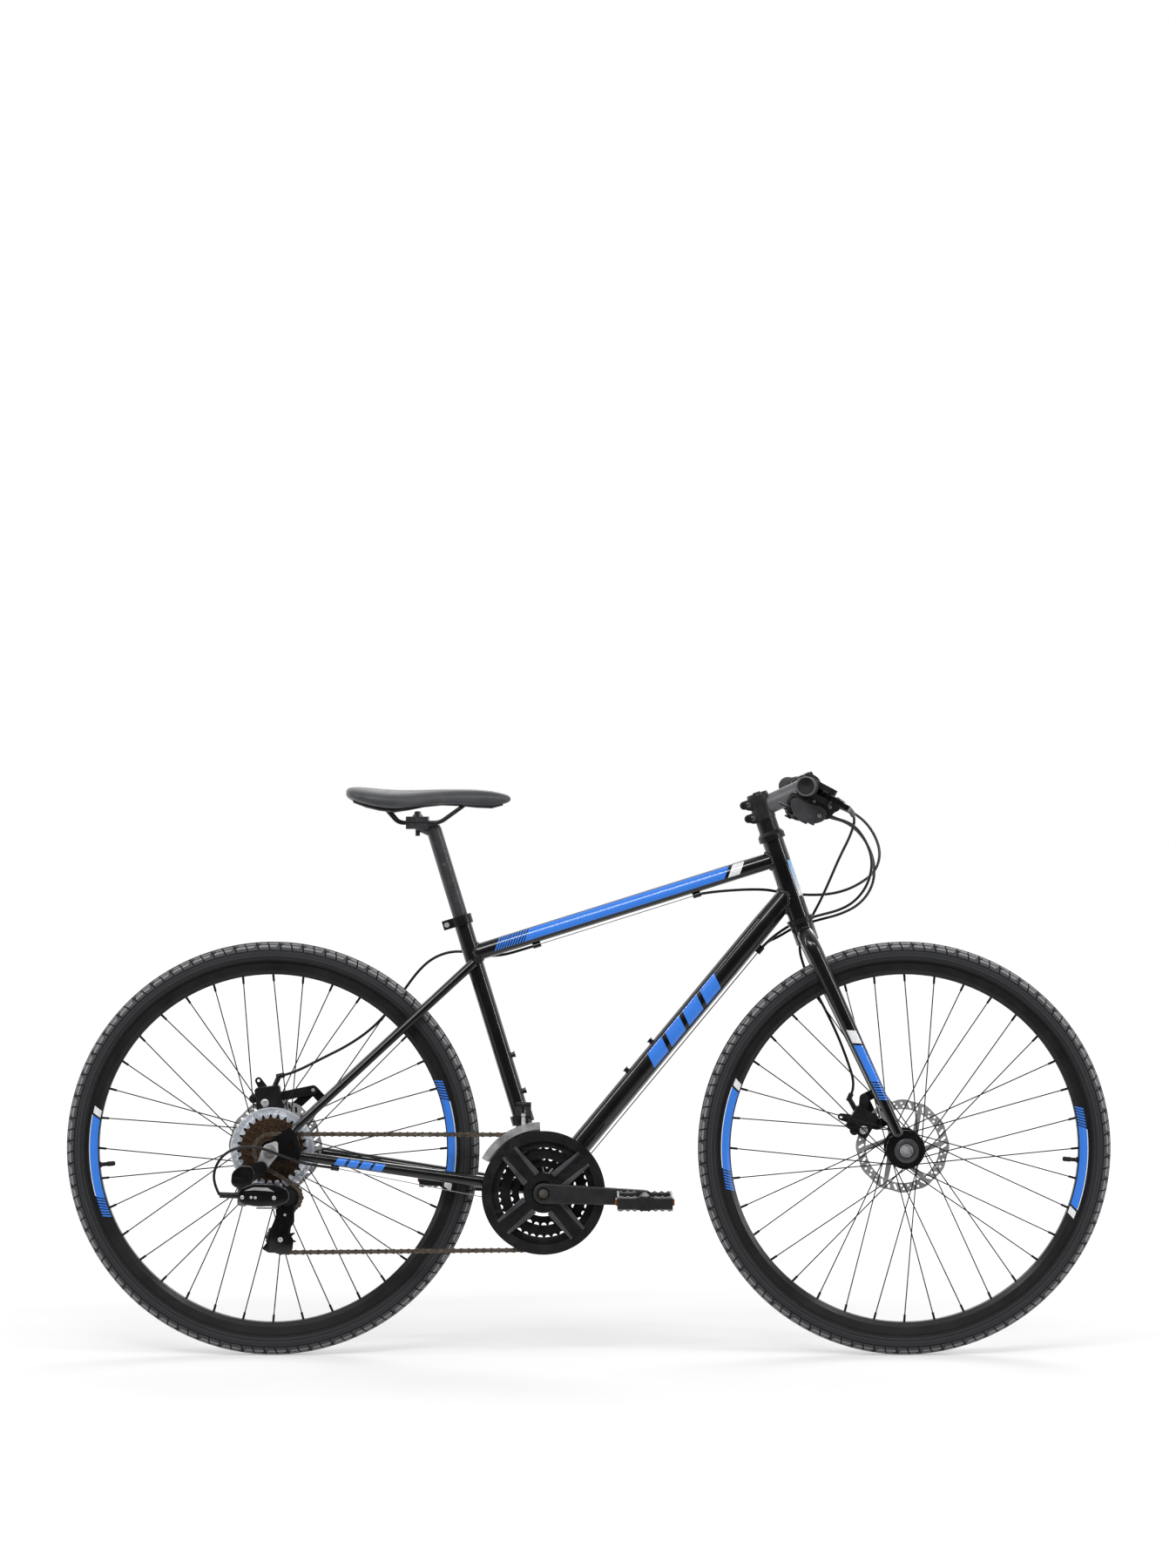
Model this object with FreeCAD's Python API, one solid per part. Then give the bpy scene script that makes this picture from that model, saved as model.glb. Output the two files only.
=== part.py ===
import FreeCAD, Part
import math
import os
from FreeCAD import Matrix, Placement, Rotation, Vector

# A flat-bar hybrid bicycle with disc brakes and a triple chainset, as separate named pieces.
# Millimetres. +X is forward, +Y is the rider's left and +Z is up. The origin is on the ground, midway
# between the two wheels, and the drive side is at -Y. Along-the-axle places are Y values.

# Clearances and cuts
FIT_GAP = 0.05
RUN_GAP = 0.06
BODY_GAP = 0.4
CUT_OVERRUN = 2.0

# Stance; the frame and the fork are laid out round the tyres
RIM_SEAT_RADIUS = 311.0
TYRE_HEIGHT = 40.0
TYRE_RADIUS = RIM_SEAT_RADIUS + TYRE_HEIGHT
WHEEL_SPACE = 371.0
WHEELBASE = 2 * TYRE_RADIUS + WHEEL_SPACE
BRACKET_TYRE_SPACE = 114.5
CHAINSTAY_LENGTH = TYRE_RADIUS + BRACKET_TYRE_SPACE
BRACKET_DROP = 70.0
SEAT_ANGLE = 73.0
HEAD_ANGLE = 71.0
FORK_TYRE_SPACE = 65.0
FORK_HEIGHT = TYRE_RADIUS + FORK_TYRE_SPACE
FORK_OFFSET = 41.0

# Frame tubes
HEAD_TUBE_LENGTH = 140.0
HEAD_TUBE_RADIUS = 18.4
HEAD_CUP_BORE = 17.0
TOP_TUBE_RADIUS = 14.3
TOP_TUBE_HEAD_HEIGHT = 108.0
TOP_TUBE_SEAT_DROP = 68.0
DOWN_TUBE_RADIUS = 19.0
DOWN_TUBE_END_RADIUS = 17.4
DOWN_TUBE_END_LENGTH = 70.0
DOWN_TUBE_HEAD_HEIGHT = 47.0
SEAT_TUBE_LENGTH = 486.0
SEAT_TUBE_RADIUS = 14.8
TUBE_WALL = 1.6
BRACKET_SHELL_WIDTH = 68.0
BRACKET_SHELL_RADIUS = 20.5
BRACKET_BORE = 17.2
CHAINSTAY_BRACKET_RADIUS = 11.0
CHAINSTAY_END_RADIUS = 8.0
CHAINSTAY_BRACKET_SPREAD = 20.0
CHAINSTAY_END_REACH = 50.0
SEATSTAY_TOP_RADIUS = 8.0
SEATSTAY_END_RADIUS = 6.8
SEATSTAY_TOP_SPREAD = 18.0
SEATSTAY_SEAT_DROP = 82.0
SEATSTAY_END_REACH = 52.0
BRIDGE_RADIUS = 6.0
SEATSTAY_BRIDGE_SPACE = 20.0
SEATSTAY_BRIDGE_REACH = TYRE_RADIUS + SEATSTAY_BRIDGE_SPACE
CHAINSTAY_BRIDGE_SPACE = 22.0
CHAINSTAY_BRIDGE_REACH = TYRE_RADIUS + CHAINSTAY_BRIDGE_SPACE

# Rear ends of the frame
REAR_SPACING = 135.0
DROPOUT_THICKNESS = 6.0
DROPOUT_AXLE_RADIUS = 15.0
DROPOUT_STAY_RADIUS = 8.0
DROPOUT_WEB_RADIUS = 5.0

# Bottle-cage bosses and cable guides
BOSS_RADIUS = 4.6
BOSS_STAND = 6.0
BOSS_RIM_HEIGHT = 2.0
BOSS_RIM_RADIUS = 5.6
BOSS_HOLE_RADIUS = 2.1
BOSS_HOLE_DEPTH = 9.0
SEAT_BOSS_HEIGHTS = (170.0, 234.0)
DOWN_BOSS_HEIGHTS = (246.0, 310.0)
CABLE_RADIUS = 2.4
WIRE_RADIUS = 0.8
GUIDE_RADIUS = 4.6
GUIDE_LENGTH = 14.0
DOWN_STOP_SPREADS = (3.0, 14.0)
DOWN_STOP_HEIGHT = 548.0
TOP_GUIDE_REACHES = (110.0, 395.0)
BRACKET_GUIDE_RADIUS = 7.0
BRACKET_GUIDE_LENGTH = 30.0
STAY_STOP_REACH = 112.0

# Fork
STEERER_RADIUS = 14.3
STEERER_WALL = 2.0
BLADE_TOP_RADIUS = 14.6
BLADE_END_RADIUS = 8.6
BLADE_TOP_SPREAD = 43.0
BLADE_END_SPREAD = 57.0
BLADE_END_REACH = 34.0
BLADE_VENT = 12.0
CROWN_DROP = 17.0
CROWN_BEND = 33.0
FRONT_SPACING = 100.0
FORK_END_THICKNESS = 6.0
FORK_END_RADIUS = 16.0
FORK_LIP_RADIUS = 19.5
FORK_LIP_HEIGHT = 2.0
FORK_LIP_BORE = 14.0

# Headset and stem
CUP_HEIGHT = 9.0
CUP_RADIUS = 23.0
CUP_SKIRT = 14.0
CUP_WALL = 1.5
RACE_HEIGHT = 3.0
RACE_RADIUS = 20.0
COVER_HEIGHT = 7.0
COVER_TOP_RADIUS = 18.0
SPACER_HEIGHTS = (11.0, 11.0)
SPACER_RADIUS = 17.6
STEM_CLAMP_HEIGHT = 42.0
STEM_CLAMP_RADIUS = 18.6
STEM_LENGTH = 88.0
STEM_RISE = 5.0
STEM_NECK_RADIUS = 15.5
STEM_BAR_RADIUS = 20.5
STEM_BAR_WIDTH = 44.0
STEM_SPLIT = 2.0
STEM_EAR_REACH = 27.0
STEM_EAR_RADIUS = 7.0
STEM_EAR_WIDTH = 22.0
STEM_EAR_SPACING = 24.0
STEM_EAR_SLOT = 2.4
TOP_CAP_HEIGHT = 4.0
BOLT_RADIUS = 2.5
BOLT_HEAD_RADIUS = 4.3
BOLT_HEAD_HEIGHT = 4.0

# Handlebar and grips
BAR_HALF_WIDTH = 310.0
BAR_RADIUS = 11.1
BAR_WALL = 2.0
BAR_CLAMP_RADIUS = 12.7
BAR_CLAMP_HALF = 40.0
BAR_BEND_HALF = 75.0
BAR_SWEEP = 5.0
GRIP_LENGTH = 128.0
GRIP_RADIUS = 15.6
GRIP_FLANGE_RADIUS = 17.0
GRIP_FLANGE_LENGTH = 5.0
GRIP_CAP = 4.0

# Brake levers and shifters on the bar
CONTROL_TILT = 28.0
PERCH_SPREAD = 166.0
PERCH_RADIUS = 16.0
PERCH_WIDTH = 20.0
PERCH_REACH = 36.0
PERCH_BLOCK = 15.0
LEVER_PIVOT_RADIUS = 3.0
LEVER_KNUCKLE_RADIUS = 8.0
LEVER_THICKNESS = 9.0
LEVER_BLADE_REACH = 72.0
LEVER_ROOT_RUN = 30.0
LEVER_BLADE_RUN = 112.0
LEVER_BLADE_RADIUS = 5.0
LEVER_BALL_RADIUS = 8.0
BARREL_RADIUS = 5.0
BARREL_LENGTH = 44.0
BARREL_FORWARD_SHARE = 1.2
BARREL_SEAT = 5.0
POD_SPREAD = 132.0
POD_DROP = 33.0
POD_FORWARD = 4.0
POD_LENGTH = 54.0
POD_HEIGHT = 26.0
POD_WIDTH = 34.0
POD_CORNER = 7.0
POD_BAND_WIDTH = 14.0
POD_BAND_RADIUS = 14.5
POD_BARREL_RISE = 5.0
POD_BARREL_INWARD_SHARE = 0.35
POD_BARREL_LENGTH = 20.0
SHIFT_PIVOT_RADIUS = 3.0
SHIFT_HUB_RADIUS = 8.0
SHIFT_THICKNESS = 4.0
THUMB_REACH = 40.0
THUMB_PAD_RADIUS = 8.5
THUMB_ANGLE = 155.0
TRIGGER_REACH = 40.0
TRIGGER_PAD_RADIUS = 6.5
TRIGGER_ANGLE = 35.0

# Wheels
TYRE_WIDTH = 40.0
TYRE_SIDE_WALL = 4.3
TYRE_CROWN_WALL = 3.6
TYRE_BEAD = 3.4
TYRE_NECK = 0.6
TUBE_SKIN = 1.0
VALVE_RADIUS = 4.0
VALVE_REACH = 26.0
VALVE_COLLAR_RADIUS = 6.0
VALVE_COLLAR_HEIGHT = 3.0
REAR_VALVE_ANGLE = 185.5
FRONT_VALVE_ANGLE = -3.9
RIM_FLANGE_HEIGHT = 6.0
RIM_FLANGE_RADIUS = RIM_SEAT_RADIUS + RIM_FLANGE_HEIGHT
RIM_DEPTH = 15.5
RIM_INNER_RADIUS = RIM_SEAT_RADIUS - RIM_DEPTH
RIM_WIDTH = 24.0
RIM_INNER_WIDTH = 14.0
RIM_SIDE_DEPTH = 14.0
RIM_WALL = 1.8
RIM_WELL = 3.0
SPOKES_PER_SIDE = 18
SPOKE_CROSSES = 3
SPOKE_RADIUS = 1.0
SPOKE_HEAD_RADIUS = 1.9
SPOKE_HEAD_HEIGHT = 1.0
SPOKE_HOLE_RADIUS = 1.25
SPOKE_LEAN_SHARE = 0.075
NIPPLE_RADIUS = 2.0
NIPPLE_LENGTH = 12.0
FLANGE_RADIUS = 33.0
FLANGE_HOLE_RADIUS = 29.2
FLANGE_THICKNESS = 3.2
HUB_BARREL_RADIUS = 16.0
HUB_BORE = 12.0
CONE_RADIUS = 9.0
CONE_LENGTH = 9.0
LOCKNUT_RADIUS = 8.0
LOCKNUT_LENGTH = 3.0
AXLE_RADIUS = 5.0
AXLE_STAND = 6.0
NUT_FLATS = 15.0
NUT_HEIGHT = 8.0
WASHER_RADIUS = 11.5
WASHER_HEIGHT = 2.0
FRONT_FLANGES = (-34.0, 26.0)
REAR_FLANGES = (-17.0, 33.0)

# Brake rotors and calipers
ROTOR_RADIUS = 80.0
ROTOR_WAVE = 2.0
ROTOR_WAVES = 12
ROTOR_TRACK = 15.0
ROTOR_THICKNESS = 1.8
ROTOR_ARMS = 6
ROTOR_ARM_WIDTH = 8.0
ROTOR_ARM_LEAN = 34.0
ROTOR_HUB_RADIUS = 27.0
ROTOR_BORE = 17.5
ROTOR_BOLT_CIRCLE = 22.0
ROTOR_BOLT_RADIUS = 2.4
ROTOR_BOLT_HEAD = 4.2
ROTOR_HOLES = 36
ROTOR_HOLE_RADIUS = 1.9
ROTOR_SLOT_LENGTH = 7.0
FRONT_ROTOR_INSET = 10.6
REAR_ROTOR_INSET = 15.6
CALIPER_INNER_REACH = 60.0
CALIPER_OUTER_REACH = 102.0
CALIPER_HALF_WIDTH = 22.0
CALIPER_INBOARD = 9.0
CALIPER_OUTBOARD = 10.5
CALIPER_CORNER = 5.0
CALIPER_SLOT_HALF = 4.6
CALIPER_SLOT_REACH = 86.0
PAD_INNER_REACH = 64.5
PAD_OUTER_REACH = 79.0
PAD_HALF_WIDTH = 13.0
PAD_GAP = 0.35
CALIPER_BOSS_RADIUS = 11.5
CALIPER_BOSS_HEIGHT = 4.0
ARM_PIVOT_REACH = 80.0
ARM_PIVOT_RADIUS = 3.5
ARM_LENGTH = 36.0
ARM_THICKNESS = 4.0
ARM_HUB_RADIUS = 9.5
ARM_END_RADIUS = 6.0
BRACKET_PLATE = 4.5
BRACKET_EAR_RADIUS = 8.0
TAB_GAP = 11.0
TAB_THICKNESS = 6.0
TAB_BOLT_RADIUS = 3.0
TAB_BOLT_HEAD = 5.0
TAB_SPACING = 51.0
FRONT_CALIPER_ANGLE = 149.0
FRONT_TAB_REACH = 50.0
FRONT_TAB_OFFSET = 24.0
FRONT_ARM_ANGLE = 168.0
REAR_CALIPER_ANGLE = 98.0
REAR_TAB_REACH = 60.0
REAR_TAB_OFFSET = 26.0
REAR_ARM_ANGLE = 122.0
CABLE_STOP_RADIUS = 4.5
CABLE_STOP_LENGTH = 14.0
FRONT_STOP_FROM_AXLE = (-86.5, 51.0, 89.0)
REAR_STOP_FROM_AXLE = (14.5, 63.0, 120.0)

# Crankset
CRANK_LENGTH = 170.0
CRANK_ANGLE = -2.4
CRANK_HUB_RADIUS = 17.0
CRANK_END_RADIUS = 13.0
CRANK_THICKNESS = 13.0
CRANK_FACE = 82.0
CRANK_HUB_INNER = 43.0
CRANK_EDGE = 2.5
SPINDLE_RADIUS = 8.5
SPINDLE_SQUARE = 12.6
SPINDLE_SHOULDER = 40.0
CRANK_BOLT_RADIUS = 4.0
CRANK_BOLT_HEAD = 7.5
CRANK_RECESS_RADIUS = 11.0
CRANK_RECESS_DEPTH = 5.0
BRACKET_CUP_DEPTH = 20.0
BRACKET_CUP_FLANGE = 2.5
CHAIN_PLANE = -57.0
RING_STEP = 7.0
RING_TEETH = (48, 38, 28)
RING_THICKNESS = 2.0
RING_BAND = 15.0
SPIDER_ARMS = 4
SPIDER_ARM_ANGLE = 42.6
SPIDER_ARM_RADIUS = 11.0
SPIDER_DISC_RADIUS = 30.0
SPIDER_REACH = 78.0
POST_RADIUS = 5.0
POST_REACH = 50.0
GUARD_BACK = -62.0
GUARD_THICKNESS = 5.0
GUARD_RADIUS = 104.3
GUARD_BAND = 17.0
GUARD_ARM_RADIUS = 14.0
GUARD_HUB_RADIUS = 34.0
GUARD_BORE = 20.0
GUARD_RIDGE_RADIUS = 3.0
GUARD_RIDGE_HEIGHT = 1.6
GUARD_RIDGE_SPREAD = 8.0

# Pedals
PEDAL_AXLE_RADIUS = 5.0
PEDAL_THREAD_RADIUS = 7.0
PEDAL_FLANGE_RADIUS = 9.0
PEDAL_FLANGE_LENGTH = 3.0
PEDAL_BARREL_RADIUS = 10.5
PEDAL_INNER_GAP = 3.0
PEDAL_WIDTH = 94.0
PEDAL_LENGTH = 92.0
PEDAL_THICKNESS = 26.0
PEDAL_WALL = 3.0
PEDAL_TEETH = 8
PEDAL_TOOTH = 3.0
PEDAL_RIB = 6.0
PEDAL_CAP = 5.0

# Freewheel and chain
COG_TEETH = (14, 16, 18, 20, 22, 24, 28)
COG_STEP = 5.0
COG_THICKNESS = 2.0
FREEWHEEL_BODY_RADIUS = 22.0
FREEWHEEL_BORE = 17.4
FREEWHEEL_LOCK_RADIUS = 21.0
FREEWHEEL_LOCK_LENGTH = 2.6
PROTECTOR_RADIUS = 71.0
PROTECTOR_PLANE = -24.0
PROTECTOR_THICKNESS = 1.4
PROTECTOR_BORE = 24.0
CHAIN_PITCH = 12.7
CHAIN_LINKS = 118
ROLLER_RADIUS = 3.9
SEAT_RADIUS = 4.15
SEAT_HALF_ANGLE = 68.0
TOOTH_HEIGHT = 3.3
TOOTH_TIP = 1.7
PIN_RADIUS = 1.8
BUSH_GAP = 0.15
LINK_RADIUS = 4.2
LINK_WAIST = 3.2
LINK_PLATE = 0.95
LINK_INNER_HALF = 1.2
LINK_SIDE_GAP = 0.12
PIN_HALF = 3.5

# Rear derailleur
HANGER_THICKNESS = 3.0
HANGER_BACK = 14.3
HANGER_DROP = 26.0
HANGER_AXLE_RADIUS = 14.0
HANGER_EYE_RADIUS = 9.0
HANGER_BOLT_FORWARD = 9.0
HANGER_BOLT_RISE = 13.0
KNUCKLE_BOLT_RADIUS = 5.0
KNUCKLE_BOLT_HEAD = 8.0
KNUCKLE_RADIUS = 11.0
KNUCKLE_LOBE_RADIUS = 13.0
KNUCKLE_WIDTH = 14.0
KNUCKLE_LOBE_BACK = 33.0
KNUCKLE_LOBE_DROP = 22.0
LINK_PIVOT_BACK = 30.0
LINK_PIVOT_DROP = 47.0
LINK_PIVOT_FACE = -86.0
LINK_RUN = 54.0
LINK_FALL = 2.0
LINK_INWARD = 5.0
LINK_SPREAD = 11.0
LINK_SLANT = 25.0
LINK_HEIGHT = 20.0
LINK_THICK_RADIUS = 3.6
LINK_PIN_RADIUS = 2.0
CLEVIS_PLATE = 3.0
CLEVIS_RADIUS = 5.6
CLEVIS_BACK = 8.0
GUIDE_FORWARD = 29.2
GUIDE_DROP = 77.9
PULLEY_TEETH = 11
PULLEY_SPACING = 72.0
PULLEY_HUB_RADIUS = 8.0
PULLEY_BORE = 4.0
PULLEY_HUB_HALF = 4.6
CAGE_HALF_GAP = 5.2
CAGE_PLATE = 1.6
CAGE_TOP_RADIUS = 15.0
CAGE_END_RADIUS = 13.0
CAGE_PIVOT_RADIUS = 5.0
CAGE_KNUCKLE_RADIUS = 13.0
CAGE_ARM_RADIUS = 4.8
CAGE_KNUCKLE_WIDTH = 13.0
CAGE_TOE_DROP = 14.0
CAGE_TOE_BACK = 14.0

# Front derailleur
FD_CLAMP_HEIGHT = 126.0
FD_BAND_WIDTH = 16.0
FD_BAND_RADIUS = 19.5
FD_PIVOT_FACE = -33.0
FD_PIVOT_BACK = 34.0
FD_PIVOT_RISE = 146.0
FD_LINK_OUT = 11.0
FD_LINK_DROP = 18.0
FD_LINK_RADIUS = 4.6
FD_LINK_WIDTH = 7.0
FD_PIN_RADIUS = 2.0
FD_PIN_LENGTH = 26.0
FD_CAGE_START = 93.0
FD_ROOF_SHARE = 0.42
FD_CAGE_END = 151.0
FD_PLATE = 1.4
FD_INNER_FACE = -50.6
FD_INNER_LOW = 86.0
FD_OUTER_FACE = -62.6
FD_OUTER_LOW = 107.0
FD_CAGE_TOP = 119.0
FD_BRIDGE = 1.6

# Seat collar and seatpost
COLLAR_HEIGHT = 16.0
COLLAR_RADIUS = 18.6
COLLAR_EAR_REACH = 26.0
COLLAR_EAR_RADIUS = 7.0
COLLAR_EAR_WIDTH = 18.0
COLLAR_SLOT = 2.0
SEATPOST_RADIUS = 12.9
SEATPOST_WALL = 2.0
SEATPOST_EXPOSED = 152.0
SEATPOST_INSERT = 135.0
POST_HEAD_BACK = 28.0
POST_HEAD_RISE = 13.0
POST_HEAD_RADIUS = 10.0
CLAMP_LENGTH = 38.0
CLAMP_WIDTH = 56.0
CLAMP_PLATE = 7.0
CLAMP_BOLT_RADIUS = 4.0
CLAMP_BOLT_HEAD = 7.0
CLAMP_BOLT_REACH = 12.0

# Saddle
SADDLE_LENGTH = 268.0
SADDLE_HALF_WIDTH = 78.0
SADDLE_HEIGHT = 46.0
SADDLE_BACK = 111.1736
SADDLE_RISE = 15.8776
SADDLE_FLOOR_SHARE = 0.5
SHOULDER_DROP_SHARE = 0.34
SHOULDER_WIDTH_SHARE = 0.72
UNDER_WIDTH_SHARE = 0.8
UNDER_ARCH_SHARE = 0.3
SIDE_BULGE_SHARES = (0.93, 0.62)
CROWN_BULGE_SHARES = (0.55, 0.74)
BASE_WIDTH_SHARE = 0.86
BASE_BRIM_SHARE = 0.3
BASE_SINK_SHARE = 0.3
RAIL_RADIUS = 3.5
RAIL_SPREAD = 22.0
RAIL_REAR_SPREAD = 38.0
RAIL_FRONT_SPREAD = 9.0
RAIL_FLAT_SHARES = (0.26, 0.60)
RAIL_REAR_SHARE = 0.19
RAIL_FRONT_SHARE = 0.75
RAIL_REAR_RISE = 23.0
RAIL_FRONT_RISE = 28.0
RAIL_SOCKET_RADIUS = 7.0
BASE_THICKNESS = 4.0
COVER_LIP = 2.5

SIDES = (-1, 1)
LEFT = Vector(0, 1, 0)
UP = Vector(0, 0, 1)

# Saddle stations: place along the length, half width, top, bottom and edge, as shares of its sizes
SADDLE_SHARES = (
    (0.000, 0.50, 0.92, 0.62, 0.74),
    (0.060, 0.82, 0.99, 0.38, 0.60),
    (0.150, 1.00, 0.97, 0.20, 0.42),
    (0.270, 0.94, 0.91, 0.06, 0.30),
    (0.400, 0.66, 0.87, 0.22, 0.40),
    (0.540, 0.40, 0.88, 0.32, 0.48),
    (0.700, 0.28, 0.89, 0.33, 0.48),
    (0.850, 0.24, 0.86, 0.24, 0.42),
    (0.950, 0.19, 0.75, 0.38, 0.52),
    (1.000, 0.09, 0.62, 0.50, 0.56),
)

# Cable routes, chosen by hand from where the housings run
RIGHT_SHIFT_ROUTE = ((446, -102, 904), (472, -78, 878), (488, -48, 842), (484, -16, 804),
                     (464, 8, 774), (432, 22, 756), (394, 28, 746), (354, 29, 735), (324, 20, 717))
LEFT_SHIFT_ROUTE = ((448, 106, 904), (476, 98, 876), (492, 88, 838), (490, 74, 798),
                    (468, 58, 766), (434, 44, 748), (394, 37, 738), (354, 35, 727), (322, 27, 708))
REAR_BRAKE_ROUTE = ((462, 104, 914), (484, 94, 888), (497, 82, 852), (487, 66, 820),
                    (456, 48, 794), (418, 36, 782), (376, 30, 780), (334, 27, 784), (292, 18, 792))
SEAT_LOOP_ROUTE = ((-146, 12, 678), (-176, 20, 677), (-206, 25, 684), (-238, 30, 684), (-268, 35, 672),
                   (-292, 40, 650), (-314, 44, 620), (-340, 49, 584), (-372, 54, 550), (-412, 59, 522),
                   (-456, 61, 500))
FRONT_BRAKE_ROUTE = ((448, -106, 916), (441, -76, 884), (424, -39, 846),
                     (402, 14, 786), (386, 45, 750), (357, 52, 700), (370, 53, 650), (397, 52, 600),
                     (423, 53, 548), (441, 54, 503))
DERAILLEUR_ROUTE = ((-474, -76, 330), (-512, -92, 344), (-548, -98, 360), (-584, -98, 362),
                    (-612, -97, 350), (-628, -95, 326), (-630, -93, 300), (-620, -92, 280))
BEND_SHARE = 0.45


def direction(angle):
    """Unit vector in the plane of the wheels, at an angle from straight ahead, turning up."""
    turn = math.radians(angle)
    return Vector(math.cos(turn), 0, math.sin(turn))


def toward(start, end):
    """Unit vector from one point to another."""
    return (end - start).normalize()


def across(y):
    """A step along the axles."""
    return Vector(0, y, 0)


REAR_AXLE = Vector(-WHEELBASE / 2, 0, TYRE_RADIUS)
FRONT_AXLE = Vector(WHEELBASE / 2, 0, TYRE_RADIUS)
BRACKET = REAR_AXLE + Vector(math.sqrt(CHAINSTAY_LENGTH ** 2 - BRACKET_DROP ** 2), 0, -BRACKET_DROP)
SEAT_UP = direction(180 - SEAT_ANGLE)
HEAD_UP = direction(180 - HEAD_ANGLE)
HEAD_FORWARD = direction(90 - HEAD_ANGLE)
CROWN_SEAT = FRONT_AXLE + HEAD_UP * FORK_HEIGHT - HEAD_FORWARD * FORK_OFFSET
HEAD_BOTTOM = CROWN_SEAT + HEAD_UP * (RACE_HEIGHT + CUP_HEIGHT)
HEAD_TOP = HEAD_BOTTOM + HEAD_UP * HEAD_TUBE_LENGTH
TOP_TUBE_FRONT = HEAD_BOTTOM + HEAD_UP * TOP_TUBE_HEAD_HEIGHT
TOP_TUBE_REAR = BRACKET + SEAT_UP * (SEAT_TUBE_LENGTH - TOP_TUBE_SEAT_DROP)
DOWN_TUBE_FRONT = HEAD_BOTTOM + HEAD_UP * DOWN_TUBE_HEAD_HEIGHT
SEAT_TOP = BRACKET + SEAT_UP * SEAT_TUBE_LENGTH
SEATSTAY_TOP = BRACKET + SEAT_UP * (SEAT_TUBE_LENGTH - SEATSTAY_SEAT_DROP)
STEM_LOW = HEAD_TOP + HEAD_UP * (CUP_HEIGHT + COVER_HEIGHT + sum(SPACER_HEIGHTS))
STEM_TOP = STEM_LOW + HEAD_UP * STEM_CLAMP_HEIGHT
STEM_MIDDLE = (STEM_LOW + STEM_TOP) * 0.5
STEM_FORWARD = direction(90 - HEAD_ANGLE + STEM_RISE)
BAR_CENTRE = STEM_MIDDLE + STEM_FORWARD * STEM_LENGTH
POST_TOP = SEAT_TOP + SEAT_UP * SEATPOST_EXPOSED
RAIL_CENTRE = POST_TOP + Vector(-POST_HEAD_BACK, 0, POST_HEAD_RISE)
SADDLE_REAR = RAIL_CENTRE.x - SADDLE_BACK
SADDLE_LOW = RAIL_CENTRE.z + SADDLE_RISE
FRONT_CABLE_STOP = FRONT_AXLE + Vector(*FRONT_STOP_FROM_AXLE)
REAR_CABLE_STOP = REAR_AXLE + Vector(*REAR_STOP_FROM_AXLE)
FRONT_ROTOR_PLANE = FRONT_SPACING / 2 - FRONT_ROTOR_INSET
REAR_ROTOR_PLANE = REAR_SPACING / 2 - REAR_ROTOR_INSET
HANGER_EYE = REAR_AXLE + Vector(-HANGER_BACK, 0, -HANGER_DROP)
GUIDE_PULLEY = REAR_AXLE + Vector(GUIDE_FORWARD, 0, -GUIDE_DROP)
HANGER_FACE = -REAR_SPACING / 2 - DROPOUT_THICKNESS


def save(node, *shapes):
    """Write the solids of one node to its file."""
    solids = [solid for shape in shapes for solid in shape.Solids]
    whole = solids[0] if len(solids) == 1 else Part.makeCompound(solids)
    whole.exportStep(os.path.join("parts", node + ".step"))


def joined(shapes):
    """One solid from several that overlap."""
    return shapes[0].multiFuse(shapes[1:]).removeSplitter()


def rod(start, end, radius):
    """Round bar between two points."""
    return Part.makeCylinder(radius, (end - start).Length, start, end - start)


def cone(start, end, start_radius, end_radius):
    """Tapered round bar between two points."""
    if math.isclose(start_radius, end_radius):
        return rod(start, end, start_radius)
    return Part.makeCone(start_radius, end_radius, (end - start).Length, start, end - start)


def hole(start, end, radius):
    """Cutting bar that runs past both ends."""
    past = toward(start, end) * CUT_OVERRUN
    return rod(start - past, end + past, radius)


def pointed(shape, origin, axis):
    """Move a shape made along X so that it starts at origin and lies along axis."""
    moved = shape.copy()
    moved.Placement = Placement(origin, Rotation(Vector(1, 0, 0), axis)).multiply(moved.Placement)
    return moved


def framed(shape, origin, along_x, along_y):
    """Move a shape into a frame given by its origin and two axes."""
    along_z = along_x.cross(along_y)
    turn = Matrix(along_x.x, along_y.x, along_z.x, origin.x,
                  along_x.y, along_y.y, along_z.y, origin.y,
                  along_x.z, along_y.z, along_z.z, origin.z, 0, 0, 0, 1)
    moved = shape.copy()
    moved.Placement = Placement(turn).multiply(moved.Placement)
    return moved


def turned(origin, axis, profile, hollow=0):
    """Solid of revolution: profile gives (along, radius) steps, hollow the bore's radius."""
    corners = [(profile[0][0], hollow)] + list(profile) + [(profile[-1][0], hollow)]
    points = [Vector(along, radius, 0) for along, radius in corners]
    face = Part.Face(Part.makePolygon(points + points[:1]))
    return pointed(face.revolve(Vector(), Vector(1, 0, 0), 360), origin, axis)


def sleeve(start, end, radius, bore):
    """Plain round tube between two points."""
    return turned(start, end - start, [(0, radius), ((end - start).Length, radius)], bore)


def hexagon(origin, axis, flats, height, bore):
    """Hexagon nut with a plain bore."""
    corner = flats / math.sqrt(3)
    points = [Vector(0, corner * math.cos(turn * math.pi / 3), corner * math.sin(turn * math.pi / 3))
              for turn in range(7)]
    solid = Part.Face(Part.makePolygon(points)).extrude(Vector(height, 0, 0))
    bored = solid.cut(hole(Vector(), Vector(height, 0, 0), bore))
    return pointed(bored, origin, axis)


def bolt(origin, axis, head_radius, head_height, radius, length):
    """Bolt with its head standing out of origin and its shank going in along axis."""
    steps = [(-head_height, head_radius), (0, head_radius), (0, radius), (length, radius)]
    return turned(origin, axis, steps)


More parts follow.
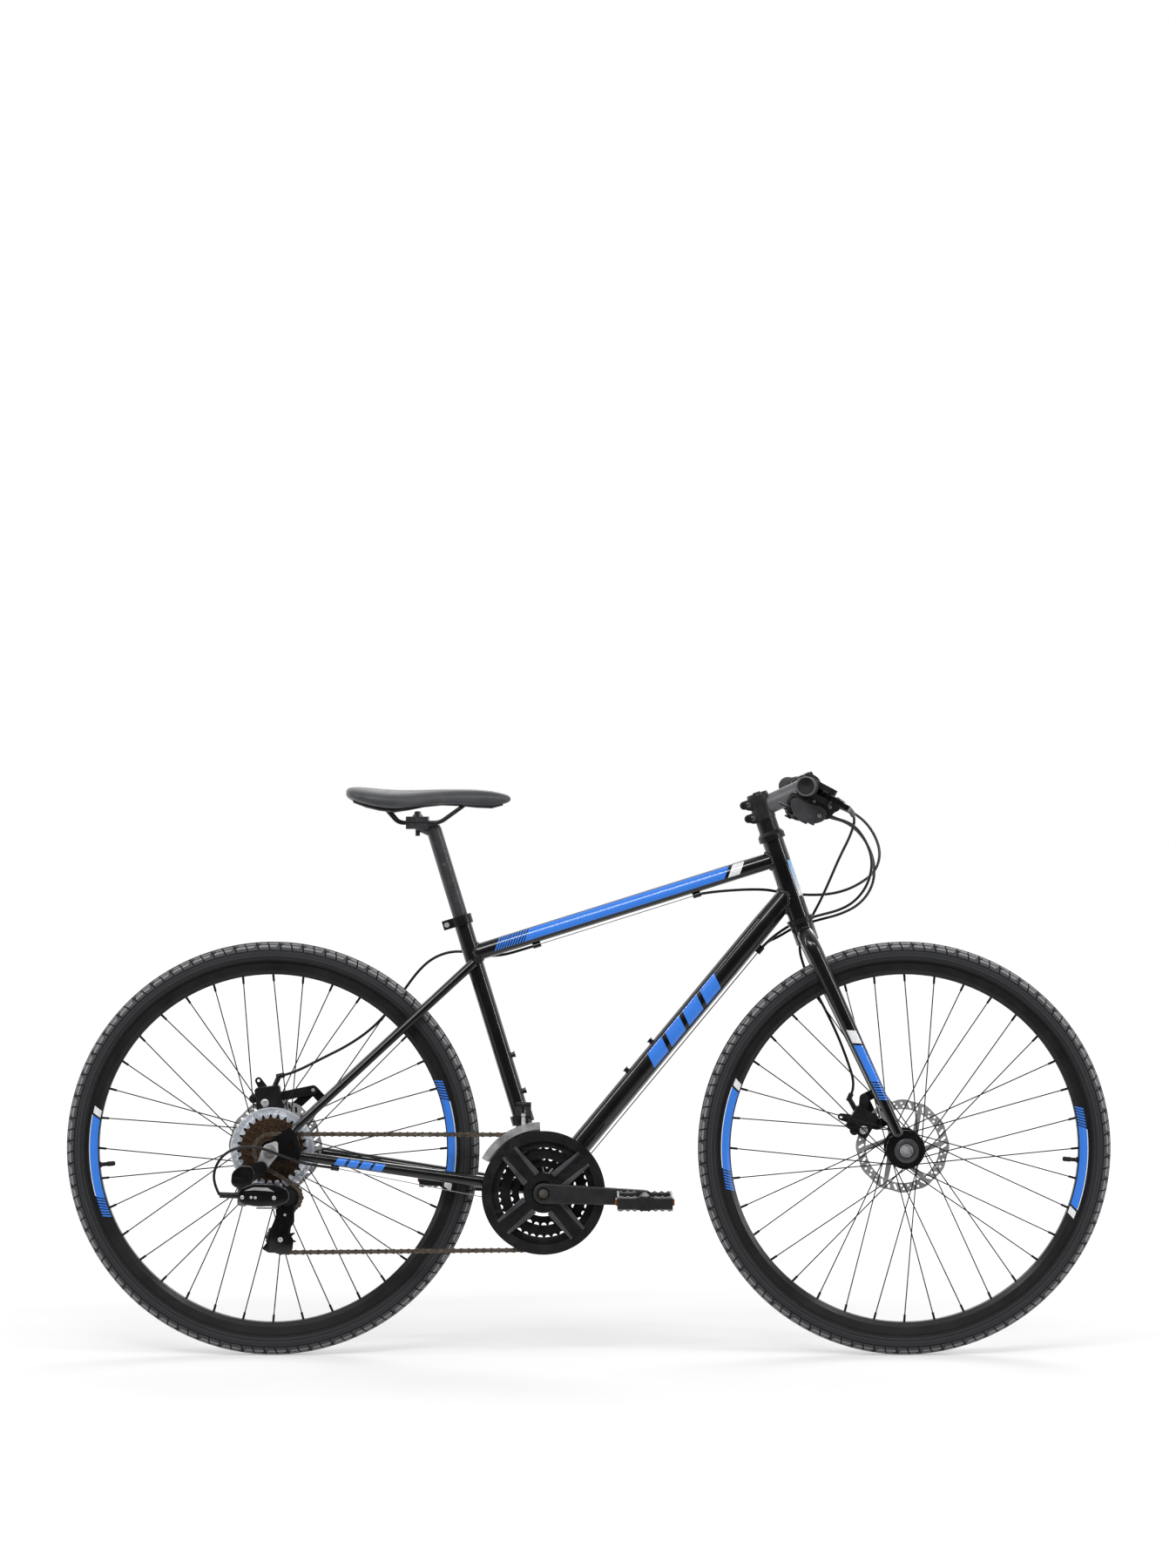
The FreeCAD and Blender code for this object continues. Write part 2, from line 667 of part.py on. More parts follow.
def plate(wire, near, far):
    """Flat plate: an outline in the plane of the wheels, from one Y to another."""
    face = Part.Face(wire)
    face.translate(across(near))
    return face.extrude(across(far - near))


def holed_plate(wires, near, far):
    """Flat plate whose outline is the first wire, with the other wires as holes."""
    face = Part.makeFace(wires, "Part::FaceMakerBullseye")
    face.translate(across(near))
    return face.extrude(across(far - near))


def disc_wire(centre, radius):
    """Circle in the plane of the wheels."""
    return Part.Wire(Part.Circle(centre, LEFT, radius).toShape())


def flat_of(point):
    """The point moved into the plane of the wheels."""
    return Vector(point.x, 0, point.z)


def capsule_wire(first, first_radius, second, second_radius):
    """Outline round two circles in the plane of the wheels."""
    first, second = flat_of(first), flat_of(second)
    run = (second - first).Length
    along = toward(first, second)
    side = along.cross(LEFT)
    lean = (first_radius - second_radius) / run
    rise = math.sqrt(1 - lean ** 2)
    upper = along * lean + side * rise
    lower = along * lean - side * rise
    a, b = first + upper * first_radius, second + upper * second_radius
    c, d = second + lower * second_radius, first + lower * first_radius
    return Part.Wire([Part.LineSegment(a, b).toShape(),
                      Part.Arc(b, second + along * second_radius, c).toShape(),
                      Part.LineSegment(c, d).toShape(),
                      Part.Arc(d, first - along * first_radius, a).toShape()])


def capsule(first, first_radius, second, second_radius, near, far):
    """Flat bar with round ends, from one Y to another."""
    return plate(capsule_wire(first, first_radius, second, second_radius), near, far)


def bent_path(points):
    """Straight runs joined by tangent arcs as large as the runs allow, and the arcs' radii."""
    edges, radii = [], []
    start = points[0]
    for before, corner, after in zip(points, points[1:], points[2:]):
        back, ahead = toward(corner, before), toward(corner, after)
        half_turn = (math.pi - back.getAngle(ahead)) / 2
        reach = BEND_SHARE * min((before - corner).Length, (after - corner).Length)
        radius = reach / math.tan(half_turn)
        inward = (back + ahead).normalize()
        middle = corner + inward * (radius / math.cos(half_turn) - radius)
        edges.append(Part.LineSegment(start, corner + back * reach).toShape())
        edges.append(Part.Arc(corner + back * reach, middle, corner + ahead * reach).toShape())
        start = corner + ahead * reach
        radii.append(radius)
    edges.append(Part.LineSegment(start, points[-1]).toShape())
    return Part.Wire(edges), radii


def bent_bar(points, radius):
    """Round bar along a bent path."""
    path = bent_path(points)[0]
    ring = Part.Wire(Part.Circle(points[0], points[1] - points[0], radius).toShape())
    return path.makePipeShell([ring], True, False)


def cable(name, route, extra=()):
    """Cable housing along its route; prints its tightest bend."""
    points = [Vector(*place) for place in route] + list(extra)
    radii = bent_path(points)[1]
    print(name, "tightest bend", round(min(radii), 1))
    return bent_bar(points, CABLE_RADIUS)


# Frame

def stay_ends(side):
    """Where the two stays of one side start and end."""
    middle = side * (REAR_SPACING + DROPOUT_THICKNESS) / 2
    chain_end = REAR_AXLE + toward(REAR_AXLE, BRACKET) * CHAINSTAY_END_REACH + across(middle)
    seat_end = REAR_AXLE + toward(REAR_AXLE, SEATSTAY_TOP) * SEATSTAY_END_REACH + across(middle)
    chain_start = BRACKET + across(side * CHAINSTAY_BRACKET_SPREAD)
    seat_start = SEATSTAY_TOP + across(side * SEATSTAY_TOP_SPREAD)
    return chain_start, chain_end, seat_start, seat_end


def stays(side):
    """Chainstay and seatstay of one side, and what hollows them."""
    chain_start, chain_end, seat_start, seat_end = stay_ends(side)
    solids = [cone(chain_start, chain_end, CHAINSTAY_BRACKET_RADIUS, CHAINSTAY_END_RADIUS),
              cone(seat_start, seat_end, SEATSTAY_TOP_RADIUS, SEATSTAY_END_RADIUS)]
    chain_stop = chain_end + toward(chain_end, chain_start) * CHAINSTAY_END_REACH
    seat_stop = seat_end + toward(seat_end, seat_start) * SEATSTAY_END_REACH
    seat_root = seat_start + toward(seat_end, seat_start) * SEATSTAY_TOP_RADIUS
    hollows = [cone(chain_start, chain_stop, CHAINSTAY_BRACKET_RADIUS - TUBE_WALL,
                    CHAINSTAY_END_RADIUS - TUBE_WALL),
               cone(seat_start, seat_stop, SEATSTAY_TOP_RADIUS - TUBE_WALL, SEATSTAY_END_RADIUS - TUBE_WALL)]
    solids.append(rod(seat_root, SEATSTAY_TOP, SEATSTAY_TOP_RADIUS))
    return solids, hollows


def bridge(start, end, left_start, left_end, reach):
    """Round bar between a pair of stays, at a distance from the rear axle."""
    places = []
    for near, far in ((start, end), (left_start, left_end)):
        near_reach = (flat_of(near) - REAR_AXLE).Length
        far_reach = (flat_of(far) - REAR_AXLE).Length
        places.append(near + (far - near) * ((near_reach - reach) / (near_reach - far_reach)))
    return rod(places[0], places[1], BRIDGE_RADIUS)


def dropout(side):
    """Rear end plate of one side, and the slot for the axle."""
    near = side * REAR_SPACING / 2
    far = near + side * DROPOUT_THICKNESS
    chain_end, seat_end = stay_ends(side)[1], stay_ends(side)[3]
    solids = [capsule(REAR_AXLE, DROPOUT_AXLE_RADIUS, chain_end, DROPOUT_STAY_RADIUS, near, far),
              capsule(REAR_AXLE, DROPOUT_AXLE_RADIUS, seat_end, DROPOUT_STAY_RADIUS, near, far),
              capsule(chain_end, DROPOUT_WEB_RADIUS, seat_end, DROPOUT_WEB_RADIUS, near, far)]
    slot_end = REAR_AXLE - UP * (DROPOUT_AXLE_RADIUS + CUT_OVERRUN)
    bore = AXLE_RADIUS + FIT_GAP
    slot = capsule(REAR_AXLE, bore, slot_end, bore, near - side * CUT_OVERRUN, far + side * CUT_OVERRUN)
    return solids, slot


def tab_bolts(axle, along, offset_way, reach, offset):
    """The two bolt places of a brake mount beside a stay or blade."""
    first = axle + along * reach + offset_way * offset
    return first, first + along * TAB_SPACING


def rear_tab_bolts():
    """Bolt places of the rear brake, above the left seatstay."""
    along = toward(REAR_AXLE, SEATSTAY_TOP)
    return tab_bolts(REAR_AXLE, along, LEFT.cross(along) * -1, REAR_TAB_REACH, REAR_TAB_OFFSET)


def front_tab_bolts():
    """Bolt places of the front brake, behind the left blade."""
    along = blade_way()
    return tab_bolts(FRONT_AXLE, along, LEFT.cross(along) * -1, FRONT_TAB_REACH, FRONT_TAB_OFFSET)


def brake_tab(bolts, along, offset, plane):
    """Mounting tab from two bolt places down to the tube that carries it, and its bolt holes."""
    near = plane + TAB_GAP
    far = near + TAB_THICKNESS
    inward = LEFT.cross(along)
    feet = [place + inward * offset for place in bolts]
    solids = [capsule(place, BRACKET_EAR_RADIUS, foot, BRACKET_EAR_RADIUS, near, far)
              for place, foot in zip(bolts, feet)]
    solids.append(capsule(bolts[0], BRACKET_EAR_RADIUS, bolts[1], BRACKET_EAR_RADIUS, near, far))
    holes = [hole(flat_of(place) + across(near), flat_of(place) + across(far), TAB_BOLT_RADIUS + FIT_GAP)
             for place in bolts]
    return solids, holes


def boss(foot, outward, tube_radius):
    """Open threaded boss on a tube, and its hole."""
    top = foot + outward * (tube_radius + BOSS_STAND)
    solids = [rod(foot + outward * (tube_radius - TUBE_WALL), top, BOSS_RADIUS),
              rod(top - outward * BOSS_RIM_HEIGHT, top, BOSS_RIM_RADIUS)]
    return solids, rod(top - outward * BOSS_HOLE_DEPTH, top + outward * CUT_OVERRUN, BOSS_HOLE_RADIUS)


DOWN_WAY = toward(BRACKET, DOWN_TUBE_FRONT)
DOWN_UPPER = DOWN_WAY.cross(LEFT)
TOP_WAY = toward(TOP_TUBE_REAR, TOP_TUBE_FRONT)
TOP_UNDER = LEFT.cross(TOP_WAY)
SEAT_FRONT = LEFT.cross(SEAT_UP)


def bottle_bosses():
    """The four open bosses for two bottle cages."""
    made = [boss(BRACKET + SEAT_UP * height, SEAT_FRONT, SEAT_TUBE_RADIUS) for height in SEAT_BOSS_HEIGHTS]
    made += [boss(BRACKET + DOWN_WAY * height, DOWN_UPPER, DOWN_TUBE_RADIUS) for height in DOWN_BOSS_HEIGHTS]
    return [solid for solids, _ in made for solid in solids], [opening for _, opening in made]


def down_stop(spread):
    """Middle of a cable stop under the down tube, at its distance to the left."""
    drop = DOWN_TUBE_RADIUS + GUIDE_RADIUS
    return BRACKET + DOWN_WAY * DOWN_STOP_HEIGHT - DOWN_UPPER * drop + across(spread)


def top_guide(reach):
    """Middle of a cable guide under the top tube."""
    return TOP_TUBE_REAR + TOP_WAY * reach + TOP_UNDER * (TOP_TUBE_RADIUS + GUIDE_RADIUS - BODY_GAP)


def stay_stop():
    """Middle of the cable stop under the right chainstay."""
    chain_start, chain_end = stay_ends(-1)[:2]
    way = toward(chain_end, chain_start)
    under = LEFT.cross(way).normalize()
    drop = CHAINSTAY_END_RADIUS + GUIDE_RADIUS - 2 * BODY_GAP
    return chain_end + way * (STAY_STOP_REACH - CHAINSTAY_END_REACH) + under * drop, way


def cable_stops():
    """Stops and guides on the frame, with the bores that the cables pass through."""
    solids, bores = [], []
    half = GUIDE_LENGTH / 2
    for spread in DOWN_STOP_SPREADS:
        foot = down_stop(spread)
        solids.append(rod(foot - DOWN_WAY * half, foot + DOWN_WAY * half, GUIDE_RADIUS))
        solids.append(rod(foot, foot + DOWN_UPPER * (GUIDE_RADIUS + DOWN_TUBE_RADIUS), GUIDE_RADIUS))
        bores.append(hole(foot - DOWN_WAY * half, foot + DOWN_WAY * half, CABLE_RADIUS + FIT_GAP))
    for reach in TOP_GUIDE_REACHES:
        foot = top_guide(reach)
        solids.append(rod(foot - TOP_WAY * half, foot + TOP_WAY * half, GUIDE_RADIUS))
        bores.append(hole(foot - TOP_WAY * half, foot + TOP_WAY * half, CABLE_RADIUS + FIT_GAP))
    foot, way = stay_stop()
    solids.append(rod(foot - way * half, foot + way * half, GUIDE_RADIUS))
    bores.append(hole(foot - way * half, foot + way * half, CABLE_RADIUS + FIT_GAP))
    return solids, bores


def frame():
    """The welded frame, with its tubes hollow and open into the head, seat and bracket bores."""
    shell = across(BRACKET_SHELL_WIDTH / 2)
    neck = DOWN_TUBE_FRONT - DOWN_WAY * DOWN_TUBE_END_LENGTH
    solids = [rod(HEAD_BOTTOM, HEAD_TOP, HEAD_TUBE_RADIUS),
              rod(TOP_TUBE_REAR, TOP_TUBE_FRONT, TOP_TUBE_RADIUS),
              rod(BRACKET, neck, DOWN_TUBE_RADIUS),
              cone(neck, DOWN_TUBE_FRONT, DOWN_TUBE_RADIUS, DOWN_TUBE_END_RADIUS),
              rod(BRACKET, SEAT_TOP, SEAT_TUBE_RADIUS),
              rod(BRACKET - shell, BRACKET + shell, BRACKET_SHELL_RADIUS)]
    hollows = [hole(HEAD_BOTTOM, HEAD_TOP, HEAD_CUP_BORE),
               rod(TOP_TUBE_REAR, TOP_TUBE_FRONT, TOP_TUBE_RADIUS - TUBE_WALL),
               rod(BRACKET, DOWN_TUBE_FRONT, DOWN_TUBE_END_RADIUS - TUBE_WALL),
               rod(BRACKET, SEAT_TOP + SEAT_UP * CUT_OVERRUN, SEATPOST_RADIUS + RUN_GAP),
               hole(BRACKET - shell, BRACKET + shell, BRACKET_BORE)]
    for side in SIDES:
        for made, cut in (stays(side), dropout(side)):
            solids += made
            hollows += cut if isinstance(cut, list) else [cut]
    right, left = stay_ends(-1), stay_ends(1)
    solids.append(bridge(right[0], right[1], left[0], left[1], CHAINSTAY_BRIDGE_REACH))
    solids.append(bridge(right[2], right[3], left[2], left[3], SEATSTAY_BRIDGE_REACH))
    tab = brake_tab(rear_tab_bolts(), toward(REAR_AXLE, SEATSTAY_TOP), REAR_TAB_OFFSET, REAR_ROTOR_PLANE)
    for made, cut in (tab, bottle_bosses(), cable_stops()):
        solids += made
        hollows += cut
    under = BRACKET - UP * (BRACKET_SHELL_RADIUS + BRACKET_GUIDE_RADIUS / 2)
    half = across(BRACKET_GUIDE_LENGTH / 2)
    solids.append(rod(under - half, under + half, BRACKET_GUIDE_RADIUS))
    return joined(solids).cut(hollows)


def frame_bearings():
    """Headset cups pressed into the head tube, and bracket cups screwed into the shell."""
    skirt = HEAD_CUP_BORE - FIT_GAP
    inner = skirt - CUP_WALL
    made = []
    for end, way in ((HEAD_BOTTOM, HEAD_UP * -1), (HEAD_TOP, HEAD_UP)):
        steps = [(-CUP_SKIRT, skirt), (0, skirt), (0, CUP_RADIUS), (CUP_HEIGHT, CUP_RADIUS)]
        made.append(turned(end, way, steps, inner))
    for side in SIDES:
        end = BRACKET + across(side * BRACKET_SHELL_WIDTH / 2)
        thread = BRACKET_BORE - FIT_GAP
        steps = [(-BRACKET_CUP_DEPTH, thread), (0, thread), (0, BRACKET_SHELL_RADIUS),
                 (BRACKET_CUP_FLANGE, BRACKET_SHELL_RADIUS)]
        made.append(turned(end, across(side), steps, SPINDLE_RADIUS + RUN_GAP))
    return made


def seatpost_collar():
    """Clamp ring round the top of the seat tube, with a slotted ear behind."""
    low = SEAT_TOP - SEAT_UP * COLLAR_HEIGHT
    back = SEAT_FRONT * -1
    middle = low + SEAT_UP * (COLLAR_HEIGHT / 2)
    ear = Part.makeBox(COLLAR_EAR_REACH + COLLAR_EAR_RADIUS, COLLAR_EAR_WIDTH, COLLAR_HEIGHT,
                       Vector(0, -COLLAR_EAR_WIDTH / 2, -COLLAR_HEIGHT / 2))
    slot = Part.makeBox(COLLAR_EAR_REACH + COLLAR_EAR_RADIUS + CUT_OVERRUN, COLLAR_SLOT,
                        COLLAR_HEIGHT + 2 * CUT_OVERRUN,
                        Vector(0, -COLLAR_SLOT / 2, -COLLAR_HEIGHT / 2 - CUT_OVERRUN))
    body = rod(low, SEAT_TOP, COLLAR_RADIUS).fuse(framed(ear, middle, back, LEFT))
    pin = middle + back * COLLAR_EAR_REACH
    half = across(COLLAR_EAR_WIDTH / 2)
    return body.cut([hole(low, SEAT_TOP, SEAT_TUBE_RADIUS + FIT_GAP), framed(slot, middle, back, LEFT),
                     hole(pin - half, pin + half, BOLT_RADIUS + FIT_GAP)])


def collar_bolt():
    """Bolt across the collar's ear."""
    middle = SEAT_TOP - SEAT_UP * (COLLAR_HEIGHT / 2) - SEAT_FRONT * COLLAR_EAR_REACH
    start = middle - across(COLLAR_EAR_WIDTH / 2)
    return bolt(start, LEFT, BOLT_HEAD_RADIUS, BOLT_HEAD_HEIGHT, BOLT_RADIUS, COLLAR_EAR_WIDTH)


# Axles, hubs and wheels

def axle_set(axle, spacing, outer_faces):
    """Axle with cones, locknuts, washers and nuts; outer_faces are what the washers press on."""
    right_end = outer_faces[0] - WASHER_HEIGHT - NUT_HEIGHT - AXLE_STAND
    left_end = outer_faces[1] + WASHER_HEIGHT + NUT_HEIGHT + AXLE_STAND
    made = [rod(axle + across(right_end), axle + across(left_end), AXLE_RADIUS)]
    bore = AXLE_RADIUS + FIT_GAP
    for side, face in zip(SIDES, outer_faces):
        locknut = axle + across(side * spacing / 2)
        steps = [(-LOCKNUT_LENGTH - CONE_LENGTH, CONE_RADIUS), (-LOCKNUT_LENGTH, CONE_RADIUS),
                 (-LOCKNUT_LENGTH, LOCKNUT_RADIUS), (0, LOCKNUT_RADIUS)]
        made.append(turned(locknut, across(side), steps, bore))
        washer = axle + across(face)
        made.append(turned(washer, across(side), [(0, WASHER_RADIUS), (WASHER_HEIGHT, WASHER_RADIUS)], bore))
        made.append(hexagon(washer + across(side * WASHER_HEIGHT), across(side), NUT_FLATS, NUT_HEIGHT,
                            bore))
    return made


def spun(corners, centre):
    """Ring about an axle from (along, radius) corners."""
    points = [Vector(radius, along, 0) for along, radius in corners]
    face = Part.Face(Part.makePolygon(points + points[:1]))
    ring = face.revolve(Vector(), LEFT, 360)
    ring.translate(centre)
    return ring


def tyre_section():
    """Radius of the tyre's hollow and the radius of the circle through its middle."""
    hollow = TYRE_WIDTH / 2 - TYRE_SIDE_WALL
    return hollow, TYRE_RADIUS - TYRE_CROWN_WALL - hollow


def tyre(centre):
    """Tyre casing: a round section open to the rim, on two beads."""
    hollow, ring = tyre_section()
    outer_ring = TYRE_RADIUS - TYRE_WIDTH / 2
    bead_out = RIM_WIDTH / 2 - RIM_WALL - BODY_GAP
    bead_in = bead_out - TYRE_BEAD
    seat = RIM_SEAT_RADIUS + BODY_GAP
    neck = RIM_FLANGE_RADIUS + BODY_GAP
    shoulder = neck + TYRE_NECK
    wide = math.sqrt((TYRE_WIDTH / 2) ** 2 - (outer_ring - shoulder) ** 2)
    inner_low = ring - math.sqrt(hollow ** 2 - bead_in ** 2)

    def at(along, radius):
        return Vector(radius, along, 0)

    def line(first, second):
        return Part.LineSegment(at(*first), at(*second)).toShape()

    edges = [line((-bead_in, seat), (-bead_out, seat)), line((-bead_out, seat), (-bead_out, neck)),
             line((-bead_out, neck), (-wide, shoulder)),
             Part.Arc(at(-wide, shoulder), at(0, TYRE_RADIUS), at(wide, shoulder)).toShape(),
             line((wide, shoulder), (bead_out, neck)), line((bead_out, neck), (bead_out, seat)),
             line((bead_out, seat), (bead_in, seat)), line((bead_in, seat), (bead_in, inner_low)),
             Part.Arc(at(bead_in, inner_low), at(0, ring + hollow), at(-bead_in, inner_low)).toShape(),
             line((-bead_in, inner_low), (-bead_in, seat))]
    casing = Part.Face(Part.Wire(edges)).revolve(Vector(), LEFT, 360)
    casing.translate(centre)
    return casing


def inner_tube(centre, angle):
    """Hollow inner tube with its valve through the rim."""
    hollow, ring = tyre_section()
    outer = hollow - BODY_GAP
    way = direction(angle)
    skin = Part.makeTorus(ring, outer, centre, LEFT)
    foot = centre + way * (ring - outer + TUBE_SKIN / 2)
    tip = centre + way * (RIM_INNER_RADIUS - VALVE_REACH)
    valve = rod(foot, tip, VALVE_RADIUS)
    collar_top = centre + way * (RIM_INNER_RADIUS - BODY_GAP)
    collar = rod(collar_top, collar_top - way * VALVE_COLLAR_HEIGHT, VALVE_COLLAR_RADIUS)
    return skin.fuse([valve, collar]).cut(Part.makeTorus(ring, outer - TUBE_SKIN, centre, LEFT))


def rim(centre, angle, flanges):
    """Double-wall rim with the holes for the valve and the nipples."""
    half, inner_half = RIM_WIDTH / 2, RIM_INNER_WIDTH / 2
    side = RIM_FLANGE_RADIUS - RIM_SIDE_DEPTH
    well = RIM_SEAT_RADIUS - RIM_WELL
    seat_in = half - RIM_WALL - TYRE_BEAD - BODY_GAP
    profile = [(-half, RIM_FLANGE_RADIUS), (-half, side), (-inner_half, RIM_INNER_RADIUS)]
    profile += [(inner_half, RIM_INNER_RADIUS), (half, side), (half, RIM_FLANGE_RADIUS)]
    profile += [(half - RIM_WALL, RIM_FLANGE_RADIUS), (half - RIM_WALL, RIM_SEAT_RADIUS)]
    profile += [(seat_in, RIM_SEAT_RADIUS), (seat_in - RIM_WALL, well), (RIM_WALL - seat_in, well)]
    profile += [(-seat_in, RIM_SEAT_RADIUS), (RIM_WALL - half, RIM_SEAT_RADIUS)]
    profile += [(RIM_WALL - half, RIM_FLANGE_RADIUS)]
    roof = well - RIM_WALL
    floor = RIM_INNER_RADIUS + RIM_WALL
    cavity = [(-half + RIM_WALL, roof), (-half + RIM_WALL, side), (RIM_WALL / 2 - inner_half, floor),
              (inner_half - RIM_WALL / 2, floor), (half - RIM_WALL, side), (half - RIM_WALL, roof)]
    way = direction(angle)
    valve_hole = rod(centre + way * (RIM_INNER_RADIUS - CUT_OVERRUN),
                     centre + way * (RIM_SEAT_RADIUS + CUT_OVERRUN), VALVE_RADIUS + BODY_GAP)
    nipple_holes = [hole(end, end + toward(elbow, end) * RIM_WALL, NIPPLE_RADIUS + FIT_GAP)
                    for _, _, elbow, end in spoke_lines(centre, flanges)]
    return spun(profile, centre).cut([spun(cavity, centre), valve_hole] + nipple_holes)


def spoke_lines(centre, flanges):
    """For each spoke, its place in the flange, the side it leaves on, its elbow and its end at the rim."""
    step = 360.0 / SPOKES_PER_SIDE
    run_face = FLANGE_THICKNESS / 2 + SPOKE_RADIUS + BODY_GAP
    lines = []
    for side, flange in zip(SIDES, flanges):
        offset = step / 2 * (side + 1) / 2
        for number in range(SPOKES_PER_SIDE):
            way = 1 if number % 2 else -1
            lean = abs(flange) * SPOKE_LEAN_SHARE if way == side else 0
            angle = number * step + offset
            start = centre + direction(angle) * FLANGE_HOLE_RADIUS + across(flange)
            end = centre + direction(angle + way * step * SPOKE_CROSSES) * RIM_INNER_RADIUS
            lines.append((start, way, start + across(way * (run_face + lean)), end))
    return lines


def spokes(centre, flanges):
    """Crossed spokes, each with its elbow and head in the flange and its nipple in the rim."""
    head_face = FLANGE_THICKNESS / 2 + SPOKE_HEAD_HEIGHT
    made = []
    for start, way, elbow, end in spoke_lines(centre, flanges):
        head = start - across(way * head_face)
        along = toward(elbow, end)
        parts = [rod(head, elbow, SPOKE_RADIUS), Part.makeSphere(SPOKE_RADIUS, elbow),
                 rod(head, head + across(way * SPOKE_HEAD_HEIGHT), SPOKE_HEAD_RADIUS),
                 rod(end - along * NIPPLE_LENGTH, end + along * (2 * RIM_WALL), NIPPLE_RADIUS)]
        made.append(rod(elbow, end, SPOKE_RADIUS).fuse(parts))
    return made


def hub(centre, spacing, flanges, rotor_plane, right_boss):
    """Hub shell with two drilled flanges and the seat for the rotor; right_boss adds drive-side steps."""
    end = spacing / 2 - LOCKNUT_LENGTH - BODY_GAP
    half = FLANGE_THICKNESS / 2
    rotor_back = rotor_plane - ROTOR_THICKNESS / 2
    rotor_front = rotor_plane + ROTOR_THICKNESS / 2
    spigot = ROTOR_BORE - FIT_GAP
    outline = list(right_boss)
    outline += [(flanges[0] - half, FLANGE_RADIUS), (flanges[0] + half, FLANGE_RADIUS),
                (flanges[0] + half, HUB_BARREL_RADIUS), (flanges[1] - half, HUB_BARREL_RADIUS),
                (flanges[1] - half, FLANGE_RADIUS), (flanges[1] + half, FLANGE_RADIUS),
                (flanges[1] + half, ROTOR_HUB_RADIUS), (rotor_back, ROTOR_HUB_RADIUS),
                (rotor_back, spigot), (rotor_front, spigot), (rotor_front, HUB_BORE + TUBE_WALL),
                (end, HUB_BORE + TUBE_WALL)]
    race = CONE_RADIUS + RUN_GAP
    inner_end = end - CONE_LENGTH
    start = outline[0][0]
    outline += [(end, race), (inner_end, race), (inner_end, HUB_BORE), (start + CONE_LENGTH, HUB_BORE),
                (start + CONE_LENGTH, race), (start, race)]
    shell = spun(outline, centre)
    step = 360.0 / SPOKES_PER_SIDE
    holes = []
    for side, flange in zip(SIDES, flanges):
        offset = step / 2 * (side + 1) / 2
        for number in range(SPOKES_PER_SIDE):
            place = centre + direction(number * step + offset) * FLANGE_HOLE_RADIUS + across(flange)
            holes.append(hole(place - across(half), place + across(half), SPOKE_HOLE_RADIUS))
    for number in range(ROTOR_ARMS):
        place = centre + direction(rotor_bolt_angle(number)) * ROTOR_BOLT_CIRCLE + across(rotor_back)
        holes.append(rod(place + LEFT * CUT_OVERRUN, place - LEFT * (rotor_bolt_depth() + BODY_GAP),
                         ROTOR_BOLT_RADIUS + FIT_GAP))
    return shell.cut(holes)


def rotor_bolt_angle(number):
    """Angle of one of the rotor's bolts."""
    return (number + 0.5) * 360.0 / ROTOR_ARMS


def rotor_bolt_depth():
    """How far a rotor bolt goes into the hub."""
    return ROTOR_BOLT_HEAD * 2


def wavy_wire(centre, radius, wave, waves):
    """Closed wavy outline in the plane of the wheels."""
    middle = radius - wave / 2
    step = 360.0 / waves
    edges = []
    for number in range(waves):
        for start, peak in ((0.0, radius), (0.5, radius - wave)):
            turn = (number + start) * step
            points = [centre + direction(turn - step / 4) * middle, centre + direction(turn) * peak,
                      centre + direction(turn + step / 4) * middle]
            edges.append(Part.Arc(*points).toShape())
    return Part.Wire(edges)


def rotor(centre, plane):
    """Brake rotor with a wavy, pierced track on leaning arms, and its six bolts."""
    near, far = plane - ROTOR_THICKNESS / 2, plane + ROTOR_THICKNESS / 2
    track_inner = ROTOR_RADIUS - ROTOR_WAVE - ROTOR_TRACK
    track_middle = (ROTOR_RADIUS - ROTOR_WAVE + track_inner) / 2
    wires = [wavy_wire(centre, ROTOR_RADIUS, ROTOR_WAVE, ROTOR_WAVES), disc_wire(centre, track_inner)]
    step = 360.0 / ROTOR_HOLES
    for number in range(ROTOR_HOLES):
        middle = centre + direction(number * step) * track_middle
        lean = direction(number * step + ROTOR_ARM_LEAN) * (ROTOR_SLOT_LENGTH / 2)
        if number // 3 % 2:
            wires += [disc_wire(middle + lean, ROTOR_HOLE_RADIUS),
                      disc_wire(middle - lean, ROTOR_HOLE_RADIUS)]
        else:
            wires.append(capsule_wire(middle - lean, ROTOR_HOLE_RADIUS, middle + lean, ROTOR_HOLE_RADIUS))
    solids = [holed_plate(wires, near, far), plate(disc_wire(centre, ROTOR_HUB_RADIUS), near, far)]
    half = ROTOR_ARM_WIDTH / 2
    for number in range(ROTOR_ARMS):
        turn = rotor_bolt_angle(number)
        foot = centre + direction(turn) * (ROTOR_HUB_RADIUS - half)
        tip = centre + direction(turn + ROTOR_ARM_LEAN) * (track_inner + half / 2)
        solids.append(capsule(foot, half * 1.3, tip, half, near, far))
    cuts = [hole(centre + across(near), centre + across(far), ROTOR_BORE)]
    bolts = []
    for number in range(ROTOR_ARMS):
        place = centre + direction(rotor_bolt_angle(number)) * ROTOR_BOLT_CIRCLE
        cuts.append(hole(place + across(near), place + across(far), ROTOR_BOLT_RADIUS + FIT_GAP))
        bolts.append(bolt(place + across(far), LEFT * -1, ROTOR_BOLT_HEAD, ROTOR_THICKNESS,
                          ROTOR_BOLT_RADIUS,
                          ROTOR_THICKNESS + rotor_bolt_depth()))
    return [joined(solids).cut(cuts)] + bolts


def front_right_boss():
    """Drive-side end of the front hub."""
    end = FRONT_SPACING / 2 - LOCKNUT_LENGTH - BODY_GAP
    return [(-end, HUB_BORE + TUBE_WALL), (FRONT_FLANGES[0] - FLANGE_THICKNESS / 2, HUB_BORE + TUBE_WALL)]


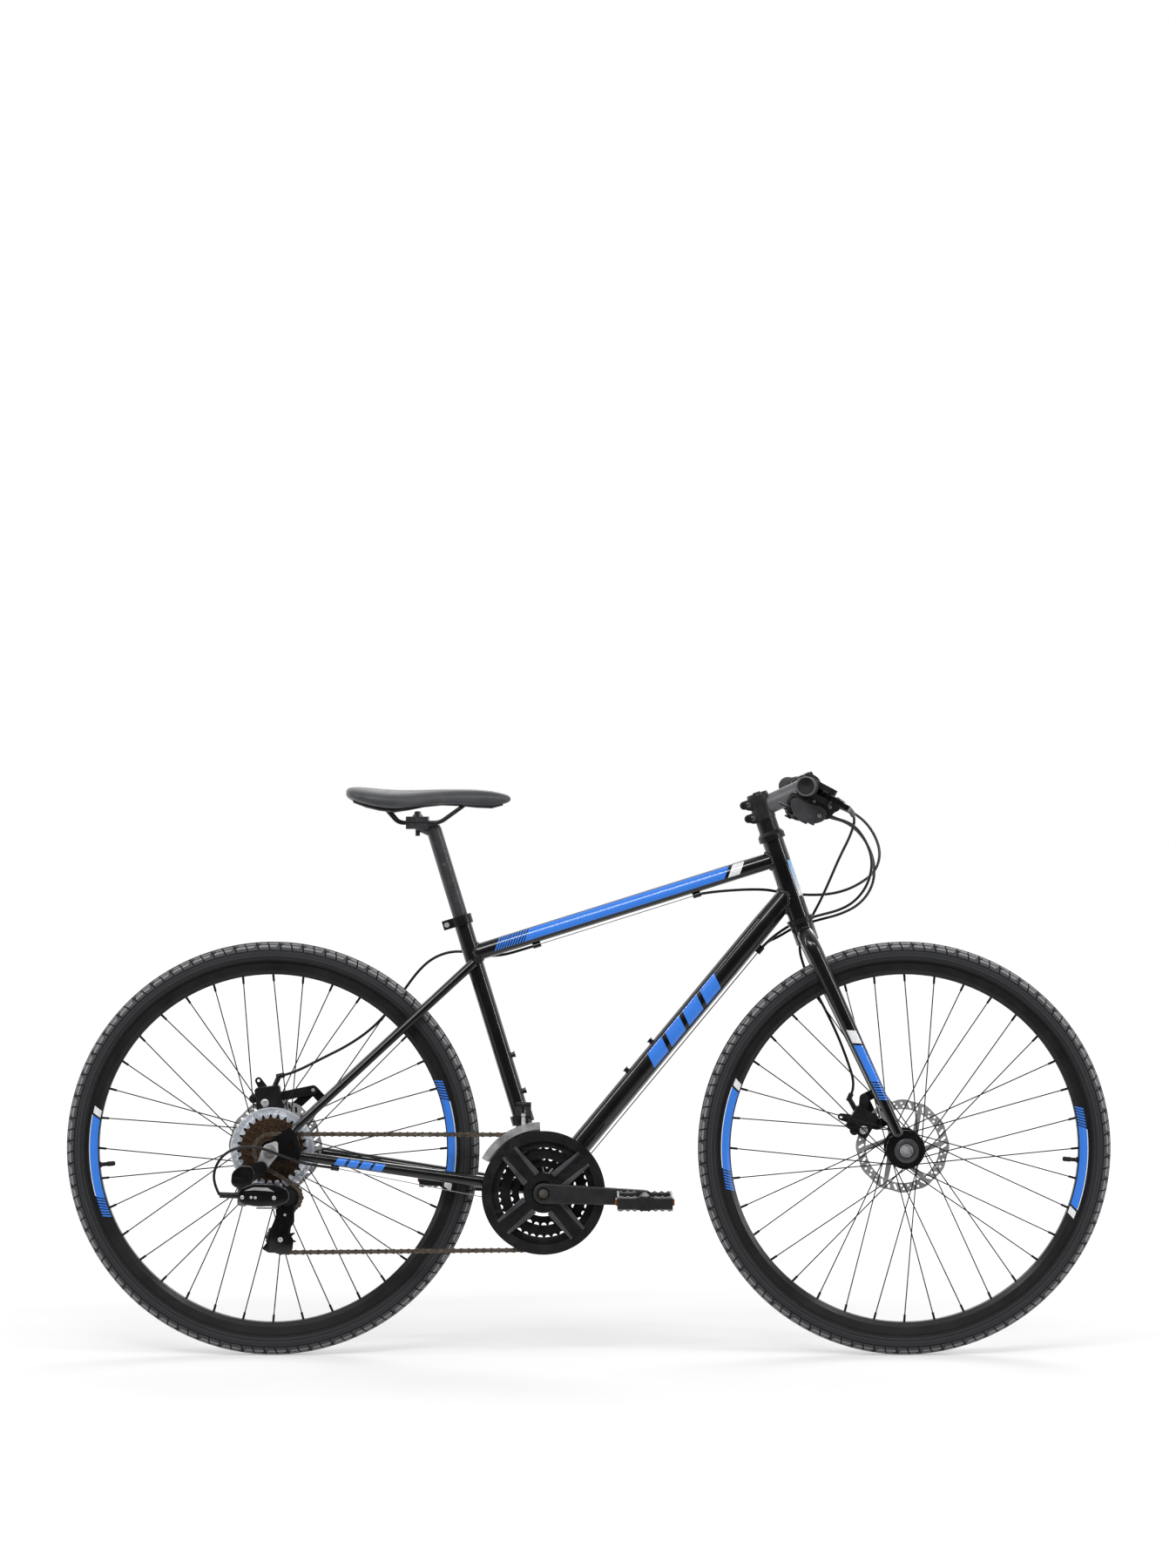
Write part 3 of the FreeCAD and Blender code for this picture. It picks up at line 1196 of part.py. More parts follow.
def rear_right_boss():
    """Drive-side end of the rear hub: the freewheel's seat and the protector's shoulder."""
    end = REAR_SPACING / 2 - LOCKNUT_LENGTH - CONE_LENGTH
    shoulder = PROTECTOR_PLANE - PROTECTOR_THICKNESS / 2
    thread = FREEWHEEL_BORE - BODY_GAP
    return [(-end, thread), (shoulder, thread), (shoulder, PROTECTOR_BORE - FIT_GAP),
            (REAR_FLANGES[0] - FLANGE_THICKNESS / 2, PROTECTOR_BORE - FIT_GAP)]


def spoke_protector():
    """Disc between the largest sprocket and the spokes."""
    near = PROTECTOR_PLANE - PROTECTOR_THICKNESS / 2
    far = PROTECTOR_PLANE + PROTECTOR_THICKNESS / 2
    return holed_plate([disc_wire(REAR_AXLE, PROTECTOR_RADIUS), disc_wire(REAR_AXLE, PROTECTOR_BORE)], near,
                       far)


# Drive train

def pitch_radius(teeth):
    """Radius of the circle through the roller centres of a sprocket."""
    return CHAIN_PITCH / (2 * math.sin(math.pi / teeth))


def sprocket(teeth, centre, plane, thickness, bore, phase):
    """Toothed plate with round roller seats; phase is the angle of one seat, in radians."""
    radius = pitch_radius(teeth)
    lean = math.radians(SEAT_HALF_ANGLE)
    step = 2 * math.pi / teeth
    corners = []
    for number in range(teeth):
        turn = math.degrees(phase + number * step)
        out, side = direction(turn), direction(turn + 90)
        roller = centre + out * radius
        down, aside = out * (math.cos(lean) * SEAT_RADIUS), side * (math.sin(lean) * SEAT_RADIUS)
        tip_turn = turn + math.degrees(step / 2)
        tip = centre + direction(tip_turn) * (radius + TOOTH_HEIGHT)
        edge = direction(tip_turn + 90) * (TOOTH_TIP / 2)
        corners.append((roller - down - aside, roller - out * SEAT_RADIUS, roller - down + aside,
                        tip - edge, tip + edge))
    edges = []
    for number, (before, low, after, rise, fall) in enumerate(corners):
        following = corners[(number + 1) % teeth][0]
        edges.append(Part.Arc(before, low, after).toShape())
        edges += [Part.LineSegment(*pair).toShape() for pair in ((after, rise), (rise, fall),
                                                                 (fall, following))]
    wires = [Part.Wire(edges), disc_wire(centre, bore)]
    return holed_plate(wires, plane - thickness / 2, plane + thickness / 2)


def chain_run(cage_angle):
    """The chain's closed line as straight and round pieces, for one angle of the derailleur cage."""
    tension = GUIDE_PULLEY + direction(cage_angle) * PULLEY_SPACING
    wheels = [(BRACKET, pitch_radius(RING_TEETH[0]), 1), (REAR_AXLE, pitch_radius(COG_TEETH[0]), 1),
              (GUIDE_PULLEY, pitch_radius(PULLEY_TEETH), -1), (tension, pitch_radius(PULLEY_TEETH), 1)]
    leaving, arriving = [], [None] * len(wheels)
    for number, (centre, radius, way) in enumerate(wheels):
        nxt = (number + 1) % len(wheels)
        other, other_radius, other_way = wheels[nxt]
        gap = other - centre
        lean = math.asin((other_way * other_radius - way * radius) / gap.Length)
        turn = math.degrees(math.atan2(gap.z, gap.x) - lean)
        side = direction(turn + 90)
        leaving.append(centre - side * (way * radius))
        arriving[nxt] = other - side * (other_way * other_radius)
    pieces = []
    for number, (centre, radius, way) in enumerate(wheels):
        first, last = arriving[number] - centre, leaving[number] - centre
        start = math.atan2(first.z, first.x)
        sweep = way * (math.atan2(last.z, last.x) - start) % (2 * math.pi)
        pieces.append(("round", centre, radius, start, way, sweep * radius))
        end = arriving[(number + 1) % len(wheels)]
        pieces.append(("straight", leaving[number], toward(leaving[number], end), 0, 0,
                       (end - leaving[number]).Length))
    return pieces, wheels


def place_on(pieces, distance):
    """Point at a distance along the chain's line."""
    for kind, origin, shape, start, way, length in pieces:
        if distance <= length:
            if kind == "straight":
                return origin + shape * distance
            return origin + direction(math.degrees(start + way * distance / shape)) * shape
        distance -= length
    return place_on(pieces, distance)


def rollers(pieces):
    """Roller centres one pitch apart along the chain's line, and what is left over at the end."""
    total = sum(piece[-1] for piece in pieces)
    distance, places = 0.0, [place_on(pieces, 0.0)]
    for _ in range(CHAIN_LINKS):
        low, high = distance + CHAIN_PITCH * 0.9, distance + CHAIN_PITCH * 1.3
        for _ in range(30):
            middle = (low + high) / 2
            if (place_on(pieces, middle) - places[-1]).Length < CHAIN_PITCH:
                low = middle
            else:
                high = middle
        distance = low
        places.append(place_on(pieces, distance))
    return places[:-1], total - distance


def taut_cage():
    """Cage angle at which a chain of CHAIN_LINKS is taut."""
    low, high = -150.0, -30.0
    for _ in range(30):
        middle = (low + high) / 2
        if rollers(chain_run(middle)[0])[1] > 0:
            low = middle
        else:
            high = middle
    return middle


CAGE_ANGLE = taut_cage()
TENSION_PULLEY = GUIDE_PULLEY + direction(CAGE_ANGLE) * PULLEY_SPACING
CHAIN_PIECES, CHAIN_WHEELS = chain_run(CAGE_ANGLE)
ROLLERS = rollers(CHAIN_PIECES)[0]


def seat_phase(wheel):
    """Angle at which a sprocket's seats meet the chain's rollers, from the roller nearest mid wrap."""
    centre = CHAIN_WHEELS[wheel][0]
    radius, start, way, length = CHAIN_PIECES[2 * wheel][2:]
    middle = centre + direction(math.degrees(start + way * length / radius / 2)) * radius
    roller = min(ROLLERS, key=lambda place: (place - middle).Length) - centre
    return math.atan2(roller.z, roller.x)


def link_wire(radius, waist):
    """Chain plate outline: two round ends and a drawn-in waist, between rollers on X."""
    half = CHAIN_PITCH / 2
    reach = 50.0
    up = math.sin(math.radians(reach)) * radius
    along = math.cos(math.radians(reach)) * radius
    a, b = Vector(along, 0, up), Vector(CHAIN_PITCH - along, 0, up)
    c, d = Vector(CHAIN_PITCH - along, 0, -up), Vector(along, 0, -up)
    return Part.Wire([Part.Arc(a, Vector(half, 0, waist), b).toShape(),
                      Part.Arc(b, Vector(CHAIN_PITCH + radius, 0, 0), c).toShape(),
                      Part.Arc(c, Vector(half, 0, -waist), d).toShape(),
                      Part.Arc(d, Vector(-radius, 0, 0), a).toShape()])


def chain():
    """Chain of alternate inner and outer links, each link one solid."""
    eyes = [Vector(), Vector(CHAIN_PITCH, 0, 0)]
    inner_far = LINK_INNER_HALF + LINK_PLATE
    outer_near = inner_far + LINK_SIDE_GAP
    inner, outer = [], []
    for side in SIDES:
        inner.append(plate(link_wire(LINK_RADIUS, LINK_WAIST), side * LINK_INNER_HALF, side * inner_far))
        outer.append(plate(link_wire(LINK_RADIUS, LINK_WAIST), side * outer_near,
                           side * (outer_near + LINK_PLATE)))
    inner += [rod(eye - across(inner_far), eye + across(inner_far), ROLLER_RADIUS) for eye in eyes]
    outer += [rod(eye - across(PIN_HALF), eye + across(PIN_HALF), PIN_RADIUS) for eye in eyes]
    bores = [hole(eye - across(inner_far), eye + across(inner_far), PIN_RADIUS + BUSH_GAP) for eye in eyes]
    links = (joined(inner).cut(bores), joined(outer))
    made = []
    for number, start in enumerate(ROLLERS):
        end = ROLLERS[(number + 1) % len(ROLLERS)]
        along = toward(start, end)
        made.append(framed(links[number % 2], start + across(CHAIN_PLANE), along, LEFT))
    return made


def freewheel():
    """Freewheel body with seven sprockets and a lock ring."""
    planes = [CHAIN_PLANE + number * COG_STEP for number in range(len(COG_TEETH))]
    start = planes[0] - COG_THICKNESS / 2
    end = planes[-1] + COG_THICKNESS / 2
    steps = [(start - FREEWHEEL_LOCK_LENGTH, FREEWHEEL_LOCK_RADIUS), (start, FREEWHEEL_LOCK_RADIUS),
             (start, FREEWHEEL_BODY_RADIUS), (end, FREEWHEEL_BODY_RADIUS)]
    made = [turned(REAR_AXLE, LEFT, steps, FREEWHEEL_BORE)]
    for teeth, plane in zip(COG_TEETH, planes):
        made.append(sprocket(teeth, REAR_AXLE, plane, COG_THICKNESS, FREEWHEEL_BODY_RADIUS + FIT_GAP,
                             seat_phase(1)))
    return made


def ring_plane(number):
    """Y of the middle of one chainring."""
    return CHAIN_PLANE + number * RING_STEP


def chainrings():
    """Three toothed rings and the posts that hold the smallest to the spider."""
    made = []
    for number, teeth in enumerate(RING_TEETH):
        made.append(sprocket(teeth, BRACKET, ring_plane(number), RING_THICKNESS,
                             pitch_radius(teeth) - RING_BAND, seat_phase(0)))
    near = ring_plane(1) - RING_THICKNESS / 2
    far = ring_plane(2) - RING_THICKNESS / 2
    for turn in spider_angles():
        place = BRACKET + direction(turn) * POST_REACH
        made.append(rod(place + across(near), place + across(far), POST_RADIUS))
    return made


def spider_angles():
    """Angles of the spider's arms, set from the crank arm."""
    return [CRANK_ANGLE + SPIDER_ARM_ANGLE + number * 360.0 / SPIDER_ARMS for number in range(SPIDER_ARMS)]


def crank_arm(side, angle):
    """One crank arm with its hub, square bore and pedal thread; side -1 carries the spider."""
    end = BRACKET + direction(angle) * CRANK_LENGTH
    near, far = side * (CRANK_FACE - CRANK_THICKNESS), side * CRANK_FACE
    bar = capsule(BRACKET, CRANK_HUB_RADIUS, end, CRANK_END_RADIUS, near, far)
    rim_edges = [edge for edge in bar.Edges if abs(edge.CenterOfMass.y - far) < CRANK_EDGE / 2]
    solids = [bar.makeFillet(CRANK_EDGE, rim_edges),
              rod(BRACKET + across(side * CRANK_HUB_INNER), BRACKET + across(near), CRANK_HUB_RADIUS)]
    if side < 0:
        front = ring_plane(0) + RING_THICKNESS / 2
        back = ring_plane(1) - RING_THICKNESS / 2
        solids.append(plate(disc_wire(BRACKET, SPIDER_DISC_RADIUS), front, back))
        for turn in spider_angles():
            tip = BRACKET + direction(turn) * SPIDER_REACH
            solids.append(capsule(BRACKET, SPIDER_ARM_RADIUS * 1.2, tip, SPIDER_ARM_RADIUS, front, back))
    half = SPINDLE_SQUARE / 2 + FIT_GAP
    square = Part.makeBox(2 * half, CRANK_FACE, 2 * half, Vector(-half, 0, -half))
    square = framed(square, BRACKET, direction(angle), across(1))
    if side < 0:
        square.translate(across(-CRANK_FACE))
    cuts = [square, rod(BRACKET + across(side * (CRANK_FACE - CRANK_RECESS_DEPTH)),
                        BRACKET + across(side * (CRANK_FACE + CUT_OVERRUN)), CRANK_RECESS_RADIUS),
            hole(end + across(near), end + across(far), PEDAL_THREAD_RADIUS + FIT_GAP)]
    return joined(solids).cut(cuts)


def chain_guard():
    """Guard outside the large ring: a rim, a hub and four arms with two ridges each."""
    near, far = GUARD_BACK - GUARD_THICKNESS, GUARD_BACK
    solids = [holed_plate([disc_wire(BRACKET, GUARD_RADIUS), disc_wire(BRACKET, GUARD_RADIUS - GUARD_BAND)],
                          near, far),
              plate(disc_wire(BRACKET, GUARD_HUB_RADIUS), near, far)]
    ridge_top = near - GUARD_RIDGE_HEIGHT
    spider_front = ring_plane(0) + RING_THICKNESS / 2
    for turn in spider_angles():
        way, side = direction(turn), direction(turn + 90)
        tip = BRACKET + way * (GUARD_RADIUS - GUARD_BAND)
        solids.append(capsule(BRACKET, GUARD_ARM_RADIUS, tip, GUARD_ARM_RADIUS, near, far))
        post = BRACKET + way * (pitch_radius(RING_TEETH[0]) - RING_BAND - POST_RADIUS - BODY_GAP)
        solids.append(rod(post + across(near), post + across(spider_front), POST_RADIUS))
        for offset in SIDES:
            start = BRACKET + way * GUARD_HUB_RADIUS + side * (offset * GUARD_RIDGE_SPREAD)
            end = BRACKET + way * (GUARD_RADIUS - GUARD_BAND / 2) + side * (offset * GUARD_RIDGE_SPREAD)
            solids.append(capsule(start, GUARD_RIDGE_RADIUS, end, GUARD_RIDGE_RADIUS, ridge_top, near))
    return joined(solids).cut(hole(BRACKET + across(near), BRACKET + across(far), GUARD_BORE))


def crank_axles():
    """Square-ended spindle, its two bolts, and the two pedal axles."""
    floor = CRANK_FACE - CRANK_RECESS_DEPTH
    square_end = floor - BODY_GAP
    length = square_end - SPINDLE_SHOULDER
    half = SPINDLE_SQUARE / 2
    shoulder = across(SPINDLE_SHOULDER)
    solids = [rod(BRACKET - shoulder, BRACKET + shoulder, SPINDLE_RADIUS)]
    for side in SIDES:
        square = Part.makeBox(2 * half, length, 2 * half, Vector(-half, -length / 2, -half))
        middle = BRACKET + across(side * (SPINDLE_SHOULDER + length / 2))
        solids.append(framed(square, middle, direction(CRANK_ANGLE), LEFT))
    made = [joined(solids)]
    for side in SIDES:
        place = BRACKET + across(side * floor)
        made.append(turned(place, across(side), [(0, CRANK_BOLT_HEAD), (CRANK_RECESS_DEPTH / 2,
                                                                        CRANK_BOLT_HEAD),
                                                 (CRANK_RECESS_DEPTH / 2, CRANK_BOLT_RADIUS),
                                                 (CRANK_RECESS_DEPTH, CRANK_BOLT_RADIUS)]))
        end = pedal_centre(side)
        steps = [(-CRANK_THICKNESS, PEDAL_THREAD_RADIUS), (0, PEDAL_THREAD_RADIUS), (0, PEDAL_FLANGE_RADIUS),
                 (PEDAL_FLANGE_LENGTH, PEDAL_FLANGE_RADIUS), (PEDAL_FLANGE_LENGTH, PEDAL_AXLE_RADIUS),
                 (PEDAL_FLANGE_LENGTH + PEDAL_INNER_GAP + PEDAL_WIDTH - PEDAL_CAP - BODY_GAP,
                  PEDAL_AXLE_RADIUS)]
        made.append(turned(end, across(side), steps))
    return made


def pedal_centre(side):
    """Outer face of a crank arm at its pedal thread."""
    angle = CRANK_ANGLE if side < 0 else CRANK_ANGLE + 180
    return BRACKET + direction(angle) * CRANK_LENGTH + across(side * CRANK_FACE)


def toothed_wall(length, near_low, teeth):
    """Cage wall outline along X, centred, with teeth along both long edges."""
    half, low = length / 2, near_low
    step = length / teeth
    upper = []
    for number in range(teeth):
        start = -half + number * step
        upper += [Vector(start, 0, low), Vector(start + step / 2, 0, low + PEDAL_TOOTH)]
    upper.append(Vector(half, 0, low))
    lower = [Vector(point.x, 0, -point.z) for point in reversed(upper)]
    points = upper + lower
    return Part.makePolygon(points + points[:1])


def pedal(side):
    """Cage pedal: barrel, toothed walls all round, and cross ribs; made about the axle along Y."""
    low = PEDAL_THICKNESS / 2 - PEDAL_TOOTH
    start = PEDAL_FLANGE_LENGTH + PEDAL_INNER_GAP
    end = start + PEDAL_WIDTH
    half = PEDAL_LENGTH / 2
    wall = toothed_wall(PEDAL_LENGTH, low, PEDAL_TEETH)
    solids = [rod(across(start), across(end), PEDAL_BARREL_RADIUS),
              plate(wall, start, start + PEDAL_WALL), plate(wall, end - PEDAL_WALL, end)]
    side_wall = plate(toothed_wall(PEDAL_WIDTH, low, PEDAL_TEETH), 0, PEDAL_WALL)
    middle = across((start + end) / 2)
    for way in SIDES:
        origin = middle + Vector(way * half, 0, 0)
        solids.append(framed(side_wall, origin, across(-way), Vector(-way, 0, 0)))
        reach = PEDAL_BARREL_RADIUS / 2
        for place in ((start * 2 + end) / 3, (start + end * 2) / 3):
            rib = Part.makeBox(half - reach - PEDAL_WALL / 2, PEDAL_RIB, low)
            corner = reach if way > 0 else PEDAL_WALL / 2 - half
            rib.translate(Vector(corner, place - PEDAL_RIB / 2, -low / 2))
            solids.append(rib)
    body = joined(solids)
    bore = rod(across(start - CUT_OVERRUN), across(end - PEDAL_CAP), PEDAL_AXLE_RADIUS + RUN_GAP)
    body = body.cut(bore)
    if side < 0:
        body = body.mirror(Vector(), LEFT)
    body.translate(pedal_centre(side))
    return body


# Fork and steering

def blade_way():
    """Direction from the front axle up the blades, in the plane of the wheels."""
    return toward(FRONT_AXLE, CROWN_SEAT - HEAD_UP * (CROWN_DROP + CROWN_BEND))


def fork():
    """Steerer, bent crown, two hollow, vented blades, slotted fork ends and the brake tab."""
    crown = CROWN_SEAT - HEAD_UP * CROWN_DROP
    way = blade_way()
    steerer_top = STEM_TOP - HEAD_UP * STEM_SPLIT
    solids = [rod(crown, steerer_top, STEERER_RADIUS),
              rod(crown - HEAD_UP * BLADE_TOP_RADIUS, CROWN_SEAT, RACE_RADIUS)]
    cuts = [rod(crown - HEAD_UP * (BLADE_TOP_RADIUS + CUT_OVERRUN), steerer_top + HEAD_UP * CUT_OVERRUN,
                STEERER_RADIUS - STEERER_WALL)]
    for side in SIDES:
        inner = crown + across(side * (BLADE_TOP_SPREAD - CROWN_BEND))
        turn_mid = inner + across(side * CROWN_BEND * math.sin(math.pi / 4)) \
            - way * (CROWN_BEND * (1 - math.cos(math.pi / 4)))
        shoulder = inner + across(side * CROWN_BEND) - way * CROWN_BEND
        path = Part.Wire([Part.LineSegment(crown, inner).toShape(),
                          Part.Arc(inner, turn_mid, shoulder).toShape()])
        ring = Part.Wire(Part.Circle(crown, LEFT, BLADE_TOP_RADIUS).toShape())
        solids.append(path.makePipeShell([ring], True, False))
        foot = FRONT_AXLE + way * BLADE_END_REACH + across(side * BLADE_END_SPREAD)
        solids += [Part.makeSphere(BLADE_TOP_RADIUS, shoulder),
                   cone(shoulder, foot, BLADE_TOP_RADIUS, BLADE_END_RADIUS),
                   Part.makeSphere(BLADE_END_RADIUS, foot)]
        hollow_top, hollow_foot = BLADE_TOP_RADIUS - STEERER_WALL, BLADE_END_RADIUS - STEERER_WALL
        floor = foot + toward(foot, shoulder) * BLADE_END_REACH
        cuts += [cone(shoulder, floor, hollow_top, hollow_foot),
                 rod(floor + way * BLADE_VENT, floor + way * BLADE_VENT - across(side * BLADE_TOP_RADIUS),
                     BOSS_HOLE_RADIUS)]
        near = side * FRONT_SPACING / 2
        far = near + side * FORK_END_THICKNESS
        solids.append(capsule(FRONT_AXLE, FORK_END_RADIUS, foot, BLADE_END_RADIUS, near, far))
        lip = far + side * FORK_LIP_HEIGHT
        solids.append(holed_plate([disc_wire(FRONT_AXLE, FORK_LIP_RADIUS),
                                   disc_wire(FRONT_AXLE, FORK_LIP_BORE)],
                                  near, lip))
        bore = AXLE_RADIUS + FIT_GAP
        slot_end = FRONT_AXLE - UP * (FORK_LIP_RADIUS + CUT_OVERRUN)
        cuts.append(capsule(FRONT_AXLE, bore, slot_end, bore, near - side * CUT_OVERRUN,
                            lip + side * CUT_OVERRUN))
        cuts.append(rod(FRONT_AXLE + across(far), FRONT_AXLE + across(lip + side * BLADE_END_SPREAD),
                        FORK_LIP_BORE))
    made, holes = brake_tab(front_tab_bolts(), way, FRONT_TAB_OFFSET, FRONT_ROTOR_PLANE)
    return joined(solids + made).cut(cuts + holes)


def headset_stack():
    """Crown race, bearing cover, spacers and top cap on the steerer."""
    bore = STEERER_RADIUS + FIT_GAP
    made = [sleeve(CROWN_SEAT, CROWN_SEAT + HEAD_UP * (RACE_HEIGHT - BODY_GAP), RACE_RADIUS, bore)]
    low = HEAD_TOP + HEAD_UP * (CUP_HEIGHT + BODY_GAP)
    height = COVER_HEIGHT - BODY_GAP
    made.append(turned(low, HEAD_UP, [(0, CUP_RADIUS), (height, COVER_TOP_RADIUS)], bore))
    start = HEAD_TOP + HEAD_UP * (CUP_HEIGHT + COVER_HEIGHT)
    for height in SPACER_HEIGHTS:
        made.append(sleeve(start, start + HEAD_UP * height, SPACER_RADIUS, bore))
        start = start + HEAD_UP * height
    made.append(turned(STEM_TOP, HEAD_UP, [(0, STEM_CLAMP_RADIUS), (TOP_CAP_HEIGHT, SPACER_RADIUS)],
                       BOLT_RADIUS + FIT_GAP))
    return made


def stem_bolt_places():
    """Middles of the two pinch bolts behind the steerer clamp."""
    back = STEM_MIDDLE - HEAD_FORWARD * STEM_EAR_REACH
    return [back + HEAD_UP * (way * STEM_EAR_SPACING / 2) for way in SIDES]


def stem():
    """Stem body and its faceplate."""
    half_bar = across(STEM_BAR_WIDTH / 2)
    neck_start = STEM_MIDDLE
    solids = [rod(STEM_LOW, STEM_TOP, STEM_CLAMP_RADIUS), rod(neck_start, BAR_CENTRE, STEM_NECK_RADIUS)]
    cuts = [hole(STEM_LOW, STEM_TOP, STEERER_RADIUS + FIT_GAP),
            hole(BAR_CENTRE - half_bar, BAR_CENTRE + half_bar, BAR_CLAMP_RADIUS + FIT_GAP)]
    half_ear = across(STEM_EAR_WIDTH / 2)
    for place in stem_bolt_places():
        ear = Part.makeBox(STEM_EAR_REACH, STEM_EAR_WIDTH, 2 * STEM_EAR_RADIUS,
                           Vector(0, -STEM_EAR_WIDTH / 2, -STEM_EAR_RADIUS))
        solids += [framed(ear, place, HEAD_FORWARD, LEFT),
                   rod(place - half_ear, place + half_ear, STEM_EAR_RADIUS)]
        cuts.append(hole(place - half_ear, place + half_ear, BOLT_RADIUS + FIT_GAP))
    slot = Part.makeBox(2 * STEM_EAR_REACH, STEM_EAR_SLOT, STEM_CLAMP_HEIGHT + 2 * CUT_OVERRUN,
                        Vector(-2 * STEM_EAR_REACH, -STEM_EAR_SLOT / 2,
                               -STEM_CLAMP_HEIGHT / 2 - CUT_OVERRUN))
    cuts.append(framed(slot, STEM_MIDDLE, HEAD_FORWARD, LEFT))
    clamp = rod(BAR_CENTRE - half_bar, BAR_CENTRE + half_bar, STEM_BAR_RADIUS)
    face_bolts = faceplate_bolts()
    corner = STEM_BAR_RADIUS + BOLT_HEAD_RADIUS + BOLT_HEAD_RADIUS
    for place in face_bolts:
        clamp = clamp.fuse(rod(place - STEM_FORWARD * STEM_BAR_RADIUS / 2,
                               place + STEM_FORWARD * STEM_BAR_RADIUS / 2,
                               BOLT_HEAD_RADIUS + STEM_SPLIT / 2))
    front = Part.makeBox(corner, STEM_BAR_WIDTH * 2, 2 * corner,
                         Vector(STEM_SPLIT / 2, -STEM_BAR_WIDTH, -corner))
    front = framed(front, BAR_CENTRE, STEM_FORWARD, LEFT)
    back = Part.makeBox(corner, STEM_BAR_WIDTH * 2, 2 * corner,
                        Vector(-STEM_SPLIT / 2 - corner, -STEM_BAR_WIDTH, -corner))
    back = framed(back, BAR_CENTRE, STEM_FORWARD, LEFT)
    bolt_holes = [hole(place - STEM_FORWARD * STEM_BAR_RADIUS, place + STEM_FORWARD * STEM_BAR_RADIUS,
                       BOLT_RADIUS + FIT_GAP) for place in face_bolts]
    nose = solids[1].cut(front)
    body = joined([solids[0], nose, clamp.common(back)] + solids[2:]).cut(cuts + bolt_holes)
    seats = [rod(place + STEM_FORWARD * (STEM_BAR_RADIUS / 2), place + STEM_FORWARD * STEM_BAR_RADIUS,
                 BOLT_HEAD_RADIUS + BODY_GAP) for place in face_bolts]
    faceplate = clamp.common(front).cut([cuts[1]] + bolt_holes + seats)
    return body, faceplate


def faceplate_bolts():
    """Middles of the four faceplate bolts, above and below the bar."""
    rise = STEM_FORWARD.cross(LEFT) * -1
    reach = BAR_CLAMP_RADIUS + FIT_GAP + BOLT_RADIUS + TUBE_WALL
    spread = STEM_BAR_WIDTH / 2 - BOLT_HEAD_RADIUS - STEM_SPLIT / 2
    return [BAR_CENTRE + rise * (way * reach) + across(side * spread) for way in SIDES for side in SIDES]


def cockpit_fasteners():
    """Pinch bolts, faceplate bolts and the top-cap bolt."""
    made = []
    for place in stem_bolt_places():
        made.append(bolt(place - across(STEM_EAR_WIDTH / 2), LEFT, BOLT_HEAD_RADIUS, BOLT_HEAD_HEIGHT,
                         BOLT_RADIUS, STEM_EAR_WIDTH))
    for place in faceplate_bolts():
        made.append(bolt(place + STEM_FORWARD * (STEM_BAR_RADIUS / 2), STEM_FORWARD * -1, BOLT_HEAD_RADIUS,
                         BOLT_HEAD_HEIGHT, BOLT_RADIUS, STEM_BAR_RADIUS))
    made.append(bolt(STEM_TOP + HEAD_UP * TOP_CAP_HEIGHT, HEAD_UP * -1, BOLT_HEAD_RADIUS + BOLT_RADIUS,
                     BOLT_HEAD_HEIGHT / 2, BOLT_RADIUS, STEM_CLAMP_HEIGHT / 2))
    return made


def bar_way(side):
    """Direction of the swept part of the bar on one side."""
    sweep = math.radians(BAR_SWEEP)
    return Vector(-math.sin(sweep), side * math.cos(sweep), 0)


def bar_place(side, spread):
    """Point on the bar's line at a distance out from the middle."""
    bend = BAR_CENTRE + across(side * BAR_BEND_HALF)
    return bend + bar_way(side) * ((spread - BAR_BEND_HALF) / math.cos(math.radians(BAR_SWEEP)))


def handlebar():
    """Flat bar: a thicker middle, tapers, and swept ends, all hollow."""
    solids, cuts = [], []
    clamp = across(BAR_CLAMP_HALF)
    solids.append(rod(BAR_CENTRE - clamp, BAR_CENTRE + clamp, BAR_CLAMP_RADIUS))
    bore = BAR_RADIUS - BAR_WALL
    for side in SIDES:
        bend, end = bar_place(side, BAR_BEND_HALF), bar_place(side, BAR_HALF_WIDTH)
        solids += [cone(BAR_CENTRE + clamp * side, bend, BAR_CLAMP_RADIUS, BAR_RADIUS),
                   Part.makeSphere(BAR_RADIUS, bend), rod(bend, end, BAR_RADIUS)]
        cuts += [rod(BAR_CENTRE, bend, bore), rod(bend, end + bar_way(side) * CUT_OVERRUN, bore)]
    return joined(solids).cut(cuts)


def grip(side):
    """Rubber grip with a flange at its inner end and a closed outer end."""
    start = bar_place(side, BAR_HALF_WIDTH) - bar_way(side) * (GRIP_LENGTH - GRIP_CAP)
    bore_length = GRIP_LENGTH - GRIP_CAP + FIT_GAP
    steps = [(0, GRIP_FLANGE_RADIUS), (GRIP_FLANGE_LENGTH, GRIP_FLANGE_RADIUS),
             (GRIP_FLANGE_LENGTH, GRIP_RADIUS),
             (GRIP_LENGTH - GRIP_CAP, GRIP_RADIUS), (GRIP_LENGTH, GRIP_RADIUS - GRIP_CAP / 2)]
    body = turned(start, bar_way(side), steps)
    bore = rod(start - bar_way(side) * CUT_OVERRUN, start + bar_way(side) * bore_length,
               BAR_RADIUS + FIT_GAP)
    return body.cut(bore)


def control_frame(side, spread):
    """Origin on the bar, then the control's forward and upward directions."""
    ahead = direction(-CONTROL_TILT)
    outward = bar_way(side)
    ahead = (ahead - outward * ahead.dot(outward)).normalize()
    upward = (outward.cross(ahead) * side * -1).normalize()
    return bar_place(side, spread), ahead, upward, outward


def lever_pivot(side):
    """Middle of a brake lever's pivot."""
    origin, ahead = control_frame(side, PERCH_SPREAD)[:2]
    return origin + ahead * PERCH_REACH


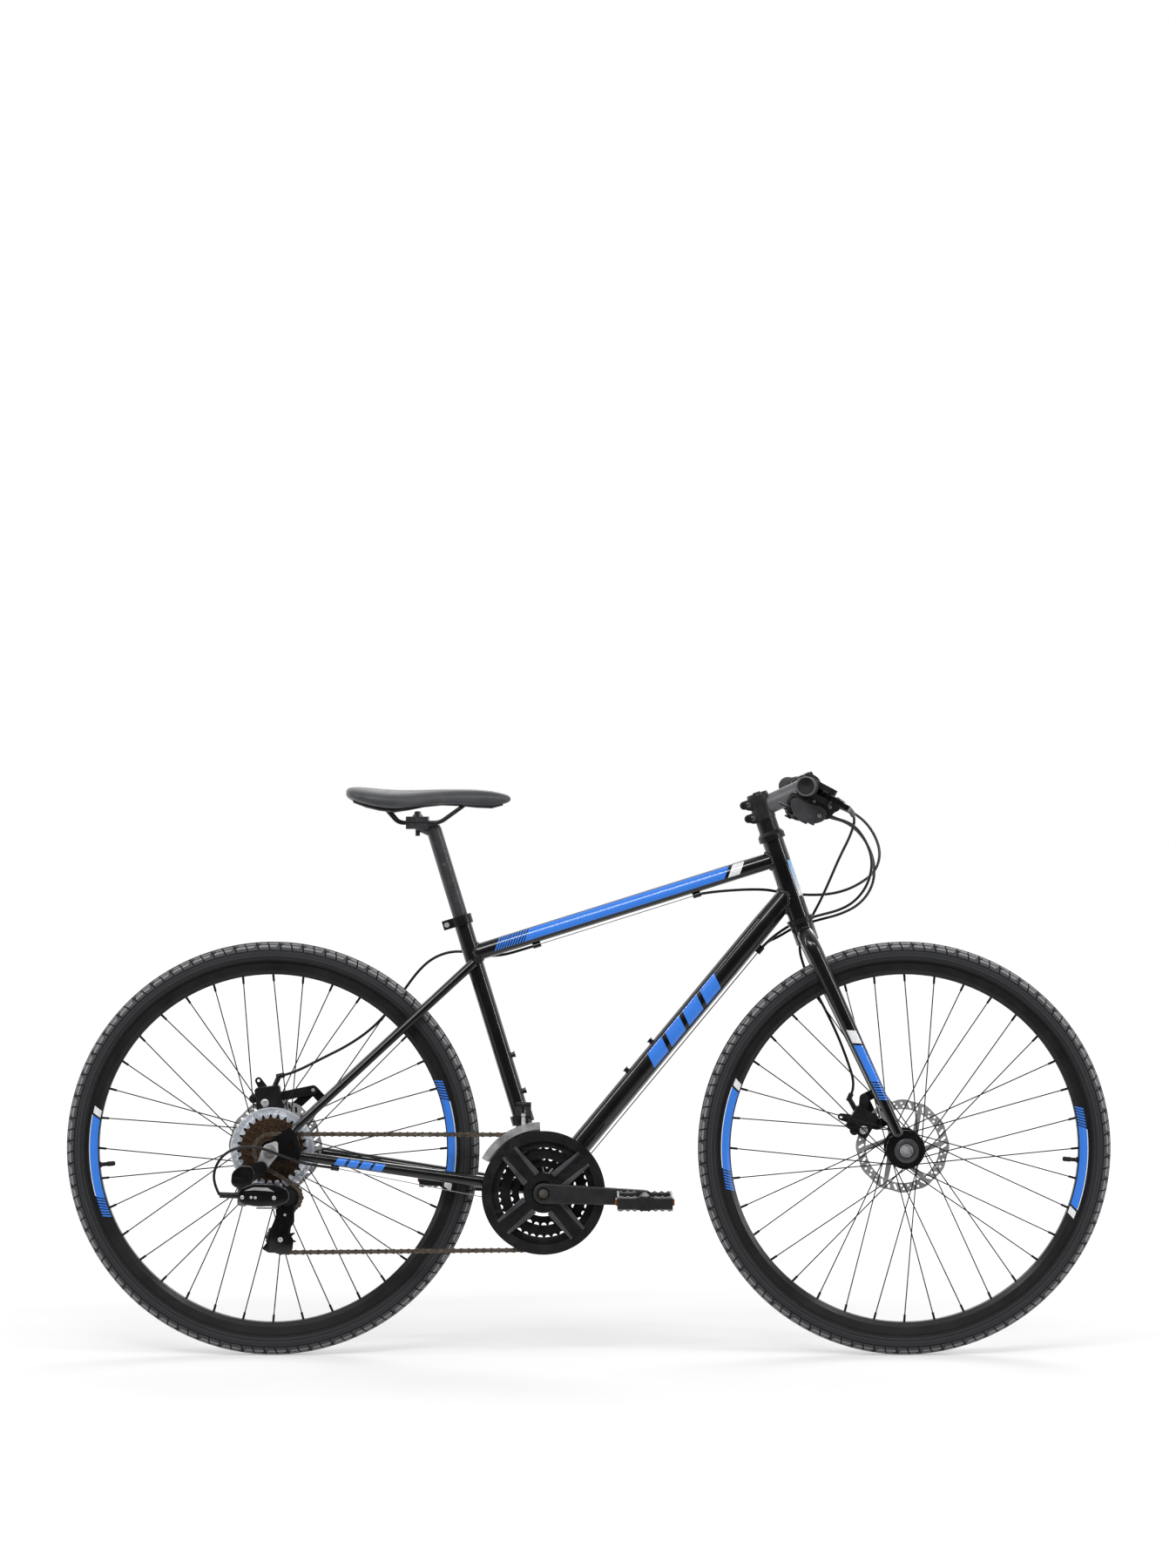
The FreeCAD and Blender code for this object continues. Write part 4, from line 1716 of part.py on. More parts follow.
def brake_barrel(side):
    """End and direction of a brake lever's barrel, which points inward and forward."""
    origin, ahead, _, outward = control_frame(side, PERCH_SPREAD)
    start = origin + ahead * (PERCH_RADIUS + BARREL_RADIUS) - outward * (PERCH_WIDTH / 2)
    way = (ahead * BARREL_FORWARD_SHARE - outward).normalize()
    return start + way * BARREL_LENGTH, way


def shift_barrel(side):
    """End and direction of a shifter pod's barrel."""
    middle, ahead, upward, outward = pod_frame(side)
    start = middle + ahead * (POD_LENGTH / 2) - outward * (POD_WIDTH / 4) + upward * POD_BARREL_RISE
    way = (ahead - outward * POD_BARREL_INWARD_SHARE).normalize()
    return start + way * POD_BARREL_LENGTH, way


def barrel_seat(end, way):
    """Bore in a barrel's end that a housing sits in."""
    return rod(end - way * BARREL_SEAT, end + way * CUT_OVERRUN, CABLE_RADIUS + FIT_GAP)


def barrel_exit(end, way):
    """First two points of a housing that leaves a barrel along the barrel's own line."""
    return [tuple(end - way * (BARREL_SEAT - FIT_GAP)), tuple(end + way * (4 * CABLE_RADIUS))]


def control_housing(side):
    """Brake-lever perch with its barrel, and the shifter pod with its band."""
    origin, ahead, upward, outward = control_frame(side, PERCH_SPREAD)
    half = PERCH_WIDTH / 2
    pivot = lever_pivot(side)
    slot_half = LEVER_THICKNESS / 2 + BODY_GAP
    block = Part.makeBox(PERCH_REACH, PERCH_WIDTH, PERCH_BLOCK * 2, Vector(0, -half, -PERCH_BLOCK))
    block = framed(block, origin, ahead, outward)
    nose = rod(pivot - upward * PERCH_BLOCK, pivot + upward * PERCH_BLOCK, half)
    slot = Part.makeBox(PERCH_REACH * 2, PERCH_WIDTH * 4, 2 * slot_half,
                        Vector(PERCH_RADIUS + BODY_GAP, -PERCH_WIDTH * 2, -slot_half))
    slot = framed(slot, origin, ahead, outward)
    perch = joined([rod(origin - outward * half, origin + outward * half, PERCH_RADIUS), block,
                    nose]).cut(slot)
    end, way = brake_barrel(side)
    barrel = rod(end - way * (BARREL_LENGTH + half / 2), end, BARREL_RADIUS)
    pin = rod(pivot - upward * PERCH_BLOCK, pivot + upward * PERCH_BLOCK, LEVER_PIVOT_RADIUS)
    bar_hole = hole(origin - outward * half, origin + outward * half, BAR_RADIUS + FIT_GAP)
    perch = joined([perch, barrel, pin]).cut([bar_hole, barrel_seat(end, way)])
    return [perch, shifter_pod(side)]


def pod_frame(side):
    """Middle of a shifter pod and its directions."""
    origin, ahead, upward, outward = control_frame(side, POD_SPREAD)
    return origin + ahead * POD_FORWARD - upward * POD_DROP, ahead, upward, outward


def shift_pivot(side):
    """Foot of the pivot that the two shift levers turn on, under the pod."""
    middle, _, upward, _ = pod_frame(side)
    return middle - upward * (POD_HEIGHT / 2)


def shifter_pod(side):
    """Shifter pod hung under the bar by its band, with the levers' pivot below it."""
    middle, ahead, upward, outward = pod_frame(side)
    origin = bar_place(side, POD_SPREAD)
    box = Part.makeBox(POD_LENGTH, POD_WIDTH, POD_HEIGHT,
                       Vector(-POD_LENGTH / 2, -POD_WIDTH / 2, -POD_HEIGHT / 2))
    box = box.makeFillet(POD_CORNER, box.Edges)
    half = outward * (POD_BAND_WIDTH / 2)
    neck = Part.makeBox(2 * POD_BAND_RADIUS, POD_BAND_WIDTH, POD_DROP,
                        Vector(-POD_BAND_RADIUS, -POD_BAND_WIDTH / 2, -POD_DROP))
    neck_turn = framed(neck, origin, ahead, outward) if side > 0 else framed(neck, origin, ahead,
                                                                             outward * -1)
    pod = framed(box, middle, ahead, outward * side)
    foot = shift_pivot(side)
    pin_length = 2 * SHIFT_THICKNESS + 3 * BODY_GAP + SHIFT_PIVOT_RADIUS
    pin = rod(foot + upward * POD_CORNER, foot - upward * pin_length, SHIFT_PIVOT_RADIUS)
    cap = rod(foot - upward * (pin_length - SHIFT_PIVOT_RADIUS / 2),
              foot - upward * (pin_length + SHIFT_PIVOT_RADIUS / 2),
              SHIFT_HUB_RADIUS - SHIFT_PIVOT_RADIUS / 2)
    end, way = shift_barrel(side)
    barrel = rod(end - way * (POD_BARREL_LENGTH + POD_CORNER), end, BARREL_RADIUS)
    body = joined([rod(origin - half, origin + half, POD_BAND_RADIUS), neck_turn, pod, pin, cap, barrel])
    return body.cut([hole(origin - half, origin + half, BAR_RADIUS + FIT_GAP), barrel_seat(end, way)])


def shift_lever(side, reach, pad_radius, angle, layer):
    """A shift lever: a flat arm on the pod's pivot, ending in a thumb or finger pad."""
    _, ahead, upward, _ = pod_frame(side)
    low = layer * (SHIFT_THICKNESS + BODY_GAP) + BODY_GAP
    turn = math.radians(angle)
    tip = Vector(math.cos(turn) * reach, 0, math.sin(turn) * reach)
    arm = capsule(Vector(), SHIFT_HUB_RADIUS, tip, pad_radius, -low - SHIFT_THICKNESS, -low)
    bored = arm.cut(hole(across(-low - SHIFT_THICKNESS), across(-low), SHIFT_PIVOT_RADIUS + RUN_GAP))
    return framed(bored, shift_pivot(side), ahead, upward)


def brake_lever(side):
    """Brake lever: a bored knuckle, a root and a long blade with a ball end."""
    _, ahead, _, outward = control_frame(side, PERCH_SPREAD)
    half = LEVER_THICKNESS / 2
    reach = LEVER_BLADE_REACH - PERCH_REACH
    knuckle = Vector()
    root = Vector(reach, 0, LEVER_ROOT_RUN)
    tip = Vector(reach, 0, LEVER_BLADE_RUN)
    solids = [capsule(knuckle, LEVER_KNUCKLE_RADIUS, root, LEVER_BLADE_RADIUS, -half, half),
              capsule(root, LEVER_BLADE_RADIUS, tip, LEVER_BLADE_RADIUS, -half, half),
              plate(disc_wire(tip, LEVER_BALL_RADIUS), -half, half)]
    cut = hole(across(-half), across(half), LEVER_PIVOT_RADIUS + RUN_GAP)
    body = joined(solids).cut(cut)
    return framed(body, lever_pivot(side), ahead, ahead.cross(outward) * -1)


# Brakes

def caliper_box(angle, inner, outer, half_width, near, far):
    """Block across a rotor, given its reach from the axle and its width along the rim."""
    low = min(near, far)
    box = Part.makeBox(outer - inner, abs(far - near), 2 * half_width, Vector(inner, low, -half_width))
    return framed(box, Vector(), direction(angle), LEFT)


def caliper(axle, angle, plane, bolts, stop, arm_end):
    """Caliper body with bracket, pivot and cable stop, and its two pads."""
    near, far = plane - CALIPER_INBOARD, plane + CALIPER_OUTBOARD
    block = caliper_box(angle, CALIPER_INNER_REACH, CALIPER_OUTER_REACH, CALIPER_HALF_WIDTH, near, far)
    way = direction(angle)
    edges = [edge for edge in block.Edges if abs(edge.tangentAt(edge.FirstParameter).dot(LEFT)) > 0.9]
    block = block.makeFillet(CALIPER_CORNER, edges)
    block.translate(axle)
    pivot = axle + way * ARM_PIVOT_REACH
    boss_end = far + CALIPER_BOSS_HEIGHT
    solids = [block, rod(pivot + across(plane + CALIPER_SLOT_HALF), pivot + across(boss_end),
                         CALIPER_BOSS_RADIUS),
              rod(pivot + across(far), pivot + across(boss_end + BODY_GAP + ARM_THICKNESS),
                  ARM_PIVOT_RADIUS)]
    plate_near, plate_far = plane + TAB_GAP - BRACKET_PLATE, plane + TAB_GAP
    for place in bolts:
        inside = axle + way * (ARM_PIVOT_REACH)
        solids.append(capsule(place, BRACKET_EAR_RADIUS, inside, BRACKET_EAR_RADIUS, plate_near, plate_far))
    stop_end = Vector(*stop)
    wire_way = toward(arm_end, stop_end)
    stop_start = stop_end - wire_way * CABLE_STOP_LENGTH
    foot = pivot + across(plate_far - BRACKET_PLATE / 2)
    solids += [rod(stop_start, stop_end, CABLE_STOP_RADIUS),
               rod(foot, stop_start + wire_way * CABLE_STOP_RADIUS,
                                                                  CABLE_STOP_RADIUS)]
    slot = caliper_box(angle, CALIPER_INNER_REACH - CUT_OVERRUN, CALIPER_SLOT_REACH,
                       CALIPER_HALF_WIDTH + BRACKET_EAR_RADIUS * 2,
                       plane - CALIPER_SLOT_HALF, plane + CALIPER_SLOT_HALF)
    slot.translate(axle)
    holes = [hole(flat_of(place) + across(plate_near), flat_of(place) + across(plate_far),
                  TAB_BOLT_RADIUS + FIT_GAP)
             for place in bolts]
    wire_hole = rod(stop_start - wire_way * CUT_OVERRUN, stop_end + wire_way * CUT_OVERRUN,
                    CABLE_RADIUS + FIT_GAP)
    made = [joined(solids).cut([slot] + holes + [wire_hole])]
    gap = ROTOR_THICKNESS / 2 + PAD_GAP
    for side in SIDES:
        pad = caliper_box(angle, PAD_INNER_REACH, PAD_OUTER_REACH, PAD_HALF_WIDTH, plane + side * gap,
                          plane + side * CALIPER_SLOT_HALF)
        pad.translate(axle)
        made.append(pad)
    return made


def brake_arm(axle, angle, plane, arm_angle):
    """Arm that the brake cable pulls, turning on the caliper's pivot."""
    pivot = axle + direction(angle) * ARM_PIVOT_REACH
    near = plane + CALIPER_OUTBOARD + CALIPER_BOSS_HEIGHT + BODY_GAP
    far = near + ARM_THICKNESS
    tip = pivot + direction(arm_angle) * ARM_LENGTH
    arm = capsule(pivot, ARM_HUB_RADIUS, tip, ARM_END_RADIUS, near, far)
    return arm.cut([hole(pivot + across(near), pivot + across(far), ARM_PIVOT_RADIUS + RUN_GAP),
                    hole(tip + across(near), tip + across(far), BOLT_RADIUS)])


def arm_tip(axle, angle, plane, arm_angle):
    """Where the cable takes hold of a brake arm."""
    middle = plane + CALIPER_OUTBOARD + CALIPER_BOSS_HEIGHT + BODY_GAP + ARM_THICKNESS / 2
    return axle + direction(angle) * ARM_PIVOT_REACH + direction(arm_angle) * ARM_LENGTH + across(middle)


def tab_fasteners(bolts, plane):
    """Bolts that hold a caliper's bracket to its tab, with heads on the outer side."""
    start = plane + TAB_GAP + TAB_THICKNESS
    length = TAB_THICKNESS + BRACKET_PLATE
    return [bolt(flat_of(place) + across(start), LEFT * -1, TAB_BOLT_HEAD, BOLT_HEAD_HEIGHT,
                 TAB_BOLT_RADIUS, length)
            for place in bolts]


# Rear derailleur

def derailleur_hanger():
    """Claw plate on the axle, outside the right dropout, with the eye for the derailleur."""
    near, far = HANGER_FACE - HANGER_THICKNESS, HANGER_FACE
    upper = REAR_AXLE + Vector(HANGER_BOLT_FORWARD, 0, HANGER_BOLT_RISE)
    solids = [capsule(REAR_AXLE, HANGER_AXLE_RADIUS, HANGER_EYE, HANGER_EYE_RADIUS, near, far),
              capsule(REAR_AXLE, HANGER_AXLE_RADIUS, upper, HANGER_EYE_RADIUS / 2, near, far)]
    holes = [hole(REAR_AXLE + across(near), REAR_AXLE + across(far), AXLE_RADIUS + FIT_GAP),
             hole(HANGER_EYE + across(near), HANGER_EYE + across(far), KNUCKLE_BOLT_RADIUS + FIT_GAP)]
    return joined(solids).cut(holes)


def knuckle_bolt():
    """Bolt that the derailleur hangs and turns on."""
    head = HANGER_FACE - HANGER_THICKNESS - KNUCKLE_WIDTH - 2 * BODY_GAP
    return bolt(HANGER_EYE + across(head), LEFT, KNUCKLE_BOLT_HEAD, BOLT_HEAD_HEIGHT, KNUCKLE_BOLT_RADIUS,
                HANGER_FACE - head)


def link_axis():
    """Direction of the link pivots: nearly upright, leaning so that the cage drops as it moves in."""
    lean = math.radians(LINK_SLANT)
    return Vector(0, math.sin(lean), math.cos(lean))


def link_pivots():
    """Rear pivots of the outer and inner links, and the step from them to the front pivots."""
    outer = HANGER_EYE + Vector(-LINK_PIVOT_BACK, LINK_PIVOT_FACE, -LINK_PIVOT_DROP)
    step = Vector(LINK_RUN, LINK_INWARD, -LINK_FALL)
    step = step - link_axis() * step.dot(link_axis())
    spread = across(LINK_SPREAD) - link_axis() * across(LINK_SPREAD).dot(link_axis())
    return (outer, outer + spread), step


def upright_capsule(first, first_radius, second, second_radius, low, high):
    """Bar with round ends about the link axis, between two heights along it from the first point."""
    axis = link_axis()
    along = second - first
    run = along.Length
    along.normalize()
    bar = capsule(Vector(), first_radius, Vector(run, 0, 0), second_radius, low, high)
    return framed(bar, first, along, axis)


def derailleur_link(number):
    """One of the two parallel links, bored for its pins."""
    pivots, step = link_pivots()
    start = pivots[number]
    half = LINK_HEIGHT / 2
    link = upright_capsule(start, LINK_THICK_RADIUS, start + step, LINK_THICK_RADIUS, -half, half)
    axis = link_axis() * half
    bore = LINK_PIN_RADIUS + RUN_GAP
    return link.cut([hole(place - axis, place + axis, bore) for place in (start, start + step)])


def clevis(front):
    """Two plates with pins that hold one end of both links, and the web behind them."""
    pivots, step = link_pivots()
    ends = [place + step * front for place in pivots]
    axis = link_axis()
    low = LINK_HEIGHT / 2 + BODY_GAP
    high = low + CLEVIS_PLATE
    away = toward(Vector(), step) * (1 if front else -1)
    solids = []
    for way in SIDES:
        solids.append(upright_capsule(ends[0], CLEVIS_RADIUS, ends[1], CLEVIS_RADIUS, way * low, way * high))
        for place in ends:
            solids.append(upright_capsule(place, CLEVIS_RADIUS, place + away * CLEVIS_BACK, CLEVIS_PLATE / 2,
                                          way * low, way * high))
    for place in ends:
        solids.append(rod(place - axis * high, place + axis * high, LINK_PIN_RADIUS))
    web = [place + away * CLEVIS_BACK for place in ends]
    rise = 0 if front else 2 * KNUCKLE_RADIUS
    solids.append(upright_capsule(web[0], CLEVIS_PLATE / 2, web[1], CLEVIS_PLATE / 2, -high, high + rise))
    return solids, web


def derailleur_knuckle():
    """Upper knuckle: turns on the hanger bolt and carries the rear ends of the links."""
    far = HANGER_FACE - HANGER_THICKNESS - BODY_GAP
    near = far - KNUCKLE_WIDTH
    lobe = HANGER_EYE + Vector(-KNUCKLE_LOBE_BACK, 0, -KNUCKLE_LOBE_DROP)
    solids, web = clevis(0)
    solids.append(capsule(HANGER_EYE, KNUCKLE_RADIUS, lobe, KNUCKLE_LOBE_RADIUS, near, far))
    before, barrel = Vector(*DERAILLEUR_ROUTE[-2]), Vector(*DERAILLEUR_ROUTE[-1])
    solids.append(rod(web[0], barrel, BARREL_RADIUS))
    seat = rod(barrel + toward(before, barrel) * FIT_GAP, before, CABLE_RADIUS + BODY_GAP)
    pivot = hole(HANGER_EYE + across(near), HANGER_EYE + across(far), KNUCKLE_BOLT_RADIUS + RUN_GAP)
    return joined(solids).cut([seat, pivot])


def cage_planes():
    """Outer faces of the cage's two plates."""
    reach = CAGE_HALF_GAP + CAGE_PLATE
    return CHAIN_PLANE - reach, CHAIN_PLANE + reach


def cage_knuckle():
    """Lower knuckle: carries the front ends of the links and the cage's pivot."""
    far = cage_planes()[0] - BODY_GAP
    near = far - CAGE_KNUCKLE_WIDTH
    solids, web = clevis(1)
    solids.append(rod(GUIDE_PULLEY + across(near), GUIDE_PULLEY + across(far), CAGE_KNUCKLE_RADIUS))
    for place in web:
        solids.append(rod(place, GUIDE_PULLEY + across((near + far) / 2), CAGE_ARM_RADIUS))
    body = joined(solids)
    bore = rod(GUIDE_PULLEY + across(near + CLEVIS_PLATE), GUIDE_PULLEY + across(far + CUT_OVERRUN),
               CAGE_PIVOT_RADIUS + RUN_GAP)
    return body.cut(bore)


def derailleur_cage():
    """Two cage plates on their pivot, with the pulley bolts between them."""
    outer, inner = cage_planes()
    way = direction(CAGE_ANGLE)
    toe = TENSION_PULLEY + way * CAGE_TOE_DROP - Vector(CAGE_TOE_BACK, 0, 0)
    solids = []
    for near, far in ((outer, outer + CAGE_PLATE), (inner - CAGE_PLATE, inner)):
        solids.append(capsule(GUIDE_PULLEY, CAGE_TOP_RADIUS, TENSION_PULLEY, CAGE_END_RADIUS, near, far))
        solids.append(capsule(TENSION_PULLEY, CAGE_END_RADIUS, toe, CLEVIS_RADIUS, near, far))
    pin = PULLEY_BORE - RUN_GAP
    for place in (GUIDE_PULLEY, TENSION_PULLEY):
        solids.append(rod(place + across(outer), place + across(inner), pin))
    pivot_start = outer - CAGE_KNUCKLE_WIDTH + CLEVIS_PLATE
    solids.append(rod(GUIDE_PULLEY + across(pivot_start), GUIDE_PULLEY + across(outer + CAGE_PLATE),
                      CAGE_PIVOT_RADIUS))
    return joined(solids)


def pulley(centre, wheel):
    """Derailleur pulley: a toothed plate on a hub."""
    toothed = sprocket(PULLEY_TEETH, centre, CHAIN_PLANE, COG_THICKNESS, PULLEY_BORE, seat_phase(wheel))
    middle = centre + across(CHAIN_PLANE)
    half = across(PULLEY_HUB_HALF)
    return joined([toothed, sleeve(middle - half, middle + half, PULLEY_HUB_RADIUS, PULLEY_BORE)])


# Front derailleur

def fd_pivot():
    """Middle of the front derailleur's fixed pivot."""
    return BRACKET + Vector(-FD_PIVOT_BACK, FD_PIVOT_FACE, FD_PIVOT_RISE)


def fd_cage_pivot():
    """Middle of the pivot between the links and the cage."""
    return fd_pivot() + Vector(0, -FD_LINK_OUT, -FD_LINK_DROP)


def front_derailleur_clamp():
    """Band round the seat tube, with the arm and pin that the links hang on."""
    middle = BRACKET + SEAT_UP * FD_CLAMP_HEIGHT
    half = SEAT_UP * (FD_BAND_WIDTH / 2)
    pivot = fd_pivot()
    pin_half = Vector(FD_PIN_LENGTH / 2, 0, 0)
    solids = [rod(middle - half, middle + half, FD_BAND_RADIUS),
              rod(middle + across(FD_PIVOT_FACE * 0.5), pivot, FD_LINK_WIDTH * 0.44),
              rod(middle, middle + across(FD_PIVOT_FACE * 0.6), FD_LINK_RADIUS * 1.5),
              rod(pivot - Vector(FD_LINK_WIDTH / 2, 0, 0), pivot + Vector(FD_LINK_WIDTH / 2, 0, 0),
                  FD_LINK_RADIUS * 1.3),
              rod(pivot - pin_half, pivot + pin_half, FD_PIN_RADIUS)]
    return joined(solids).cut(hole(middle - half, middle + half, SEAT_TUBE_RADIUS + FIT_GAP))


def fd_links():
    """The pair of links, one each side of the arm, that swing the cage."""
    first, second = fd_pivot(), fd_cage_pivot()
    made = []
    inner = FD_LINK_WIDTH / 2 + BODY_GAP
    for way in SIDES:
        near, far = Vector(way * inner, 0, 0), Vector(way * (FD_PIN_LENGTH / 2), 0, 0)
        ends = [rod(place + near, place + far, FD_LINK_RADIUS) for place in (first, second)]
        along = second - first
        width = (far - near).Length
        web = Part.makeBox(along.Length, width, FD_LINK_RADIUS, Vector(0, 0, -FD_LINK_RADIUS / 2))
        start = first + (near if way > 0 else far)
        unit = toward(first, second)
        web = framed(web, start, unit, Vector(1, 0, 0))
        body = joined(ends + [web])
        bore = FD_PIN_RADIUS + RUN_GAP
        made.append(body.cut([hole(place + near, place + far, bore) for place in (first, second)]))
    return made


def arc_band(low, high, start, end, near, far):
    """Curved strip about the bracket between two radii and two angles."""
    middle = (start + end) / 2
    a, b, c = [BRACKET + direction(turn) * high for turn in (start, middle, end)]
    d, e, f = [BRACKET + direction(turn) * low for turn in (end, middle, start)]
    wire = Part.Wire([Part.Arc(a, b, c).toShape(), Part.LineSegment(c, d).toShape(),
                      Part.Arc(d, e, f).toShape(), Part.LineSegment(f, a).toShape()])
    return plate(wire, near, far)


def fd_cage():
    """Cage round the chain: inner and outer plates, a roof, a tail and the lug for the links."""
    pivot = fd_cage_pivot()
    inner_far = FD_INNER_FACE + FD_PLATE
    outer_near = FD_OUTER_FACE - FD_PLATE
    tail = FD_CAGE_END - math.degrees(FD_BRIDGE * 2 / FD_CAGE_TOP)
    roof_end = FD_CAGE_START + (tail - FD_CAGE_START) * FD_ROOF_SHARE
    solids = [arc_band(FD_INNER_LOW, FD_CAGE_TOP, FD_CAGE_START, FD_CAGE_END, FD_INNER_FACE, inner_far),
              arc_band(FD_OUTER_LOW, FD_CAGE_TOP, FD_CAGE_START, FD_CAGE_END, outer_near, FD_OUTER_FACE),
              arc_band(FD_CAGE_TOP - FD_BRIDGE, FD_CAGE_TOP, FD_CAGE_START, roof_end,
                       outer_near, inner_far),
              arc_band(FD_OUTER_LOW, FD_CAGE_TOP, tail, FD_CAGE_END, outer_near, inner_far)]
    pin_half = Vector(FD_PIN_LENGTH / 2, 0, 0)
    lug = Vector(FD_LINK_WIDTH / 2, 0, 0)
    roof = Vector(pivot.x, inner_far - FD_PLATE / 2,
                  BRACKET.z + math.sqrt(FD_CAGE_TOP ** 2 - FD_PIVOT_BACK ** 2))
    solids += [rod(pivot - pin_half, pivot + pin_half, FD_PIN_RADIUS),
               rod(pivot - lug, pivot + lug, FD_LINK_RADIUS),
               rod(pivot, roof - UP * FD_LINK_RADIUS, FD_LINK_WIDTH / 2)]
    return joined(solids)


# Seat

def seatpost():
    """Seatpost with its set-back head, the clamp's two plates and its bolt."""
    low = SEAT_TOP - SEAT_UP * SEATPOST_INSERT
    under = RAIL_CENTRE - UP * (CLAMP_PLATE / 2)
    solids = [rod(low, POST_TOP, SEATPOST_RADIUS), Part.makeSphere(SEATPOST_RADIUS, POST_TOP),
              cone(POST_TOP, under, SEATPOST_RADIUS, POST_HEAD_RADIUS)]
    lower = Part.makeBox(CLAMP_LENGTH, CLAMP_WIDTH, CLAMP_PLATE + RAIL_RADIUS,
                         RAIL_CENTRE - Vector(CLAMP_LENGTH / 2, CLAMP_WIDTH / 2, CLAMP_PLATE + RAIL_RADIUS))
    upper = Part.makeBox(CLAMP_LENGTH, CLAMP_WIDTH, CLAMP_PLATE + RAIL_RADIUS - STEM_SPLIT / 2,
                         RAIL_CENTRE - Vector(CLAMP_LENGTH / 2, CLAMP_WIDTH / 2, -STEM_SPLIT / 2))
    grooves = [rod(RAIL_CENTRE + Vector(-CLAMP_LENGTH, side * RAIL_SPREAD, 0),
                   RAIL_CENTRE + Vector(CLAMP_LENGTH, side * RAIL_SPREAD, 0),
                   RAIL_RADIUS + FIT_GAP) for side in SIDES]
    head_low = RAIL_CENTRE - UP * (CLAMP_PLATE + RAIL_RADIUS + CLAMP_BOLT_REACH)
    top = RAIL_CENTRE + UP * (CLAMP_PLATE + RAIL_RADIUS)
    bolt_hole = hole(head_low, top, CLAMP_BOLT_RADIUS + FIT_GAP)
    hollow = rod(low - SEAT_UP * CUT_OVERRUN, POST_TOP - SEAT_UP * SEATPOST_RADIUS,
                 SEATPOST_RADIUS - SEATPOST_WALL)
    post = joined(solids + [lower]).cut(grooves + [bolt_hole, hollow])
    post_bolt = bolt(top, UP * -1, CLAMP_BOLT_HEAD, BOLT_HEAD_HEIGHT / 2, CLAMP_BOLT_RADIUS,
                     (top - head_low).Length)
    return [post, upper.cut(grooves + [bolt_hole]), post_bolt]


def saddle_place(share):
    """X of a place along the saddle."""
    return SADDLE_REAR + SADDLE_LENGTH * share


def saddle_section(row, inset, lower_only):
    """One cross-section of the saddle: a crowned top on drawn-in sides, or the base under it."""
    place, width, top, bottom, edge = row
    x = saddle_place(place)
    half = SADDLE_HALF_WIDTH * width - inset
    high, low = SADDLE_LOW + SADDLE_HEIGHT * top, SADDLE_LOW + SADDLE_HEIGHT * bottom
    brim = SADDLE_LOW + SADDLE_HEIGHT * edge
    floor = low + (brim - low) * SADDLE_FLOOR_SHARE

    def at(y, z):
        return Vector(x, y, z)

    shoulder = high - (high - brim) * SHOULDER_DROP_SHARE
    if lower_only:
        high = floor - COVER_LIP
        brim = low + (floor - low) * BASE_BRIM_SHARE
        floor = low - BASE_THICKNESS * BASE_SINK_SHARE
        half = half * BASE_WIDTH_SHARE
        shoulder = (high * 2 + brim) / 3
    arch = half * SHOULDER_WIDTH_SHARE
    side_y, side_z = half * SIDE_BULGE_SHARES[0], brim + (shoulder - brim) * SIDE_BULGE_SHARES[1]
    top_y, top_z = arch * CROWN_BULGE_SHARES[0], shoulder + (high - shoulder) * CROWN_BULGE_SHARES[1]
    foot = half * UNDER_WIDTH_SHARE
    crown = at(0, high)
    under = [at(half, brim), at(foot, floor), at(0, floor + (brim - floor) * UNDER_ARCH_SHARE),
             at(-foot, floor), at(-half, brim)]
    edges = [Part.Arc(at(-half, brim), at(-side_y, side_z), at(-arch, shoulder)).toShape(),
             Part.Arc(at(-arch, shoulder), at(-top_y, top_z), crown).toShape(),
             Part.Arc(crown, at(top_y, top_z), at(arch, shoulder)).toShape(),
             Part.Arc(at(arch, shoulder), at(side_y, side_z), at(half, brim)).toShape()]
    edges += [Part.LineSegment(start, end).toShape() for start, end in zip(under, under[1:])]
    return Part.Wire(edges)


def saddle_cover():
    """Padded cover: a loft through the saddle's stations."""
    return Part.makeLoft([saddle_section(row, 0, False) for row in SADDLE_SHARES], True, False)


def saddle_base():
    """Moulded base under the cover, with the sockets that hold the rails, and the two rails."""
    rows = SADDLE_SHARES[1:-1]
    body = Part.makeLoft([saddle_section(row, COVER_LIP, True) for row in rows], True, False)
    rails = [bent_bar(rail_points(side), RAIL_RADIUS) for side in SIDES]
    sockets = []
    bores = []
    for side in SIDES:
        points = rail_points(side)
        for end, before in ((points[0], points[1]), (points[-1], points[-2])):
            way = toward(before, end)
            sockets.append(rod(end - way * RAIL_SOCKET_RADIUS, end + way * RAIL_SOCKET_RADIUS,
                               RAIL_SOCKET_RADIUS))
            bores.append(rod(end - way * (RAIL_SOCKET_RADIUS + CUT_OVERRUN), end + way * FIT_GAP,
                             RAIL_RADIUS + FIT_GAP))
    return [joined([body] + sockets).cut(bores + [saddle_cover()])] + rails


def rail_points(side):
    """Route of one saddle rail, from the back of the base to its nose."""
    level = RAIL_CENTRE.z
    return [Vector(saddle_place(RAIL_REAR_SHARE), side * RAIL_REAR_SPREAD, level + RAIL_REAR_RISE),
            Vector(saddle_place(RAIL_FLAT_SHARES[0]), side * RAIL_SPREAD, level),
            Vector(saddle_place(RAIL_FLAT_SHARES[1]), side * RAIL_SPREAD, level),
            Vector(saddle_place(RAIL_FRONT_SHARE), side * RAIL_FRONT_SPREAD, level + RAIL_FRONT_RISE)]


# Cables

def stop_entry(stop, way):
    """The last two points of a housing that ends in a stop, coming along the stop's own line."""
    return stop + way * (GUIDE_LENGTH / 2 + 4 * CABLE_RADIUS), stop


